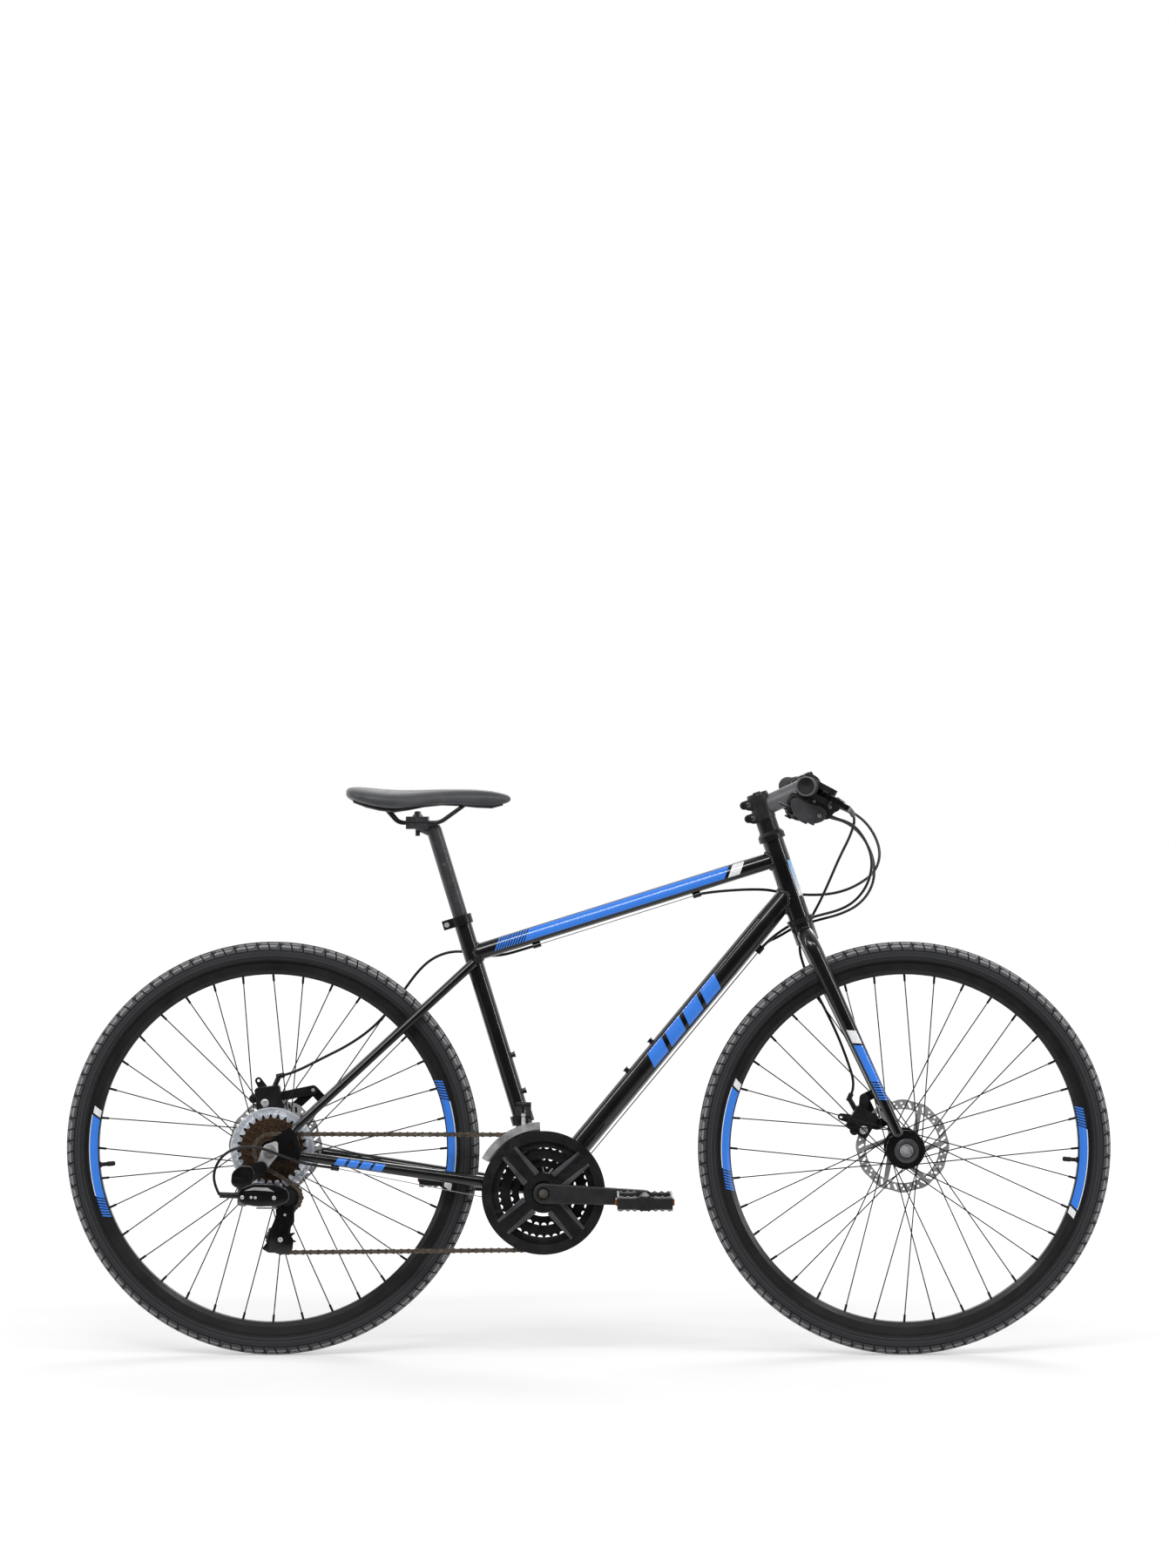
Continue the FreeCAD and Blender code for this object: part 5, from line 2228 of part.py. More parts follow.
def frame_cables():
    """Shift housings, rear brake housing and the bare wires, from the controls to what they pull."""
    made = []
    foot = BRACKET + DOWN_WAY * BRACKET_SHELL_RADIUS - DOWN_UPPER * (DOWN_TUBE_RADIUS + GUIDE_RADIUS)
    for side, spread, route in zip(SIDES, DOWN_STOP_SPREADS, (RIGHT_SHIFT_ROUTE, LEFT_SHIFT_ROUTE)):
        stop = down_stop(spread)
        route = barrel_exit(*shift_barrel(side)) + list(route)
        made.append(cable("shift housing", route, stop_entry(stop, DOWN_WAY)))
        made.append(rod(stop - DOWN_WAY * FIT_GAP, foot + across(spread), WIRE_RADIUS))
    front, back = top_guide(TOP_GUIDE_REACHES[1]), top_guide(TOP_GUIDE_REACHES[0])
    route = barrel_exit(*brake_barrel(1)) + list(REAR_BRAKE_ROUTE)
    made.append(cable("rear brake front housing", route, stop_entry(front, TOP_WAY)))
    made.append(rod(front - TOP_WAY * FIT_GAP, back + TOP_WAY * FIT_GAP, WIRE_RADIUS))
    route = [tuple(place) for place in reversed(stop_entry(back, TOP_WAY * -1))] + list(SEAT_LOOP_ROUTE)
    arm_end = arm_tip(REAR_AXLE, REAR_CALIPER_ANGLE, REAR_ROTOR_PLANE, REAR_ARM_ANGLE)
    entry = stop_entry(REAR_CABLE_STOP, toward(arm_end, REAR_CABLE_STOP))
    made.append(cable("rear brake seat loop", route, entry))
    stop, way = stay_stop()
    low = BRACKET - UP * (BRACKET_SHELL_RADIUS + BRACKET_GUIDE_RADIUS * 1.5 + WIRE_RADIUS + BODY_GAP)
    made.append(rod(low + across(-BRACKET_GUIDE_LENGTH / 2), stop + way * FIT_GAP, WIRE_RADIUS))
    route = [tuple(place) for place in reversed(stop_entry(stop, way * -1))] + list(DERAILLEUR_ROUTE)
    made.append(cable("rear derailleur housing", route))
    return made


def front_brake_cable():
    """Front brake housing, from the right lever down behind the left blade."""
    arm_end = arm_tip(FRONT_AXLE, FRONT_CALIPER_ANGLE, FRONT_ROTOR_PLANE, FRONT_ARM_ANGLE)
    route = barrel_exit(*brake_barrel(-1)) + list(FRONT_BRAKE_ROUTE)
    entry = stop_entry(FRONT_CABLE_STOP, toward(arm_end, FRONT_CABLE_STOP))
    return cable("front brake housing", route, entry)


def main():
    """Build every piece and write it to its own file."""
    os.makedirs("parts", exist_ok=True)
    rear_bolts, front_bolts = rear_tab_bolts(), front_tab_bolts()
    rear_brake = (REAR_AXLE, REAR_CALIPER_ANGLE, REAR_ROTOR_PLANE)
    front_brake = (FRONT_AXLE, FRONT_CALIPER_ANGLE, FRONT_ROTOR_PLANE)
    save("frame", frame())
    save("frame_bearings", *frame_bearings())
    save("derailleur_hanger", derailleur_hanger())
    save("seatpost_collar", seatpost_collar())
    save("frame_fasteners", collar_bolt(), knuckle_bolt(), *tab_fasteners(rear_bolts, REAR_ROTOR_PLANE))
    save("front_derailleur_clamp", front_derailleur_clamp())
    save("rear_caliper", *caliper(*rear_brake, rear_bolts, REAR_CABLE_STOP,
                                  arm_tip(*rear_brake, REAR_ARM_ANGLE)))
    save("rear_brake_arm", brake_arm(*rear_brake, REAR_ARM_ANGLE))
    save("frame_cables", *frame_cables())
    dropout_face = REAR_SPACING / 2 + DROPOUT_THICKNESS
    save("rear_axle", *axle_set(REAR_AXLE, REAR_SPACING, (HANGER_FACE - HANGER_THICKNESS, dropout_face)))

    save("fork", fork())
    save("headset_stack", *headset_stack())
    body, faceplate = stem()
    save("stem", body)
    save("stem_faceplate", faceplate)
    save("handlebar", handlebar())
    save("grips", grip(-1), grip(1))
    save("control_housings", *control_housing(-1), *control_housing(1))
    save("cockpit_fasteners", *cockpit_fasteners(), *tab_fasteners(front_bolts, FRONT_ROTOR_PLANE))
    fork_face = FRONT_SPACING / 2 + FORK_END_THICKNESS
    save("front_axle", *axle_set(FRONT_AXLE, FRONT_SPACING, (-fork_face, fork_face)))
    save("front_caliper", *caliper(*front_brake, front_bolts, FRONT_CABLE_STOP,
                                   arm_tip(*front_brake, FRONT_ARM_ANGLE)))
    save("front_brake_arm", brake_arm(*front_brake, FRONT_ARM_ANGLE))
    save("front_brake_cable", front_brake_cable())
    for side, word in zip(SIDES, ("right", "left")):
        save(word + "_brake_lever", brake_lever(side))
        save(word + "_thumb_lever", shift_lever(side, THUMB_REACH, THUMB_PAD_RADIUS, side * THUMB_ANGLE, 0))
        save(word + "_trigger", shift_lever(side, TRIGGER_REACH, TRIGGER_PAD_RADIUS, side * TRIGGER_ANGLE,
                                            1))
        save(word + "_pedal", pedal(side))
        save(word + "_crank_arm", crank_arm(side, CRANK_ANGLE if side < 0 else CRANK_ANGLE + 180))

    wheels = (("front", FRONT_AXLE, FRONT_SPACING, FRONT_FLANGES, FRONT_ROTOR_PLANE, FRONT_VALVE_ANGLE,
               front_right_boss()),
              ("rear", REAR_AXLE, REAR_SPACING, REAR_FLANGES, REAR_ROTOR_PLANE, REAR_VALVE_ANGLE,
               rear_right_boss()))
    for word, axle, spacing, flanges, plane, valve_angle, boss_steps in wheels:
        save(word + "_tyre", tyre(axle), inner_tube(axle, valve_angle))
        save(word + "_rim", rim(axle, valve_angle, flanges))
        save(word + "_spokes", *spokes(axle, flanges))
        save(word + "_hub", hub(axle, spacing, flanges, plane, boss_steps))
        save(word + "_rotor", *rotor(axle, plane))
    save("spoke_protector", spoke_protector())

    save("freewheel", *freewheel())
    save("chainrings", *chainrings())
    save("chain_guard", chain_guard())
    save("crank_axles", *crank_axles())
    save("chain", *chain())
    save("rd_knuckle", derailleur_knuckle())
    save("rd_outer_link", derailleur_link(0))
    save("rd_inner_link", derailleur_link(1))
    save("rd_cage_knuckle", cage_knuckle())
    save("rd_cage", derailleur_cage())
    save("guide_pulley", pulley(GUIDE_PULLEY, 2))
    save("tension_pulley", pulley(TENSION_PULLEY, 3))
    save("fd_links", *fd_links())
    save("fd_cage", fd_cage())

    save("seatpost", *seatpost())
    save("saddle_base", *saddle_base())
    save("saddle_cover", saddle_cover())
    print("cage angle", round(CAGE_ANGLE, 2))


main()
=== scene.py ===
import math

import bmesh
import bpy
from mathutils import Matrix, Vector


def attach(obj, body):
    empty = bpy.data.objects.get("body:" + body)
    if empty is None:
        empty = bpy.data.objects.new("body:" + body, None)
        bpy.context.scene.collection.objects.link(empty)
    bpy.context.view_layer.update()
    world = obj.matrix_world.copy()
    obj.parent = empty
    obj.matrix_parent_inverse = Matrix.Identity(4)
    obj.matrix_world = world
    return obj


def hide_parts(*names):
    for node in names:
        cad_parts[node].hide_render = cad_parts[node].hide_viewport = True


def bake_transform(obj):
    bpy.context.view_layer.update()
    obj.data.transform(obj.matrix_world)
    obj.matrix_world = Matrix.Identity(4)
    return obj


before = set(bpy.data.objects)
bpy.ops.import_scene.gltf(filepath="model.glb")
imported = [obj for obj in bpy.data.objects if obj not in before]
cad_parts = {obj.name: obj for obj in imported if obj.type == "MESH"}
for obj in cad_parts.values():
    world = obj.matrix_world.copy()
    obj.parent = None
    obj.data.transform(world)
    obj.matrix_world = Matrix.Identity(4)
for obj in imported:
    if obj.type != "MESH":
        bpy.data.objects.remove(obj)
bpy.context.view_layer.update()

scene = bpy.context.scene

MM = 0.001
LEFT = Vector((0, 1, 0))
SIDES = (("right", -1), ("left", 1))

# Camera: place in metres, lens and sensor in millimetres
CAMERA_PLACE = (-0.0012, -7.2, 0.970)
LENS_LENGTH = 97.2
SENSOR_WIDTH = 36

# Places and sizes on the bike, in metres, as the solids have them
FRONT_AXLE = Vector((0.5365, 0, 0.351))
REAR_AXLE = Vector((-0.5365, 0, 0.351))
BRACKET = Vector((-0.0763, 0, 0.281))
SEAT_UP = Vector((-0.2924, 0, 0.9563))
SEAT_TUBE_RADIUS = 0.0148
HEAD_BOTTOM = Vector((0.3584, 0, 0.7422))
HEAD_UP = Vector((-0.3256, 0, 0.9455))
HEAD_FRONT = Vector((0.9455, 0, 0.3256))
HEAD_TUBE_RADIUS = 0.0184
TOP_TUBE_REAR = Vector((-0.1985, 0, 0.6807))
TOP_TUBE_FRONT = Vector((0.3232, 0, 0.8443))
TOP_TUBE_WAY = (TOP_TUBE_FRONT - TOP_TUBE_REAR).normalized()
TOP_TUBE_RADIUS = 0.0143
DOWN_TUBE_FRONT = Vector((0.3431, 0, 0.7866))
DOWN_TUBE_WAY = (DOWN_TUBE_FRONT - BRACKET).normalized()
DOWN_TUBE_RADIUS = 0.019
DOWN_TUBE_END_RADIUS = 0.0174
SHELL_RADIUS = 0.0205
CHAINSTAY_END = Vector((-0.4871, 0, 0.3435))
BLADE_TOP = Vector((0.379, 0.043, 0.683))
BLADE_WAY = Vector((0.429, 0, -0.903))
RIGHT_PEDAL = Vector((0.0936, -0.135, 0.2739))
LEFT_PEDAL = Vector((-0.2461, 0.135, 0.2881))
SHIFT_PIVOT = Vector((0.35095, 0.13042, 0.92382))
SHIFT_AXIS = Vector((0.46908, 0.04104, 0.88220))
STEM_FOOT = Vector((0.2955, 0, 0.9305))
RAIL_CLAMP = Vector((-0.2908, 0, 0.9041))
BAR_MIDDLE = Vector((0.374, 0, 0.9663))
BAR_BEND = 0.075
BAR_HALF_WIDTH = 0.310
BAR_SWEEP = math.radians(5)
BAR_REACH = (BAR_HALF_WIDTH - BAR_BEND) / math.cos(BAR_SWEEP)
GRIP_LENGTH = 0.128
GRIP_OVERHANG = 0.004

# Wheels: word for the wheel, its axle, the angle of its valve and of the prints on its rim in degrees
WHEELS = (("front", FRONT_AXLE, -3.9, -22), ("rear", REAR_AXLE, 185.5, -13))
PEDALS = (("right", RIGHT_PEDAL, -1), ("left", LEFT_PEDAL, 1))

# Tyre: ring of the casing's middle, radius over the blocks and between them, in metres, and count of blocks
TYRE_RING = 0.331
TYRE_ROUND = 0.020
TREAD_BASE = 0.0187
TREAD_BLOCKS = 112
TREAD_STEPS = 4

# Tyre wall from bead to tread, as (radius, half width) in metres, and the tread's lines across in degrees
TYRE_WALL = ((0.3140, 0.0102), (0.3174, 0.0104), (0.3180, 0.0150), (0.3203, 0.0166), (0.3208, 0.0172),
             (0.3221, 0.0175), (0.3226, 0.0182), (0.3245, 0.0188), (0.3250, 0.0191), (0.3270, 0.0193),
             (0.3300, 0.0194), (0.3330, 0.0193), (0.3352, 0.0189))
TREAD_TURNS = (74, 71, 56, 40, 36, 24, 12, 9, 4, 0)
TREAD_EDGE_TURN = 72

# Print colours; pitch of a hatch in metres and its filled share
BLUE = (0.042, 0.210, 0.76)
PALE_BLUE = (0.26, 0.52, 0.90)
WHITE = (0.80, 0.81, 0.83)
HATCH = (0.0048, 0.55)

# Sharpest angle that is shaded smooth, in degrees, on most pieces and on the tyres
CREASE = 35
TREAD_CREASE = 28
MERGE_DISTANCE = 0.00001

# Cable radii, in metres, and the housings that cross from the bars to the frame at the head, left on no body
CABLE_RADIUS = 0.0024
WIRE_RADIUS = 0.0008
CROSSING_STEERING = ("right_shift_housing", "left_shift_housing", "rear_brake_housing")

# Cable routes, in millimetres
ROUTES = {
    "right_shift_housing": (
        (396.8, -120.9, 920.3), (409.3, -117.2, 913.8), (442, -102, 904), (465, -78, 878), (480, -48, 842),
        (476, -16, 804), (458, 8, 774), (432, 22, 756), (394, 28, 746), (354, 29, 735), (324, 20, 717),
        (302.3, 3, 700.6), (291.7, 3, 687.8)),
    "left_shift_housing": (
        (396.8, 120.9, 920.3), (409.3, 117.2, 913.8), (448, 106, 904), (476, 98, 876), (492, 88, 838),
        (490, 74, 798), (468, 58, 766), (434, 44, 748), (394, 37, 738), (354, 35, 727), (322, 27, 708),
        (302.3, 14, 700.6), (291.7, 14, 687.8)),
    "rear_brake_housing": (
        (413.9, 135.1, 942.3), (424.5, 126.6, 937), (466, 104, 916), (490, 94, 889), (503, 82, 852),
        (492, 66, 818), (456, 48, 794), (418, 36, 782), (376, 30, 780), (334, 27, 784), (292, 18, 792),
        (199.8, 0, 786.3), (183.9, 0, 781.4)),
    "seat_loop_housing": (
        (-88, 0, 696), (-103.9, 0, 691.1), (-146, 12, 678), (-176, 20, 677), (-206, 25, 684), (-238, 30, 684),
        (-268, 35, 672), (-292, 40, 650), (-314, 44, 620), (-340, 49, 584), (-372, 54, 550), (-412, 59, 522),
        (-456, 61, 500), (-506, 60.9, 474.7), (-522, 63, 471)),
    "front_brake_housing": (
        (413.9, -135.1, 942.3), (424.5, -126.6, 937), (448, -106, 916), (441, -76, 884), (424, -39, 846),
        (402, 14, 786), (386, 45, 750), (357, 52, 700), (370, 53, 650), (397, 52, 600), (423, 53, 548),
        (441, 54, 503), (456.5, 49, 455.2), (450, 51, 440)),
    "derailleur_housing": (
        (-428, -63, 322.6), (-444.3, -65, 325), (-474, -76, 330), (-512, -92, 344), (-548, -98, 360),
        (-584, -98, 362), (-612, -97, 350), (-628, -95, 326), (-630, -93, 300), (-620, -92, 280)),
}
WIRES = {
    "right_shift_wire": ((291.7, 3, 687.8), (-45, 3, 281.7)),
    "left_shift_wire": ((291.7, 14, 687.8), (-45, 14, 281.7)),
    "rear_brake_wire": ((183.9, 0, 781.4), (-88, 0, 696)),
    "derailleur_wire": ((-76.3, -15, 248.8), (-428, -63, 322.6)),
}


def camera_at_photograph():
    """Level camera, square to the bike's drive side."""
    lens = bpy.data.cameras.new("camera")
    lens.lens = LENS_LENGTH
    lens.sensor_width = SENSOR_WIDTH
    camera = bpy.data.objects.new("camera", lens)
    scene.collection.objects.link(camera)
    camera.location = CAMERA_PLACE
    camera.rotation_euler = (math.radians(90), 0, 0)
    scene.camera = camera


# Materials

def operation(name):
    """A method that puts a value through one kind of math node."""
    return lambda value, *others: value.nodes.calc(name, value, *others)


class Value:
    """A value in a node tree, for plain sums and comparisons; | gives the larger of two."""

    __add__ = operation("ADD")
    __sub__ = operation("SUBTRACT")
    __mul__ = operation("MULTIPLY")
    __truediv__ = operation("DIVIDE")
    __gt__ = operation("GREATER_THAN")
    __lt__ = operation("LESS_THAN")
    __or__ = operation("MAXIMUM")
    __abs__ = operation("ABSOLUTE")
    root = operation("SQRT")
    sine = operation("SINE")
    fraction = operation("FRACT")

    def __init__(self, nodes, socket):
        self.nodes = nodes
        self.socket = socket

    def __rsub__(self, other):
        return self.nodes.calc("SUBTRACT", other, self)

    def ramp(self, low, high, first=0, last=1):
        """From the first number to the last, while this goes from low to high."""
        return self.nodes.add("MapRange", {"Value": self, "From Min": low, "From Max": high,
                                           "To Min": first, "To Max": last})

    def spread(self, first, last):
        """A share from 0 to 1, mapped to a range."""
        return self.ramp(0, 1, first, last)

    def tint(self, first, second):
        """First colour where this is 0, second where it is 1."""
        return self.nodes.add("Mix", {0: self, 6: first, 7: second}, output=2, data_type="RGBA")

    def band(self, low, high):
        return self.nodes.effect("between", self, low, high)

    def bars(self, pitch, fill):
        return self.nodes.effect("even_bars", self, pitch, fill)


class Nodes:
    """A node tree, with short ways to add to it."""

    def __init__(self, tree):
        self.tree = tree

    def connect(self, socket, value):
        """A link or a plain value; in a colour of two parts, red is the same as green."""
        if isinstance(value, Value):
            self.tree.links.new(value.socket, socket)
        elif socket.type == "RGBA":
            socket.default_value = (value[0], *value[-2:], 1)
        else:
            socket.default_value = value

    def node(self, kind, inputs=(), **settings):
        """One shader node, with its settings, its plain values and its links."""
        made = self.tree.nodes.new("ShaderNode" + kind)
        for name, value in settings.items():
            setattr(made, name, value)
        for name, value in dict(inputs).items():
            self.connect(made.inputs[name], value)
        return made

    def add(self, kind, inputs=(), output=0, **settings):
        """One output of a new shader node."""
        return Value(self, self.node(kind, inputs, **settings).outputs[output])

    def calc(self, operation, *values):
        return self.add("Math", dict(enumerate(values)), operation=operation)

    def effect(self, name, *values):
        """What one of the shared effects gives for these values."""
        made = self.node("Group", node_tree=EFFECTS[name])
        for socket, value in zip(made.inputs, values):
            self.connect(socket, value)
        given = [Value(self, socket) for socket in made.outputs]
        return given if len(given) > 1 else given[0]

    def grain(self, fine, slow):
        return self.effect("fine_grain", fine, slow)

    def ring(self, centre):
        return self.effect("round_axle", centre)

    def place(self):
        return self.add("TexCoord", output="Object")

    def parts(self, vector):
        return [Value(self, socket) for socket in self.node("SeparateXYZ", {0: vector}).outputs]

    def offset(self, vector):
        return self.add("VectorMath", {0: self.place(), 1: vector}, operation="SUBTRACT")

    def ring_lines(self, radius, scale, detail):
        """Fine lines round an axle."""
        return self.add("TexNoise", {"W": radius, "Scale": scale, "Detail": detail}, noise_dimensions="1D")

    def cells(self, scale, randomness):
        return self.add("TexVoronoi", {"Vector": self.place(), "Scale": scale, "Randomness": randomness},
                        output="Distance")

    def ray(self, kind):
        return self.add("LightPath", output=f"Is {kind} Ray")


class Finish(Nodes):
    """A material being made: its nodes, and the inputs of its shader."""

    def __init__(self, name, roughness, metallic=0, specular=0.5, coat=None, **sockets):
        self.material = bpy.data.materials.new(name)
        self.material.use_nodes = True
        super().__init__(self.material.node_tree)
        self.inputs = self.tree.nodes["Principled BSDF"].inputs
        sockets.update(Roughness=roughness, Metallic=metallic, Specular_IOR_Level=specular)
        if coat:
            sockets["Coat_Weight"], sockets["Coat_Roughness"] = coat
        for label, value in sockets.items():
            self.inputs[label.replace("_", " ")].default_value = value

    def done(self, colour, gloss, height, strength, depth):
        """The finished material, its bumps' depth given in millimetres."""
        bumps = self.add("Bump", {"Height": height, "Strength": strength, "Distance": depth * MM})
        for label, value in (("Base Color", colour), ("Roughness", gloss), ("Normal", bumps)):
            self.connect(self.inputs[label], value)
        return self.material


def grain_effect(nodes, fine, slow):
    """Fine grain for bumps, and slow blotches for colour and gloss."""
    place = nodes.place()
    grain = nodes.add("TexNoise", {"Vector": place, "Scale": fine, "Detail": 3, "Roughness": 0.6})
    blotch = nodes.add("TexNoise", {"Vector": place, "Scale": slow, "Detail": 4, "Distortion": 0.6})
    return grain, blotch.ramp(0.3, 0.7)


def scuff_effect(nodes, scale):
    """Thin crossing hairline marks from handling."""
    masks = []
    for stretch, turn in (((1, 0.04, 0.3), 0.5), ((0.05, 1, 0.25), 1.1)):
        mapped = nodes.add("Mapping", {"Vector": nodes.place(), "Rotation": (turn, turn, 0),
                                       "Scale": stretch})
        lines = nodes.add("TexNoise", {"Vector": mapped, "Scale": scale, "Detail": 2})
        masks.append(lines.ramp(0.66, 0.74))
    return (masks[0] | masks[1],)


def ring_effect(nodes, centre):
    """Distance from an axle and angle round it."""
    x, y, z = nodes.parts(nodes.offset(centre))
    return (x * x + z * z).root(), nodes.calc("ARCTAN2", z, x)


def tube_effect(nodes, foot, way, rise):
    """Distance along a tube and height across it."""
    offset = nodes.offset(foot)
    return [nodes.add("VectorMath", {0: offset, 1: axis}, output="Value", operation="DOT_PRODUCT")
            for axis in (way, rise)]


def band_effect(nodes, value, low, high):
    """1 between two values, 0 outside."""
    return ((value > low) * (value < high),)


def bars_effect(nodes, value, pitch, fill):
    """Even bars along a value."""
    return ((value / pitch).fraction() < fill,)


def effect_group(name, inputs, outputs, make):
    """A shared effect as a node group."""
    tree = bpy.data.node_groups.new(name, "ShaderNodeTree")
    for label in inputs:
        kind = "Vector" if label in ("Centre", "Foot", "Way", "Rise") else "Float"
        tree.interface.new_socket(label, in_out="INPUT", socket_type="NodeSocket" + kind)
    for label in outputs:
        tree.interface.new_socket(label, in_out="OUTPUT", socket_type="NodeSocketFloat")
    nodes = Nodes(tree)
    entry = tree.nodes.new("NodeGroupInput").outputs
    leave = tree.nodes.new("NodeGroupOutput").inputs
    for label, value in zip(outputs, make(nodes, *[Value(nodes, entry[label]) for label in inputs])):
        nodes.connect(leave[label], value)
    return tree


EFFECTS = {name: effect_group(name, *rest) for name, *rest in (
    ("fine_grain", ("Grain Scale", "Blotch Scale"), ("Grain", "Blotch"), grain_effect),
    ("hairline_scuffs", ("Scale",), ("Mask",), scuff_effect),
    ("round_axle", ("Centre",), ("Radius", "Turn"), ring_effect),
    ("along_tube", ("Foot", "Way", "Rise"), ("Along", "Height"), tube_effect),
    ("between", ("Value", "Low", "High"), ("Mask",), band_effect),
    ("even_bars", ("Value", "Pitch", "Fill"), ("Mask",), bars_effect),
)}


def plain(name, dark, light, rough, fine, depth, metallic=0, scuffs=0, specular=0.26, coat=None):
    """Blotched colour and gloss over a fine grain, with a few hairline scuffs."""
    skin = Finish(name, rough[0], metallic, specular, coat)
    grain, blotch = skin.grain(fine, 38)
    colour = blotch.tint(dark, light)
    gloss = blotch.spread(*rough)
    if scuffs:
        mask = skin.effect("hairline_scuffs", 420) * scuffs
        colour = mask.tint(colour, [min(1, part * 2.5 + 0.02) for part in light])
        gloss = gloss + mask * 0.2
    return skin.done(colour, gloss, grain, 0.5, depth)


def rotor_steel(name, centre):
    """Steel with fine rings from grinding about an axle."""
    skin = Finish(name, 0.28, 0.5)
    blotch = skin.grain(900, 30)[1]
    lines = skin.ring_lines(skin.ring(centre)[0], 2600, 3)
    mixed = lines * 0.6 + blotch * 0.4
    colour = mixed.tint((0.36, 0.36), (0.60, 0.59))
    return skin.done(colour, mixed.spread(0.28, 0.44), lines, 0.25, 0.06)


def tube_marks(skin, foot, way, slant):
    """Distance along a tube, leaned by the slant, and height across the tube."""
    rise = LEFT.cross(way)
    if rise.z < 0:
        rise = -rise
    along, height = skin.effect("along_tube", foot, way, rise)
    return along - height * slant, height


def frame_marks(skin):
    """Prints on the frame: top tube, down tube, right chainstay and head tube."""
    leaned, height = tube_marks(skin, TOP_TUBE_REAR, TOP_TUBE_WAY, 0.75)
    on_tube = height.band(-0.0062, 0.0128)
    stripe = leaned.band(0.098, 0.452) | leaned.band(0.042, 0.098) * leaned.bars(*HATCH)
    marks = [(on_tube * stripe, BLUE), (on_tube * leaned.band(0.4585, 0.4795), WHITE)]

    leaned, height = tube_marks(skin, BRACKET, DOWN_TUBE_WAY, 0.45)
    panel = height.band(-0.013, 0.013) * leaned.band(0.285, 0.470)
    marks.append((panel * (leaned - 0.285).bars(0.0465, 0.80), BLUE))

    across = skin.parts(skin.place())[1]
    leaned, height = tube_marks(skin, CHAINSTAY_END, (BRACKET - CHAINSTAY_END).normalized(), 0.45)
    panel = height.band(-0.0065, 0.0065) * leaned.band(0.062, 0.146) * across.band(-0.1, -0.03)
    marks.append((panel * (leaned - 0.062).bars(0.0212, 0.80), BLUE))

    along, height = skin.effect("along_tube", HEAD_BOTTOM, HEAD_UP, HEAD_FRONT)
    badge = height.band(HEAD_TUBE_RADIUS * 0.62, HEAD_TUBE_RADIUS * 1.3) * along.band(0.036, 0.100)
    marks.append((badge, along.ramp(0.045, 0.095).tint(WHITE, PALE_BLUE)))
    return marks


def fork_marks(skin):
    """Prints on each fork blade: a white block, and a blue stripe with a hatched end."""
    leaned, height = tube_marks(skin, BLADE_TOP, BLADE_WAY, 0.55)
    on_blade = height.band(-0.0048, 0.0094)
    stripe = leaned.band(0.170, 0.236) | leaned.band(0.236, 0.272) * leaned.bars(*HATCH)
    return (on_blade * stripe, BLUE), (on_blade * leaned.band(0.142, 0.166), WHITE)


def painted(name, marks):
    """Gloss black paint with prints under a clear coat, with faint orange peel."""
    skin = Finish(name, 0.32, coat=(1, 0.05), Coat_IOR=1.5, specular=0.2)
    grain, blotch = skin.grain(260, 14)
    colour = blotch.tint((0.0035, 0.0036, 0.0042), (0.0075, 0.0078, 0.009))
    for mask, ink in marks(skin):
        colour = mask.tint(colour, ink)
    return skin.done(colour, blotch.spread(0.26, 0.38), grain, 0.12, 0.1)


def rim_finish(name, centre, first_turn):
    """Black anodised rim with two printed arcs, each with a white end and a hatched end."""
    skin = Finish(name, 0.35, coat=(0.15, 0.15), specular=0.22)
    radius, turn = skin.ring(centre)
    lean, middle = 1.6, 0.304
    leaned = turn + radius * lean - (math.radians(first_turn) + middle * lean)
    angle = skin.calc("WRAP", leaned, math.pi, 0)
    side = radius.band(0.2975, 0.3105)
    arc = angle.band(0.052, 0.50)
    hatch = angle.band(0.50, 0.62) * angle.bars(0.016, 0.55)
    edge = arc * radius.band(0.3105, 0.3118)
    colour = skin.grain(700, 22)[1].tint((0.0105, 0.0113), (0.0190, 0.0200))
    colour = (side * (arc | hatch)).tint(colour, BLUE)
    colour = (side * angle.band(0, 0.04) | edge).tint(colour, WHITE)
    lines = skin.ring_lines(radius, 3000, 2)
    return skin.done(colour, lines.spread(0.28, 0.46), lines, 0.15, 0.05)


def tyre_rubber(name, centre):
    """Matt rubber: dark between the blocks, with a painted highlight on top of them and a brighter painted
    highlight on the shoulder blocks, the wall lighter towards the tread, and fine rings on the wall.
    """
    skin = Finish(name, 0.7, specular=0.3, Sheen_Weight=0.04, Sheen_Roughness=0.5)
    grain, blotch = skin.grain(1500, 16)
    radius, turn = skin.ring(centre)
    across = skin.parts(skin.place())[1]
    out = radius - TYRE_RING
    tread = out > 0.0047
    wall = 1 - tread
    # Block tops painted lighter grey as a highlight; the shoulder blocks painted near white as a brighter
    # highlight.
    top = tread * (out * out + across * across).root().ramp(0.0190, 0.0198)
    facet_highlight = top * radius.band(0.3424, 0.3488) * (turn + radius * 3).bars(math.tau * 2 / TREAD_BLOCKS, 0.8)
    rings = radius.band(0.3222, 0.3227) | radius.band(0.3283, 0.3288)
    colour = blotch.tint((0.007, 0.008), (0.012, 0.013))
    # Painted highlights on the block tops and shoulder blocks; the wall lighter towards the tread, with
    # lighter ring lines.
    for mask, shade in ((top, (0.050, 0.051, 0.054)), (facet_highlight, (0.230, 0.231, 0.240)),
                        (wall * radius.ramp(0.318, 0.341), (0.036, 0.037, 0.041)),
                        (wall * rings, (0.075, 0.076, 0.082))):
        colour = mask.tint(colour, shade)
    ribs = wall * (radius * 5200).sine()
    return skin.done(colour, top.spread(0.74, 0.52), ribs * 0.7 + grain, 0.5, 0.2)


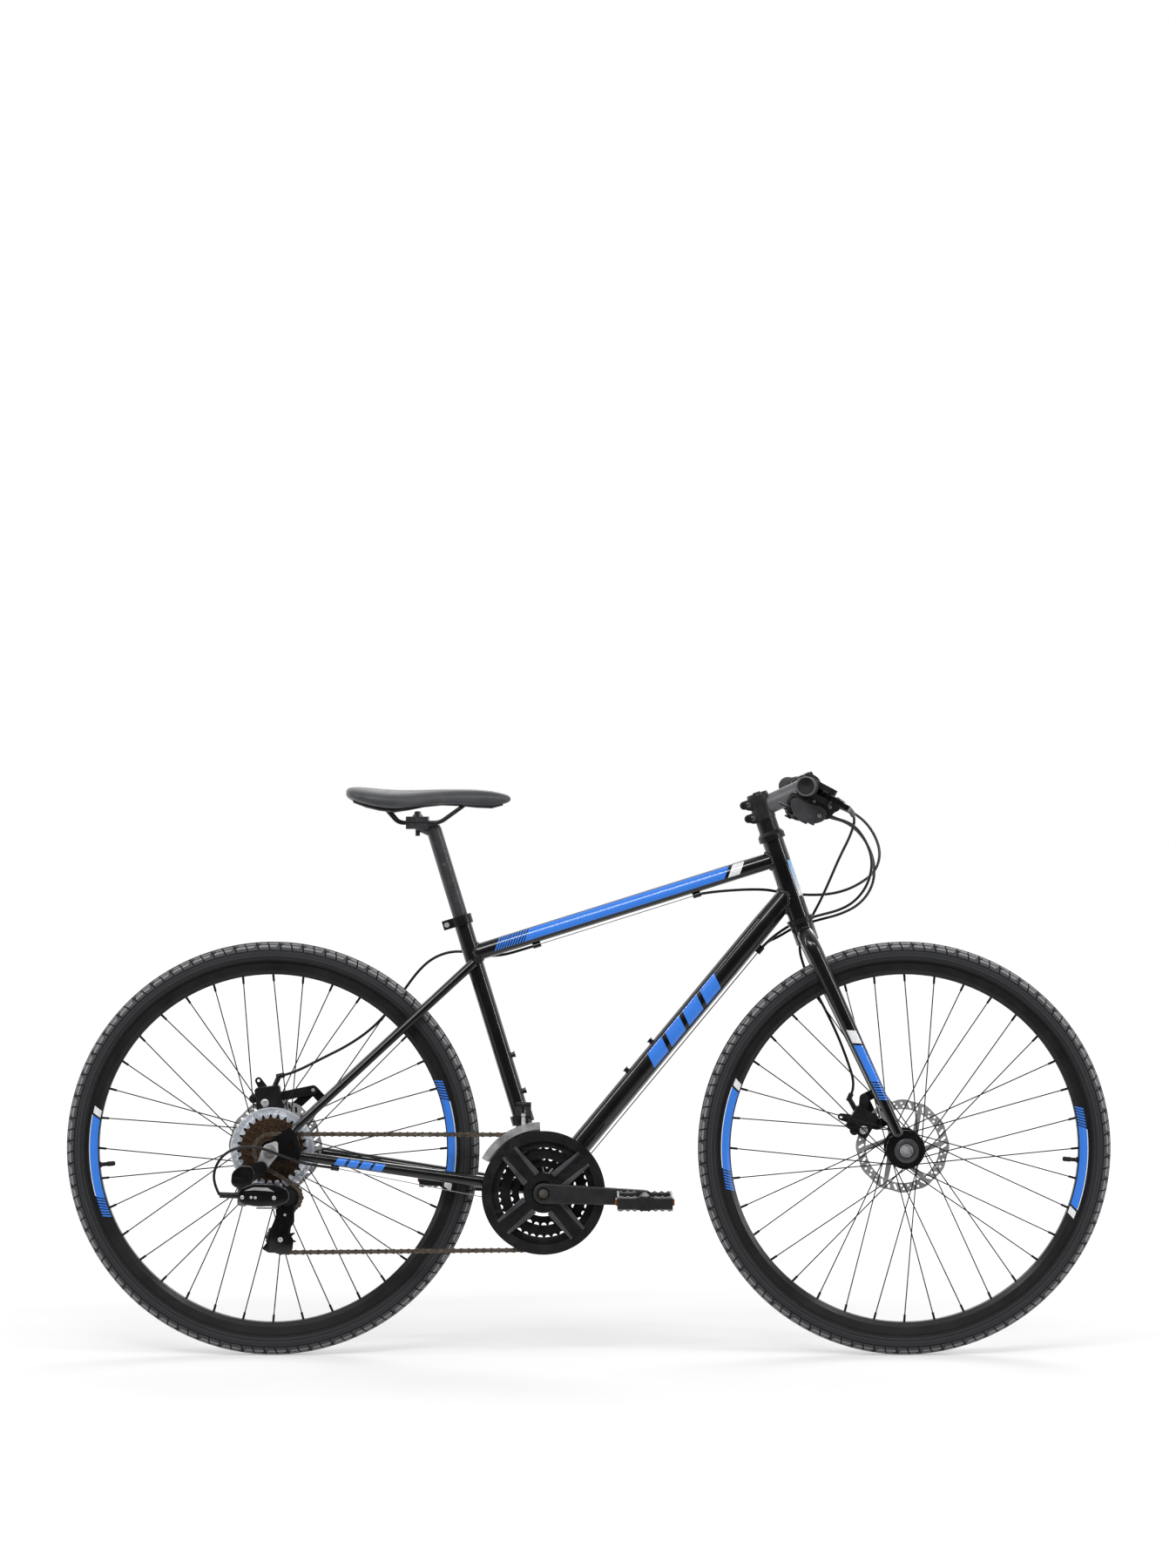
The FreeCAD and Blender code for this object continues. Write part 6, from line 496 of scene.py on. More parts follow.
def saddle_vinyl():
    """Smooth black vinyl with a fine leather-like pebble."""
    skin = Finish("saddle_vinyl_skin", 0.5, specular=0.45, Sheen_Weight=0.2, Sheen_Roughness=0.4)
    grain, blotch = skin.grain(1200, 24)
    colour = blotch.tint((0.040, 0.041, 0.046), (0.064, 0.065, 0.071))
    return skin.done(colour, blotch.spread(0.36, 0.50), skin.cells(1100, 0.9) + grain * 0.3, 0.35, 0.18)


def grip_rubber():
    """Soft matt rubber with a fine moulded stipple."""
    skin = Finish("grip_rubber_skin", 0.7, specular=0.35)
    grain, blotch = skin.grain(2200, 60)
    colour = blotch.tint((0.010, 0.0105), (0.017, 0.018))
    return skin.done(colour, blotch.spread(0.62, 0.78), skin.cells(900, 0.15) + grain, 0.4, 0.25)


def strand_wire():
    """Bright wire rope: fine slanted strands."""
    skin = Finish("strand_wire_steel", 0.3, 1)
    strands = skin.add("TexWave", {"Vector": skin.place(), "Scale": 900, "Distortion": 1}, output=1,
                       bands_direction="DIAGONAL")
    colour = strands.tint((0.34, 0.35), (0.62, 0.64))
    return skin.done(colour, strands.spread(0.25, 0.42), strands, 0.4, 0.1)


def clear_disc():
    """Thin clear plastic with a faint blue cast, moulded rings, and its rim and one inner ring painted near
    white as a highlight.
    """
    skin = Finish("clear_disc_plastic", 0.14, Transmission_Weight=0.55, IOR=1.3)
    radius = skin.ring(REAR_AXLE)[0]
    grain, blotch = skin.grain(160, 18)
    # Painted highlight: the rim and one inner ring painted near white.
    edge = radius.band(0.0685, 0.072) | radius.band(0.0592, 0.0608)
    colour = edge.tint(blotch.tint((0.56, 0.59, 0.66), (0.68, 0.71, 0.78)), (0.92, 0.94, 0.97))
    return skin.done(colour, grain.spread(0.10, 0.2), (radius * 900).sine(), 0.1, 0.1)


def amber_lens():
    """Amber reflector: a lens over rows of small prisms."""
    skin = Finish("amber_prism_lens", 0.12, coat=(1, 0.03))
    prisms = skin.cells(420, 0)
    colour = prisms.tint((0.36, 0.10, 0.012), (0.16, 0.035, 0.005))
    return skin.done(colour, prisms.spread(0.08, 0.25), prisms, 0.6, 0.6)


def chain_steel():
    """Grey-brown chain plates with an oil film, blotched, and rubbed bright here and there."""
    skin = Finish("oiled_chain_steel", 0.4, 0.5)
    grain, blotch = skin.grain(800, 210)
    rubbed = skin.effect("hairline_scuffs", 600) * 0.5
    colour = rubbed.tint(blotch.tint((0.060, 0.046, 0.034), (0.190, 0.155, 0.122)), (0.40, 0.36, 0.31))
    return skin.done(colour, grain.spread(0.28, 0.5), grain, 0.3, 0.12)


def sprocket_steel():
    """Brown sprockets with black teeth: each step outward ends in a dark toothed edge."""
    skin = Finish("brown_sprocket_steel", 0.45, 0.5)
    grain, blotch = skin.grain(900, 360)
    radius = skin.ring(REAR_AXLE)[0]
    share = ((radius - 0.0262) / 0.00405).fraction()
    teeth = share.ramp(0.45, 0.95) | (radius > 0.0545)
    colour = blotch.tint((0.022, 0.011, 0.006), (0.200, 0.118, 0.062))
    colour = (teeth * 0.92).tint(colour, (0.008, 0.007, 0.006))
    return skin.done(colour, grain.spread(0.3, 0.55), grain + share, 0.3, 0.3)


def fastener_steel():
    """Zinc-plated fixing bolts; the hanger bolt, out on the drive side, is black."""
    skin = Finish("plated_fixing_bolts", 0.3, 0.5)
    grain, blotch = skin.grain(1200, 60)
    black = skin.parts(skin.place())[1] < -0.06
    colour = black.tint(blotch.tint((0.50, 0.51, 0.52), (0.70, 0.70)), (0.012, 0.013))
    return skin.done(colour, blotch.spread(0.22, 0.36), grain, 0.4, 0.1)


def pedal_finish(name, middle):
    """Black resin pedal with steel teeth along the upper and lower edges."""
    skin = Finish(name, 0.5)
    grain, blotch = skin.grain(1300, 60)
    x, y, z = skin.parts(skin.place())
    teeth = (abs(z - middle.z) > 0.0088) * (abs(x - middle.x) > 0.0145)
    resin = blotch.tint((0.010, 0.0105), (0.020, 0.021))
    steel = blotch.tint((0.42, 0.43), (0.62, 0.63))
    skin.connect(skin.inputs["Metallic"], teeth)
    return skin.done(teeth.tint(resin, steel), grain.spread(0.35, 0.55), grain, 0.4, 0.2)


# Plain finishes: material's name, dark and light colour, least and most roughness, scale and depth of grain,
# metalness, share of scuffs, specular level, and weight and roughness of a clear coat
PLAIN_FINISHES = {
    "bead paint": (
        "gloss_black_weld_paint", (0.006, 0.0065), (0.010, 0.011), (0.28, 0.4), 500, 0.3, 0, 0, 0.26,
        (1, 0.08)),
    "anodised": (
        "black_anodised_alloy", (0.006, 0.0065), (0.012, 0.013), (0.30, 0.42), 1400, 0.08, 0, 0.25, 0.26,
        (0.3, 0.25)),
    "satin": (
        "black_satin_alloy", (0.016, 0.0175), (0.030, 0.032), (0.34, 0.46), 1200, 0.1, 0.3, 0.25, 0.5),
    "stem satin": (
        "grey_satin_stem", (0.080, 0.081, 0.085), (0.125, 0.126, 0.132), (0.36, 0.48), 1200, 0.1,
        0, 0.2, 0.5),
    # Grey plastic, lighter than the black parts it sits on: painted highlight on the guard's ribs, the fork
    # end ring and the stem's lug bolts
    "rib plastic": (
        "grey_rib_plastic", (0.036, 0.041), (0.070, 0.077), (0.24, 0.36), 900, 0.08, 0, 0.2, 0.6),
    "arm alloy": (
        "black_forged_arm", (0.019, 0.020), (0.031, 0.033), (0.28, 0.40), 1400, 0.08, 0, 0.25, 0.26,
        (0.3, 0.25)),
    "spoke black": (
        "black_spoke_steel", (0.003, 0.0034), (0.008, 0.0085), (0.46, 0.6), 1100, 0.1, 0, 0.2, 0.2),
    "post satin": (
        "black_satin_post", (0.030, 0.033), (0.050, 0.054), (0.24, 0.34), 1200, 0.1, 0, 0.25, 0.6),
    "paddle": (
        "grey_paddle_plastic", (0.034, 0.037), (0.060, 0.064), (0.36, 0.5), 1200, 0.1, 0, 0.2),
    "ring rubber": (
        "grey_ring_rubber", (0.070, 0.071, 0.075), (0.115, 0.116, 0.120), (0.5, 0.66), 1600, 0.2),
    "cast": (
        "black_cast_alloy", (0.007, 0.0075), (0.015, 0.016), (0.36, 0.5), 700, 0.2, 0, 0.2, 0.26, (0.4, 0.2)),
    "moulded": (
        "black_moulded_plastic", (0.009, 0.0095), (0.017, 0.018), (0.45, 0.6), 1500, 0.2, 0, 0.15),
    "polished plastic": (
        "black_polished_plastic", (0.010, 0.0105), (0.019, 0.020), (0.24, 0.36), 900, 0.06, 0, 0.2, 0.26,
        (0.6, 0.08)),
    "black steel": (
        "black_plated_steel", (0.010, 0.011), (0.022, 0.023), (0.3, 0.42), 1100, 0.1, 0.35, 0.35),
    "gloss shell": (
        "black_gloss_shell", (0.004, 0.0045), (0.008, 0.009), (0.16, 0.28), 900, 0.06, 0, 0.2, 0.26,
        (0.8, 0.06)),
    "bright steel": (
        "bright_zinc_steel", (0.60, 0.61), (0.78, 0.78), (0.30, 0.44), 1200, 0.1, 0.45, 0.3),
    "dull steel": (
        "dull_bolt_steel", (0.24, 0.21, 0.18), (0.42, 0.38, 0.34), (0.34, 0.5), 1200, 0.1, 0.9, 0.3),
    "shaded steel": (
        "shaded_cage_steel", (0.26, 0.265), (0.66, 0.67), (0.34, 0.5), 900, 0.1, 0.6, 0.3),
    "hub black": (
        "black_hub_shell", (0.006, 0.0065), (0.012, 0.013), (0.24, 0.36), 1000, 0.08, 0, 0.2, 0.26,
        (0.5, 0.12)),
    "jacket": (
        "black_cable_jacket", (0.008, 0.0085), (0.014, 0.015), (0.3, 0.42), 900, 0.08, 0, 0, 0.26,
        (0.3, 0.2)),
}


def make_finishes():
    """Every finish on the bike, by a plain name."""
    made = {name: plain(*values) for name, values in PLAIN_FINISHES.items()}
    made.update({
        "frame paint": painted("gloss_black_frame_paint", frame_marks),
        "fork paint": painted("gloss_black_fork_paint", fork_marks),
        "bolts": fastener_steel(),
        "chain": chain_steel(),
        "freewheel": sprocket_steel(),
        "clear disc": clear_disc(),
        "vinyl": saddle_vinyl(),
        "grip": grip_rubber(),
        "wire": strand_wire(),
        "amber": amber_lens(),
    })
    for word, centre, valve_turn, print_turn in WHEELS:
        made[word + " rim"] = rim_finish(f"black_{word}_rim", centre, print_turn)
        made[word + " rotor"] = rotor_steel(f"ground_{word}_rotor", centre)
        made[word + " tyre"] = tyre_rubber(word + "_tyre_rubber", centre)
    for word, centre, side in PEDALS:
        made[word + " pedal"] = pedal_finish(word + "_pedal_resin", centre)
    return made


# Finishes of the nodes that come from the solids
NODE_FINISHES = {
    "frame paint": "frame",
    "fork paint": "fork",
    "satin": "stem stem_faceplate",
    "post satin": "seatpost",
    "anodised": "headset_stack handlebar seatpost_collar frame_bearings",
    "arm alloy": "right_crank_arm left_crank_arm",
    "spoke black": "front_spokes rear_spokes",
    "gloss shell": "right_brake_lever left_brake_lever",
    "cast": "front_caliper rear_caliper front_brake_arm rear_brake_arm rd_knuckle rd_outer_link "
            "rd_inner_link rd_cage_knuckle front_derailleur_clamp",
    "moulded": "control_housings right_thumb_lever left_thumb_lever right_trigger left_trigger saddle_base "
               "guide_pulley tension_pulley",
    "polished plastic": "chain_guard",
    "black steel": "chainrings rd_cage cockpit_fasteners fd_links",
    "bright steel": "derailleur_hanger",
    "dull steel": "crank_axles",
    "shaded steel": "fd_cage rear_axle front_axle",
    "bolts": "frame_fasteners",
    "hub black": "front_hub rear_hub",
    "clear disc": "spoke_protector",
    "vinyl": "saddle_cover",
    "grip": "grips",
    "jacket": "frame_cables front_brake_cable",
}
# Nodes whose finish has their own name
NODE_FINISHES.update({node.replace("_", " "): node for node in (
    "front_rim", "rear_rim", "front_rotor", "rear_rotor", "front_tyre", "rear_tyre", "right_pedal",
    "left_pedal", "chain", "freewheel")})


def dress_nodes():
    """A finish for every node that comes from the solids."""
    for finish, nodes in NODE_FINISHES.items():
        for node in nodes.split():
            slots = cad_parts[node].material_slots
            if not slots:
                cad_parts[node].data.materials.append(FINISHES[finish])
            for slot in slots:
                slot.material = FINISHES[finish]


# Pieces

def place_piece(name, mesh, finish):
    """A finished mesh as a smooth piece, at the origin."""
    mesh.name = name
    mesh.materials.clear()
    mesh.materials.append(FINISHES[finish])
    for face in mesh.polygons:
        face.use_smooth = True
    piece = bpy.data.objects.new(name, mesh)
    scene.collection.objects.link(piece)
    return piece


def make_piece(name, shape, finish, body, node=None, crease=CREASE):
    """A shape as a piece on a body, in place of a node where one is named."""
    mesh = finished(shape)
    piece = place_piece(name, mesh, finish)
    if crease:
        mesh.set_sharp_from_angle(angle=math.radians(crease))
    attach(piece, body)
    if node:
        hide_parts(node)


def finished(shape):
    """A bmesh closed up, with its faces outwards, as a mesh."""
    bmesh.ops.remove_doubles(shape, verts=shape.verts, dist=MERGE_DISTANCE)
    bmesh.ops.recalc_face_normals(shape, faces=shape.faces)
    mesh = bpy.data.meshes.new("piece")
    shape.to_mesh(mesh)
    shape.free()
    return mesh


def join(shape, mesh):
    """A bmesh with a mesh added to it, the mesh itself removed."""
    shape.from_mesh(mesh)
    bpy.data.meshes.remove(mesh)
    return shape


def spun_profile(points, centre, axis, steps):
    """An open line of points, spun full round an axis."""
    shape = bmesh.new()
    made = [shape.verts.new(point) for point in points]
    edges = [shape.edges.new(pair) for pair in zip(made, made[1:])]
    bmesh.ops.spin(shape, geom=made + edges, cent=centre, axis=axis, angle=math.tau, steps=steps,
                   use_merge=True)
    return shape


def turned_about(line, foot, way, steps):
    """A profile of (along, radius) points in millimetres, turned about a line through the foot."""
    shape = spun_profile([Vector((radius, along, 0)) * MM for along, radius in line], (0, 0, 0), LEFT, steps)
    turn = LEFT.rotation_difference(way).to_matrix().to_4x4()
    bmesh.ops.transform(shape, matrix=Matrix.Translation(foot) @ turn, verts=shape.verts)
    return shape


def bar_mesh(kind, places, radius, rounding, shares=None, closed=False):
    """A round bar along a line of points, with its own share of the radius at each where they are given."""
    curve = bpy.data.curves.new("bar", "CURVE")
    curve.dimensions = "3D"
    curve.resolution_u = 8
    curve.bevel_depth = radius
    curve.bevel_resolution = rounding
    curve.use_fill_caps = not closed
    spline = curve.splines.new(kind)
    spline.points.add(len(places) - 1)
    for point, place, share in zip(spline.points, places, shares or [1] * len(places)):
        point.co = (*place, 1)
        point.radius = share
    spline.use_cyclic_u = closed
    if kind == "NURBS":
        spline.order_u = min(3, len(places))
        spline.use_endpoint_u = True
    holder = bpy.data.objects.new("bar", curve)
    mesh = bpy.data.meshes.new_from_object(holder)
    bpy.data.objects.remove(holder)
    bpy.data.curves.remove(curve)
    return mesh


def route_mesh(route, radius):
    """A route's smooth NURBS line, bare or as a round tube."""
    return bar_mesh("NURBS", [[part * MM for part in place] for place in route], radius, 4)


def route_points(route):
    line = route_mesh(route, 0)
    points = [vertex.co.copy() for vertex in line.vertices]
    bpy.data.meshes.remove(line)
    return points


def make_cables():
    """Housings and bare wires, each along its own route."""
    for name, route in list(ROUTES.items()) + list(WIRES.items()):
        bare = name in WIRES
        at_front = name == "front_brake_housing"
        radius = WIRE_RADIUS if bare else CABLE_RADIUS
        path = route_points(route)
        piece = place_piece(name, route_mesh(route, radius), "wire" if bare else "jacket")
        2 * radius
        if name in CROSSING_STEERING:
            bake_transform(piece)
        else:
            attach(piece, "fork" if at_front else "frame")
        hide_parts("front_brake_cable" if at_front else "frame_cables")


def tread_angle(number, along):
    """Angle of one line of points across the tread: blocks part by narrow slanted gaps, staggered by row."""
    share = (0, 0.11, 0.41, 0.70)[number % TREAD_STEPS] + number // TREAD_STEPS
    row = 0 if along < 0.0030 else 1 if along < 0.0106 else 2
    slant = (0, 0.10, 0.55)[row] + (along * 40 if row == 1 else -along * 22)
    return math.tau * (share + slant) / TREAD_BLOCKS


def make_tyre(word, centre):
    """Tyre skin: bead, ribbed wall, and a tread of raised blocks in staggered rows."""
    half = list(TYRE_WALL)
    for turn in TREAD_TURNS:
        lean = math.radians(turn)
        half.append((TYRE_RING + TREAD_BASE * math.cos(lean), TREAD_BASE * math.sin(lean)))
    ends = [(radius, -width) for radius, width in reversed(half[:-1])]
    points = [Vector((radius, width, 0)) for radius, width in half + ends]
    steps = TREAD_BLOCKS * TREAD_STEPS
    shape = spun_profile(points, (0, 0, 0), LEFT, steps)
    bmesh.ops.remove_doubles(shape, verts=shape.verts, dist=MERGE_DISTANCE)
    bmesh.ops.recalc_face_normals(shape, faces=shape.faces)
    tread_low = TYRE_RING + TREAD_BASE * math.cos(math.radians(TREAD_EDGE_TURN))
    raised = []
    for face in shape.faces:
        middle = face.calc_center_median()
        radius = math.hypot(middle.x, middle.z)
        lean = math.degrees(math.atan2(abs(middle.y), radius - TYRE_RING))
        number = math.floor(math.atan2(middle.z, middle.x) / math.tau * steps) % TREAD_STEPS
        in_row = 12 < lean < 36 or 40 < lean < 71 or lean < 9
        if radius > tread_low and in_row and (number or lean < 4):
            raised.append(face)
    for vert in shape.verts:
        radius = math.hypot(vert.co.x, vert.co.z)
        if radius > tread_low:
            number = round(math.atan2(vert.co.z, vert.co.x) / math.tau * steps) % steps
            turn = tread_angle(number, abs(vert.co.y))
            vert.co = Vector((radius * math.cos(turn), vert.co.y, radius * math.sin(turn)))
    bmesh.ops.inset_region(shape, faces=raised, thickness=0.0004, depth=TYRE_ROUND - TREAD_BASE,
                           use_even_offset=True)
    bmesh.ops.translate(shape, verts=shape.verts, vec=centre)
    make_piece(word + "_tyre_tread", shape, word + " tyre", word + "_wheel", node=word + "_tyre",
               crease=TREAD_CREASE)


def make_valve(word, centre, turn):
    """Tyre valve: rubber stem with a knurled cap, pointing from the rim to the axle."""
    line = [(0.2960, 0), (0.2960, 0.0052), (0.2938, 0.0052), (0.2926, 0.0036), (0.2838, 0.0034),
            (0.2832, 0.0042)]
    for rib in range(5):
        foot = 0.2825 - rib * 0.0021
        line += [(foot, 0.0044), (foot - 0.0010, 0.0044), (foot - 0.0013, 0.0039), (foot - 0.0018, 0.0039)]
    line += [(0.2712, 0.0040), (0.2700, 0.0030), (0.2700, 0)]
    shape = spun_profile([Vector((reach, radius, 0)) for reach, radius in line], (0, 0, 0), (1, 0, 0), 28)
    place = Matrix.Translation(centre) @ Matrix.Rotation(-math.radians(turn), 4, "Y")
    bmesh.ops.transform(shape, matrix=place, verts=shape.verts)
    make_piece(word + "_valve_stem", shape, "moulded", word + "_wheel", crease=None)


def bar_way(side):
    return Vector((-math.sin(BAR_SWEEP), side * math.cos(BAR_SWEEP), 0))


def grip_end(side):
    return BAR_MIDDLE + LEFT * side * BAR_BEND + bar_way(side) * (BAR_REACH + GRIP_OVERHANG)


def make_grips():
    """Ribbed rubber grips with a flange at the inner end and a dished outer end."""
    line = [(0, 11.3), (0, 16.6), (0.6, 17), (4.4, 17), (5, 16.2), (6.2, 15.2)]
    for rib in range(14):
        foot = 10 + rib * 7.2
        line += [(foot, 14.9), (foot + 0.9, 15.6), (foot + 4.4, 15.6), (foot + 5.3, 14.9)]
    line += [(112.5, 15), (113.5, 15.7), (126.2, 15.7), (127.6, 15.3), (128, 14.6), (128, 13.4),
             (126.2, 12.8), (126.2, 1.4), (125.6, 0.8), (125.6, 0)]
    for word, side in SIDES:
        inner = grip_end(side) - bar_way(side) * GRIP_LENGTH
        make_piece(word + "_grip_rubber", turned_about(line, inner, bar_way(side), 56), "grip", "fork",
                   node="grips", crease=None)


# Saddle stations: place along the bike, half width, top, edge and underside heights, in millimetres
SADDLE_STATIONS = (
    (-413, 40, 963, 953, 948), (-398, 63, 965.6, 949, 939), (-376, 74, 964.2, 945, 931),
    (-355, 77, 962, 942, 926), (-330, 72, 960.2, 939, 923), (-305, 60, 959.8, 938, 927),
    (-280, 45, 960.4, 939, 932), (-250, 33, 961.2, 940, 935), (-220, 26.5, 961.4, 940, 934),
    (-190, 22.5, 961, 939, 931), (-165, 19.5, 958.8, 938, 930), (-146, 15.5, 954.6, 940, 935),
    (-132, 9.5, 950, 943, 940),
)
RAIL_RADIUS = 3.5


def bridged_sections(stations):
    """Rounded sections bridged from tail to nose."""
    shape = bmesh.new()
    loops = []
    for place, half, top, edge, under in stations:
        ring = bmesh.ops.create_circle(shape, segments=24, radius=1)["verts"]
        for vert in ring:
            across, up = vert.co.x, vert.co.y
            if up >= 0:
                height = edge + (top - edge) * abs(up) ** 0.8
            else:
                height = edge + (under - edge) * abs(up) ** 0.7
            width = half * math.copysign(abs(across) ** 0.85, across)
            vert.co = Vector((place, width, height)) * MM
        loops.append(ring)
    for first, second in zip(loops, loops[1:]):
        edges = {edge for ring in (first, second) for vert in ring for edge in vert.link_edges
                 if edge.other_vert(vert) in ring}
        bmesh.ops.bridge_loops(shape, edges=list(edges))
    for ring in (loops[0], loops[-1]):
        bmesh.ops.contextual_create(shape, geom=ring)
    return shape


def rounded_line(corners, reach, steps):
    """A line through the corners, in millimetres, each inner corner rounded over a reach either side."""
    places = [Vector(corner) * MM for corner in corners]
    line = [places[0]]
    for before, corner, after in zip(places, places[1:], places[2:]):
        start = corner + (before - corner).normalized() * reach
        end = corner + (after - corner).normalized() * reach
        for step in range(steps + 1):
            share = step / steps
            line.append(start.lerp(corner, share).lerp(corner.lerp(end, share), share))
    return line + [places[-1]]


def tube_shape(places, radii):
    """A round bar along a line of points, with its own radius in millimetres at each."""
    return join(bmesh.new(), bar_mesh("POLY", places, MM, 5, radii))


def make_saddle():
    """Padded saddle skin, the moulded base under it, and the two rails from its tail to its nose."""
    piece = place_piece("saddle_padded_cover", finished(bridged_sections(SADDLE_STATIONS)), "vinyl")
    surface = piece.modifiers.new("rounding", "SUBSURF")
    surface.levels = surface.render_levels = 2
    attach(piece, "seat")
    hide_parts("saddle_cover")
    stations = [(place, half * 0.8, edge, under + 2, under - 1.8)
                for place, half, top, edge, under in SADDLE_STATIONS[1:-1]]
    make_piece("saddle_under_shell", bridged_sections(stations), "moulded", "seat", node="saddle_base")
    level = RAIL_CLAMP.z / MM
    for word, side in SIDES:
        line = rounded_line(((-352, side * 38, 938), (-323, side * 22, level), (-253, side * 22, level),
                             (-206, side * 9.5, 938)), 0.010, 8)
        make_piece(word + "_saddle_rail", tube_shape(line, [RAIL_RADIUS] * len(line)), "anodised", "seat",
                   node="saddle_base")


def weld_line(start, way, radius, host, host_way, host_radius, steps=144):
    """Points where a round tube meets the tube that it is welded to."""
    side = way.orthogonal().normalized()
    other = way.cross(side)
    slope = way - host_way * way.dot(host_way)
    line = []
    for step in range(steps):
        turn = math.tau * step / steps
        foot = start + (side * math.cos(turn) + other * math.sin(turn)) * radius
        offset = foot - host
        offset -= host_way * offset.dot(host_way)
        half = slope.dot(offset)
        rest = half * half - slope.length_squared * (offset.length_squared - host_radius ** 2)
        reach = (-half - math.sqrt(max(rest, 0))) / slope.length_squared
        line.append(foot + way * reach)
    return line


def make_welds():
    """Rippled welds round the main tubes."""
    head = (HEAD_BOTTOM, HEAD_UP, HEAD_TUBE_RADIUS)
    seat = (BRACKET, SEAT_UP, SEAT_TUBE_RADIUS)
    shell = (BRACKET, LEFT, SHELL_RADIUS)
    for name, start, way, radius, host, bead in (
            ("top_tube_head_weld", TOP_TUBE_REAR, TOP_TUBE_WAY, TOP_TUBE_RADIUS, head, 0.0031),
            ("top_tube_seat_weld", TOP_TUBE_FRONT, -TOP_TUBE_WAY, TOP_TUBE_RADIUS, seat, 0.0029),
            ("down_tube_head_weld", BRACKET, DOWN_TUBE_WAY, DOWN_TUBE_END_RADIUS, head, 0.0033),
            ("down_tube_shell_weld", DOWN_TUBE_FRONT, -DOWN_TUBE_WAY, DOWN_TUBE_RADIUS, shell, 0.0030),
            ("seat_tube_shell_weld", TOP_TUBE_REAR, -SEAT_UP, SEAT_TUBE_RADIUS, shell, 0.0028)):
        line = weld_line(start, way, radius, *host)
        ripples = [0.74 + 0.36 * abs(math.sin(math.pi * number / 6)) for number in range(len(line))]
        piece = place_piece(name, bar_mesh("POLY", line, bead, 2, ripples, closed=True), "bead paint")
        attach(piece, "frame")


def cut_plate(outline, near, far, corner, edge):
    """A plate from an outline of (X, Z) points in millimetres, with rounded corners and softened edges."""
    shape = bmesh.new()
    verts = [shape.verts.new((x * MM, near * MM, z * MM)) for x, z in outline]
    shape.faces.new(verts)
    bmesh.ops.bevel(shape, geom=verts, offset=corner * MM, affect="VERTICES", segments=5, profile=0.5,
                    material=-1, clamp_overlap=True)
    made = bmesh.ops.extrude_face_region(shape, geom=shape.faces[:])["geom"]
    bmesh.ops.translate(shape, verts=[item for item in made if isinstance(item, bmesh.types.BMVert)],
                        vec=(0, (far - near) * MM, 0))
    bmesh.ops.recalc_face_normals(shape, faces=shape.faces)
    rims = [line for line in shape.edges if abs(line.verts[0].co.y - line.verts[1].co.y) < 1e-6]
    bmesh.ops.bevel(shape, geom=rims, offset=edge * MM, affect="EDGES", segments=3, profile=0.5, material=-1,
                    clamp_overlap=True)
    return shape


def screw_heads(places):
    """Round screw heads with a socket, towards -Y: X, Z, face, radius and height of each in millimetres."""
    shape = bmesh.new()
    for x, z, face, radius, height in places:
        line = ((0, 0), (0, radius), (-height * 0.7, radius), (-height, radius * 0.82),
                (-height, radius * 0.45), (-height * 0.4, radius * 0.42), (-height * 0.4, 0))
        join(shape, finished(turned_about(line, Vector((x, face, z)) * MM, LEFT, 24)))
    return shape


def make_derailleur_covers():
    """Outer shells of the rear derailleur: knuckle, link and cage face, with their screws."""
    for name, body, finish, size, outline in (
            ("rd_knuckle_shell", "rd_knuckle", "gloss shell", (-96.4, -89.5, 5, 2.6),
             ((-559, 313), (-565, 329), (-584, 331), (-599, 318), (-601, 299), (-592, 291.5), (-574, 291.5),
              (-566, 298))),
            ("rd_link_shell", "rd_outer_link", "gloss shell", (-103, -97.6, 6, 2.4),
             ((-590, 276), (-585, 292), (-563, 301), (-529, 300), (-507, 292), (-501, 280), (-505, 268),
              (-522, 262), (-556, 261), (-582, 265))),
            ("rd_link_rib", "rd_outer_link", "shaded steel", (-104.6, -102.6, 1.6, 0.8),
             ((-578, 288), (-562, 294), (-538, 293), (-526, 286), (-540, 288), (-562, 289))),
            ("rd_link_edge", "rd_outer_link", "shaded steel", (-99, -94, 1, 0.6),
             ((-558, 259.6), (-525, 259.6), (-522, 257), (-558, 257))),
            ("rd_cage_face", "rd_cage", "gloss shell", (-66, -64.3, 2.4, 0.5),
             ((-496, 262), (-496, 231), (-506, 217), (-497.5, 202), (-499, 185), (-507, 179.5), (-540, 180),
              (-551, 187), (-542, 198), (-541, 209), (-532, 230), (-527, 243), (-528, 258)))):
        make_piece(name, cut_plate(outline, *size), finish, body)
    for name, body, places in (
            ("rd_link_screws", "rd_outer_link",
             ((-581, 277, -102.8, 3.4, 1.4), (-527.5, 276, -102.8, 3.4, 1.4), (-566, 277, -102.8, 2.4, 1.2),
              (-559, 276.5, -102.8, 2.4, 1.2))),
            ("rd_cage_screws", "rd_cage", ((-519.5, 202.1, -65.8, 4.2, 2), (-512, 244, -65.8, 2.2, 1.2)))):
        make_piece(name, screw_heads(places), "bright steel", body)


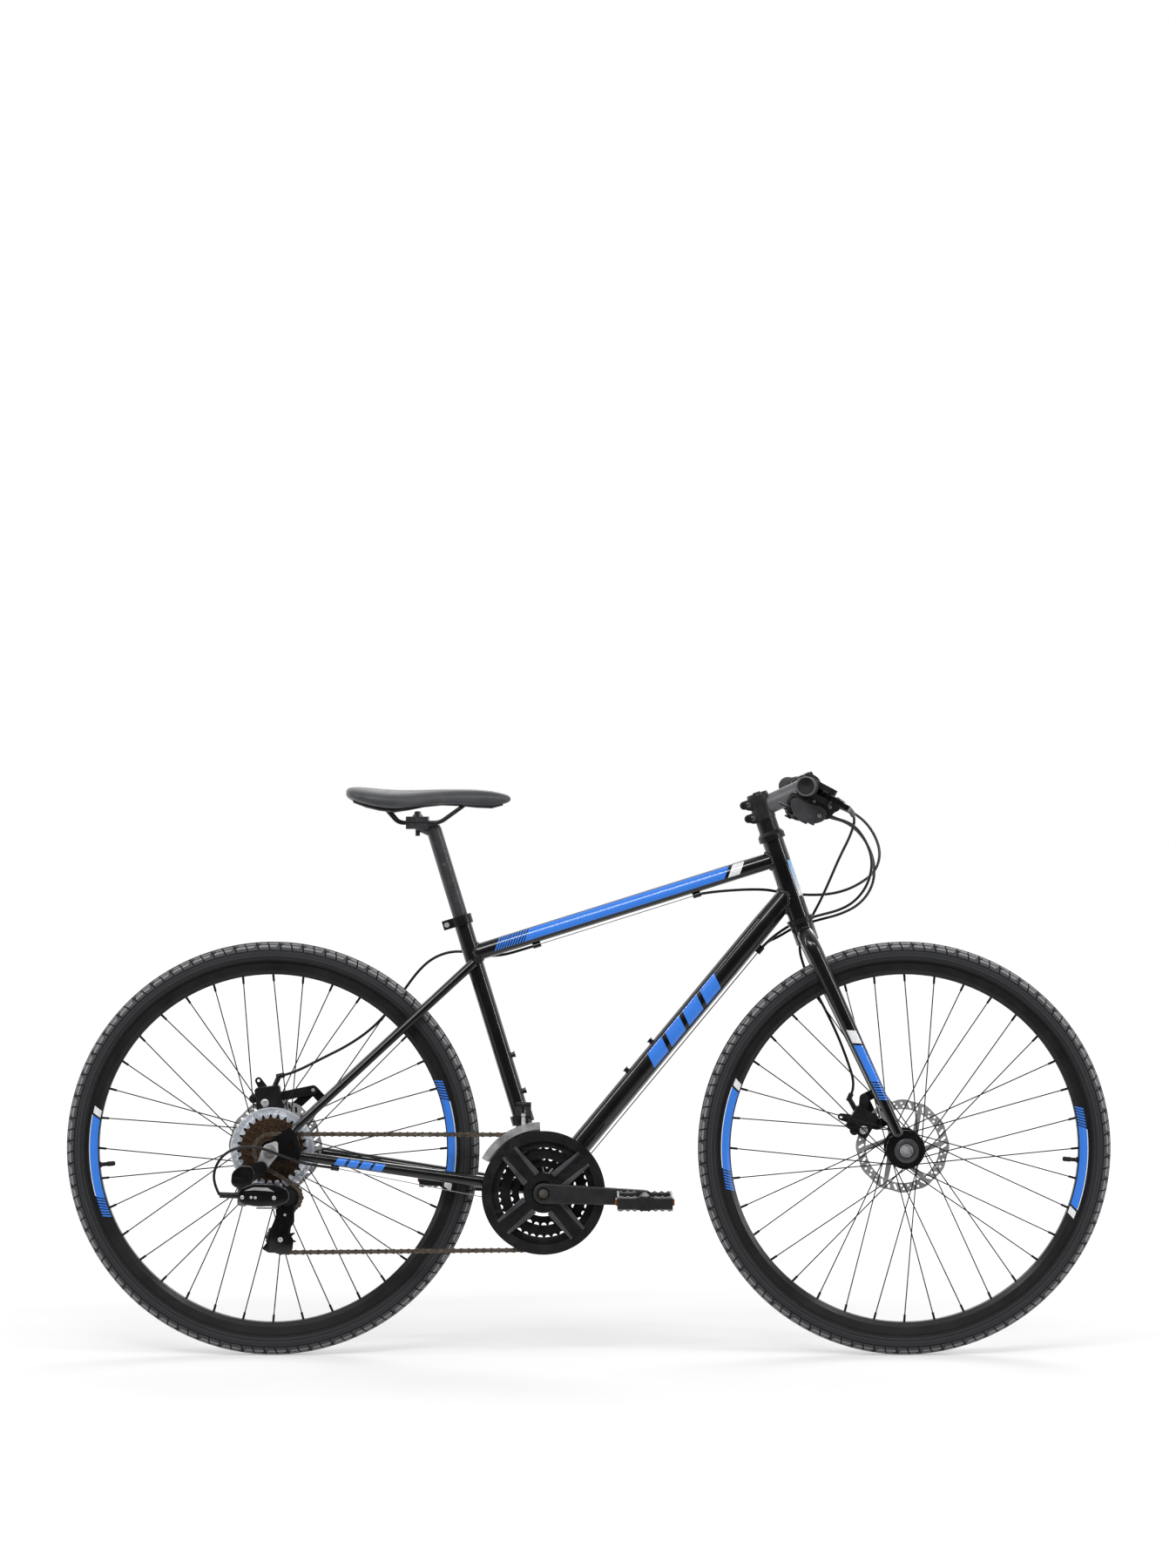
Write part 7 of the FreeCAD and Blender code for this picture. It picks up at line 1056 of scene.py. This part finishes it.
def make_crank_details():
    """Bevelled ribs along both edges of the guard's four arms, painted lighter grey as a highlight, and the
    inner webs of two chainrings.
    """
    first_turn, rib_offset = 40.2, 13
    shape = bmesh.new()
    for arm in range(4):
        turn = math.radians(first_turn + 90 * arm)
        way = Vector((math.cos(turn), math.sin(turn)))
        side = Vector((-way.y, way.x))
        for edge in (-rib_offset, rib_offset):
            line = [BRACKET.xz / MM + way * reach + side * (edge + half)
                    for reach, half in ((31, -4.6), (90, -2.4), (90, 2.4), (31, 4.6))]
            join(shape, finished(cut_plate(line, -70.6, -66.8, 1.2, 2.2)))
    make_piece("guard_arm_ribs", shape, "rib plastic", "crank")
    for name, near, far, inner, outer in (("large_ring_web", -57.9, -56.2, 75.6, 83.5),
                                          ("middle_ring_web", -50.9, -49.2, 56, 63)):
        line = ((near, outer), (near, inner + 0.8), (near + 0.5, inner), (far - 0.5, inner),
                (far, inner + 0.8), (far, outer), (near, outer))
        make_piece(name, turned_about(line, BRACKET, LEFT, 120), "black steel", "crank")


def make_clamp_knob():
    """Domed head of the saddle clamp's bolt, on a washer."""
    line = ((0, 0.9238), (0.0030, 0.9236), (0.0052, 0.9226), (0.0060, 0.9208), (0.0060, 0.9180),
            (0.0085, 0.9178), (0.0088, 0.9160), (0.0086, 0.9140), (0, 0.9140))
    points = [Vector((RAIL_CLAMP.x + radius, 0, height)) for radius, height in line]
    make_piece("saddle_clamp_knob", spun_profile(points, RAIL_CLAMP, (0, 0, 1), 32), "shaded steel", "seat")


def make_stem_covers():
    """Stem neck, and the two lugs of its clamp with their bolts."""
    way = BAR_MIDDLE - STEM_FOOT
    reach = way.length / MM
    line = ((8, 0), (8, 15.2), (12, 16.6), (reach * 0.5, 16.5), (reach - 14, 16.6), (reach - 10, 15.6),
            (reach - 10, 0))
    make_piece("stem_neck_shell", turned_about(line, STEM_FOOT, way.normalized(), 56), "stem satin", "fork")
    for name, outline in (
            ("stem_upper_lug", ((262.5, 934.5), (268.5, 941.5), (284, 946.5), (296, 946), (294, 925.5),
                                (272, 924), (263.5, 927.5))),
            ("stem_lower_lug", ((290, 922.5), (276, 918.5), (269.5, 912), (272, 904), (282, 901.5),
                                (299, 908), (299, 920)))):
        make_piece(name, cut_plate(outline, -12.5, 12.5, 4.5, 3), "satin", "fork")
    # Bolt heads in the grey finish, lighter than the lugs: painted highlight.
    bolts = screw_heads(((271, 934, -12.2, 4.4, 1.8), (279, 911, -12.2, 4.4, 1.8)))
    make_piece("stem_lug_bolts", bolts, "rib plastic", "fork")


def make_bar_covers():
    """Grip-end rings, shifter shells, covers and screws, and the boots of the brake levers."""
    ring = ((-3, 14), (-3, 16.3), (-0.6, 16.3), (0.6, 15.8), (1, 14.9), (0.6, 13.9), (-0.8, 13.4),
            (-3, 14))
    shell = ((356.5, 938), (359, 926), (370, 917.5), (386, 909.5), (401, 911.5), (408, 921.5), (418, 926),
             (419.5, 933), (411, 942), (393, 950), (372, 951))
    cover = ((336, 944), (338, 929), (344, 915), (358, 907), (378, 903.5), (393, 909), (397, 922), (388, 933),
             (366, 938), (348, 948))
    screws = ((384, 917, -150.6, 3.2, 2), (402, 931, -148.6, 2.6, 2), (376, 941, -148.6, 2.4, 2))
    boot_length = 0.050
    for word, side in SIDES:
        make_piece(word + "_grip_end_ring", turned_about(ring, grip_end(side), bar_way(side), 56),
                   "ring rubber", "fork")
        make_piece(word + "_shifter_shell", cut_plate(shell, *sorted((side * 113, side * 149)), 5, 5),
                   "moulded", "fork")
        make_piece(word + "_shifter_cover", cut_plate(cover, *sorted((side * 146.5, side * 151)), 5, 2),
                   "paddle", "fork")
        heads = screw_heads(screws)
        if side > 0:
            bmesh.ops.scale(heads, vec=(1, -1, 1), verts=heads.verts)
            bmesh.ops.reverse_faces(heads, faces=heads.faces)
        make_piece(word + "_shifter_screws", heads, "shaded steel", "fork")
        places = route_points(ROUTES["rear_brake_housing" if side > 0 else "front_brake_housing"])
        boot = [place for place in places if (place - places[0]).length < boot_length]
        radii = [6.2 - 2 * number / len(boot) + 0.35 * (number % 2) for number in range(len(boot))]
        make_piece(word + "_brake_boot", tube_shape(boot, radii), "stem satin", "fork")


def make_pedal_details():
    """Barrel round each pedal's axle, with a flange and a cap, and amber reflectors at the pedal's ends."""
    line = ((90, 0), (90, 11), (93, 11.5), (98, 9.5), (130, 8.6), (164, 9.5), (170, 12), (178, 12.6),
            (181.5, 11), (182.5, 7), (181.5, 6), (181.5, 0))
    lens_size, lens_place, lens_edge = (0.004, 0.046, 0.011), 0.0475, 0.0012
    for word, centre, side in PEDALS:
        foot = Vector((centre.x, 0, centre.z))
        make_piece(word + "_pedal_core", turned_about(line, foot, LEFT * side, 40), "moulded",
                   word + "_pedal")
        for end, way in (("front", 1), ("rear", -1)):
            shape = bmesh.new()
            made = bmesh.ops.create_cube(shape, size=1)["verts"]
            bmesh.ops.scale(shape, verts=made, vec=lens_size)
            bmesh.ops.bevel(shape, geom=shape.edges[:], offset=lens_edge, affect="EDGES", segments=3,
                            profile=0.5, material=-1)
            bmesh.ops.translate(shape, verts=shape.verts, vec=centre + Vector((way * lens_place, 0, 0)))
            make_piece(f"{word}_pedal_{end}_reflector", shape, "amber", word + "_pedal", crease=None)


def make_caliper_details():
    """Silver bolt and ribbed adjuster of each caliper, and the ring on the drive-side fork end, painted grey
    as a highlight on its edge.
    """
    line = [(-9, 0), (-9, 5.5)]
    for rib in range(5):
        line += [(-8 + rib * 3, 7.6), (-6.4 + rib * 3, 7.6), (-6 + rib * 3, 6.8)]
    line += [(9, 7), (9, 0)]
    for name, body, bolt, knob in (("front_caliper", "fork", (469.5, 379, 30.6, 7, 2.6), (454, 44, 377)),
                                   ("rear_caliper", "frame", (-554, 424, 43.1, 7, 2.6), (-574, 56, 431))):
        make_piece(name + "_bolt", screw_heads((bolt,)), "bright steel", body)
        make_piece(name + "_adjuster", turned_about(line, Vector(knob) * MM, LEFT, 32), "cast", body)
    ring = ((58, 12.5), (58.8, 13), (58.8, 17.6), (57.6, 20.2), (55, 20.6), (55, 12.5), (58, 12.5))
    make_piece("fork_end_ring", turned_about(ring, FRONT_AXLE, -LEFT, 56), "rib plastic", "fork")


def make_paddles():
    """Rounded shift paddles on the pods' pivots: a trigger ahead, with a pad, and a thumb paddle behind."""
    paddles = (
        ("trigger", -9.4, -4.8, ((-7, -3), (-3, -8), (8, -6), (24, 2), (34, 10), (33, 20), (25, 22), (12, 17),
                                 (0, 8), (-6, 4))),
        ("thumb_lever", -4.2, -0.6, ((7, -3), (3, -7), (-8, -6), (-24, -1), (-36, 6), (-37, 16), (-28, 20),
                                     (-12, 14), (1, 8), (6, 4))),
        ("trigger_pad", -9.8, -0.9, ((12, 3), (22, 2), (34, 10), (33, 20), (25, 22), (12, 15))),
    )
    for word, side in SIDES:
        pivot = Vector((SHIFT_PIVOT.x, side * SHIFT_PIVOT.y, SHIFT_PIVOT.z))
        up = Vector((SHIFT_AXIS.x, side * SHIFT_AXIS.y, SHIFT_AXIS.z))
        ahead = LEFT.cross(up).normalized()
        place = Matrix.Translation(pivot) @ Matrix((ahead, up, ahead.cross(up))).transposed().to_4x4()
        for name, near, far, outline in paddles:
            shape = cut_plate([(x, side * z) for x, z in outline], near, far, 3, 1.6)
            bmesh.ops.transform(shape, matrix=place, verts=shape.verts)
            node = word + "_" + name.removesuffix("_pad")
            make_piece(f"{word}_{name}_paddle", shape, "cast", node, node)


def make_surround():
    """White surround that dims in reflections from in front of the bike."""
    world = bpy.data.worlds.new("studio")
    scene.world = world
    world.use_nodes = True
    nodes = Nodes(world.node_tree)
    behind = nodes.parts(nodes.add("TexCoord", output="Generated"))[1].ramp(-0.6, 0.5, 0.03)
    seen = nodes.ray("Glossy") | nodes.ray("Transmission")
    background = nodes.tree.nodes["Background"].inputs
    background["Color"].default_value = (1, 1, 1, 1)
    nodes.connect(background["Strength"], nodes.ray("Camera") | seen * (behind - 0.5) + 0.5)


def make_floor():
    """Pale floor that glows softly to the camera and is darker in reflections from in front."""
    shape = bmesh.new()
    bmesh.ops.create_grid(shape, x_segments=1, y_segments=1, size=30)
    mesh = bpy.data.meshes.new("floor")
    shape.to_mesh(mesh)
    shape.free()
    floor = bpy.data.objects.new("floor", mesh)
    scene.collection.objects.link(floor)
    skin = Finish("pale_floor", 0.9, specular=0, Emission_Color=(1, 1, 1, 1))
    place = skin.place()
    pale = skin.parts(place)[1].ramp(-1.3, 0.1)
    reflected = skin.ray("Glossy") | skin.ray("Transmission")
    colour = (reflected * (1 - pale)).tint((0.62, 0.62), (0.03, 0.03))
    glow = skin.add("VectorMath", {0: place}, output="Value", operation="LENGTH").ramp(0.8, 5, 0.34, 0.75)
    skin.connect(skin.inputs["Base Color"], colour)
    skin.connect(skin.inputs["Emission Strength"], (skin.ray("Camera") | reflected * pale) * glow)
    mesh.materials.append(skin.material)


def make_lamps():
    """Soft lamps: place, height of the aim over the origin, size and power of each."""
    for name, place, aim, size, power in (("key", (-1.6, -3.6, 3.6), 0.55, (3, 1.2), 66),
                                          ("strip", (0.6, -2.2, 2.9), 0.6, (4, 0.16), 34),
                                          ("rim", (1.2, 3.2, 3), 0.6, (3, 1.4), 66),
                                          ("right_strip", (3.8, -1.6, 1.5), 0.6, (0.26, 2.8), 34),
                                          ("left_strip", (-3.6, -1.2, 2.4), 0.6, (0.20, 2.8), 28)):
        data = bpy.data.lights.new(name, "AREA")
        data.shape = "RECTANGLE"
        data.size, data.size_y = size
        data.energy = power
        lamp = bpy.data.objects.new(name, data)
        scene.collection.objects.link(lamp)
        lamp.location = place
        lamp.rotation_euler = (Vector((0, 0, aim)) - Vector(place)).to_track_quat("-Z", "Y").to_euler()


camera_at_photograph()
FINISHES = make_finishes()
make_cables()
dress_nodes()
for wheel, axle, valve_angle, print_angle in WHEELS:
    make_tyre(wheel, axle)
    make_valve(wheel, axle, valve_angle)
make_grips()
make_saddle()
make_welds()
make_derailleur_covers()
make_crank_details()
make_clamp_knob()
make_stem_covers()
make_bar_covers()
make_pedal_details()
make_caliper_details()
make_paddles()
scene.view_settings.view_transform = "Standard"
make_surround()
make_floor()
make_lamps()
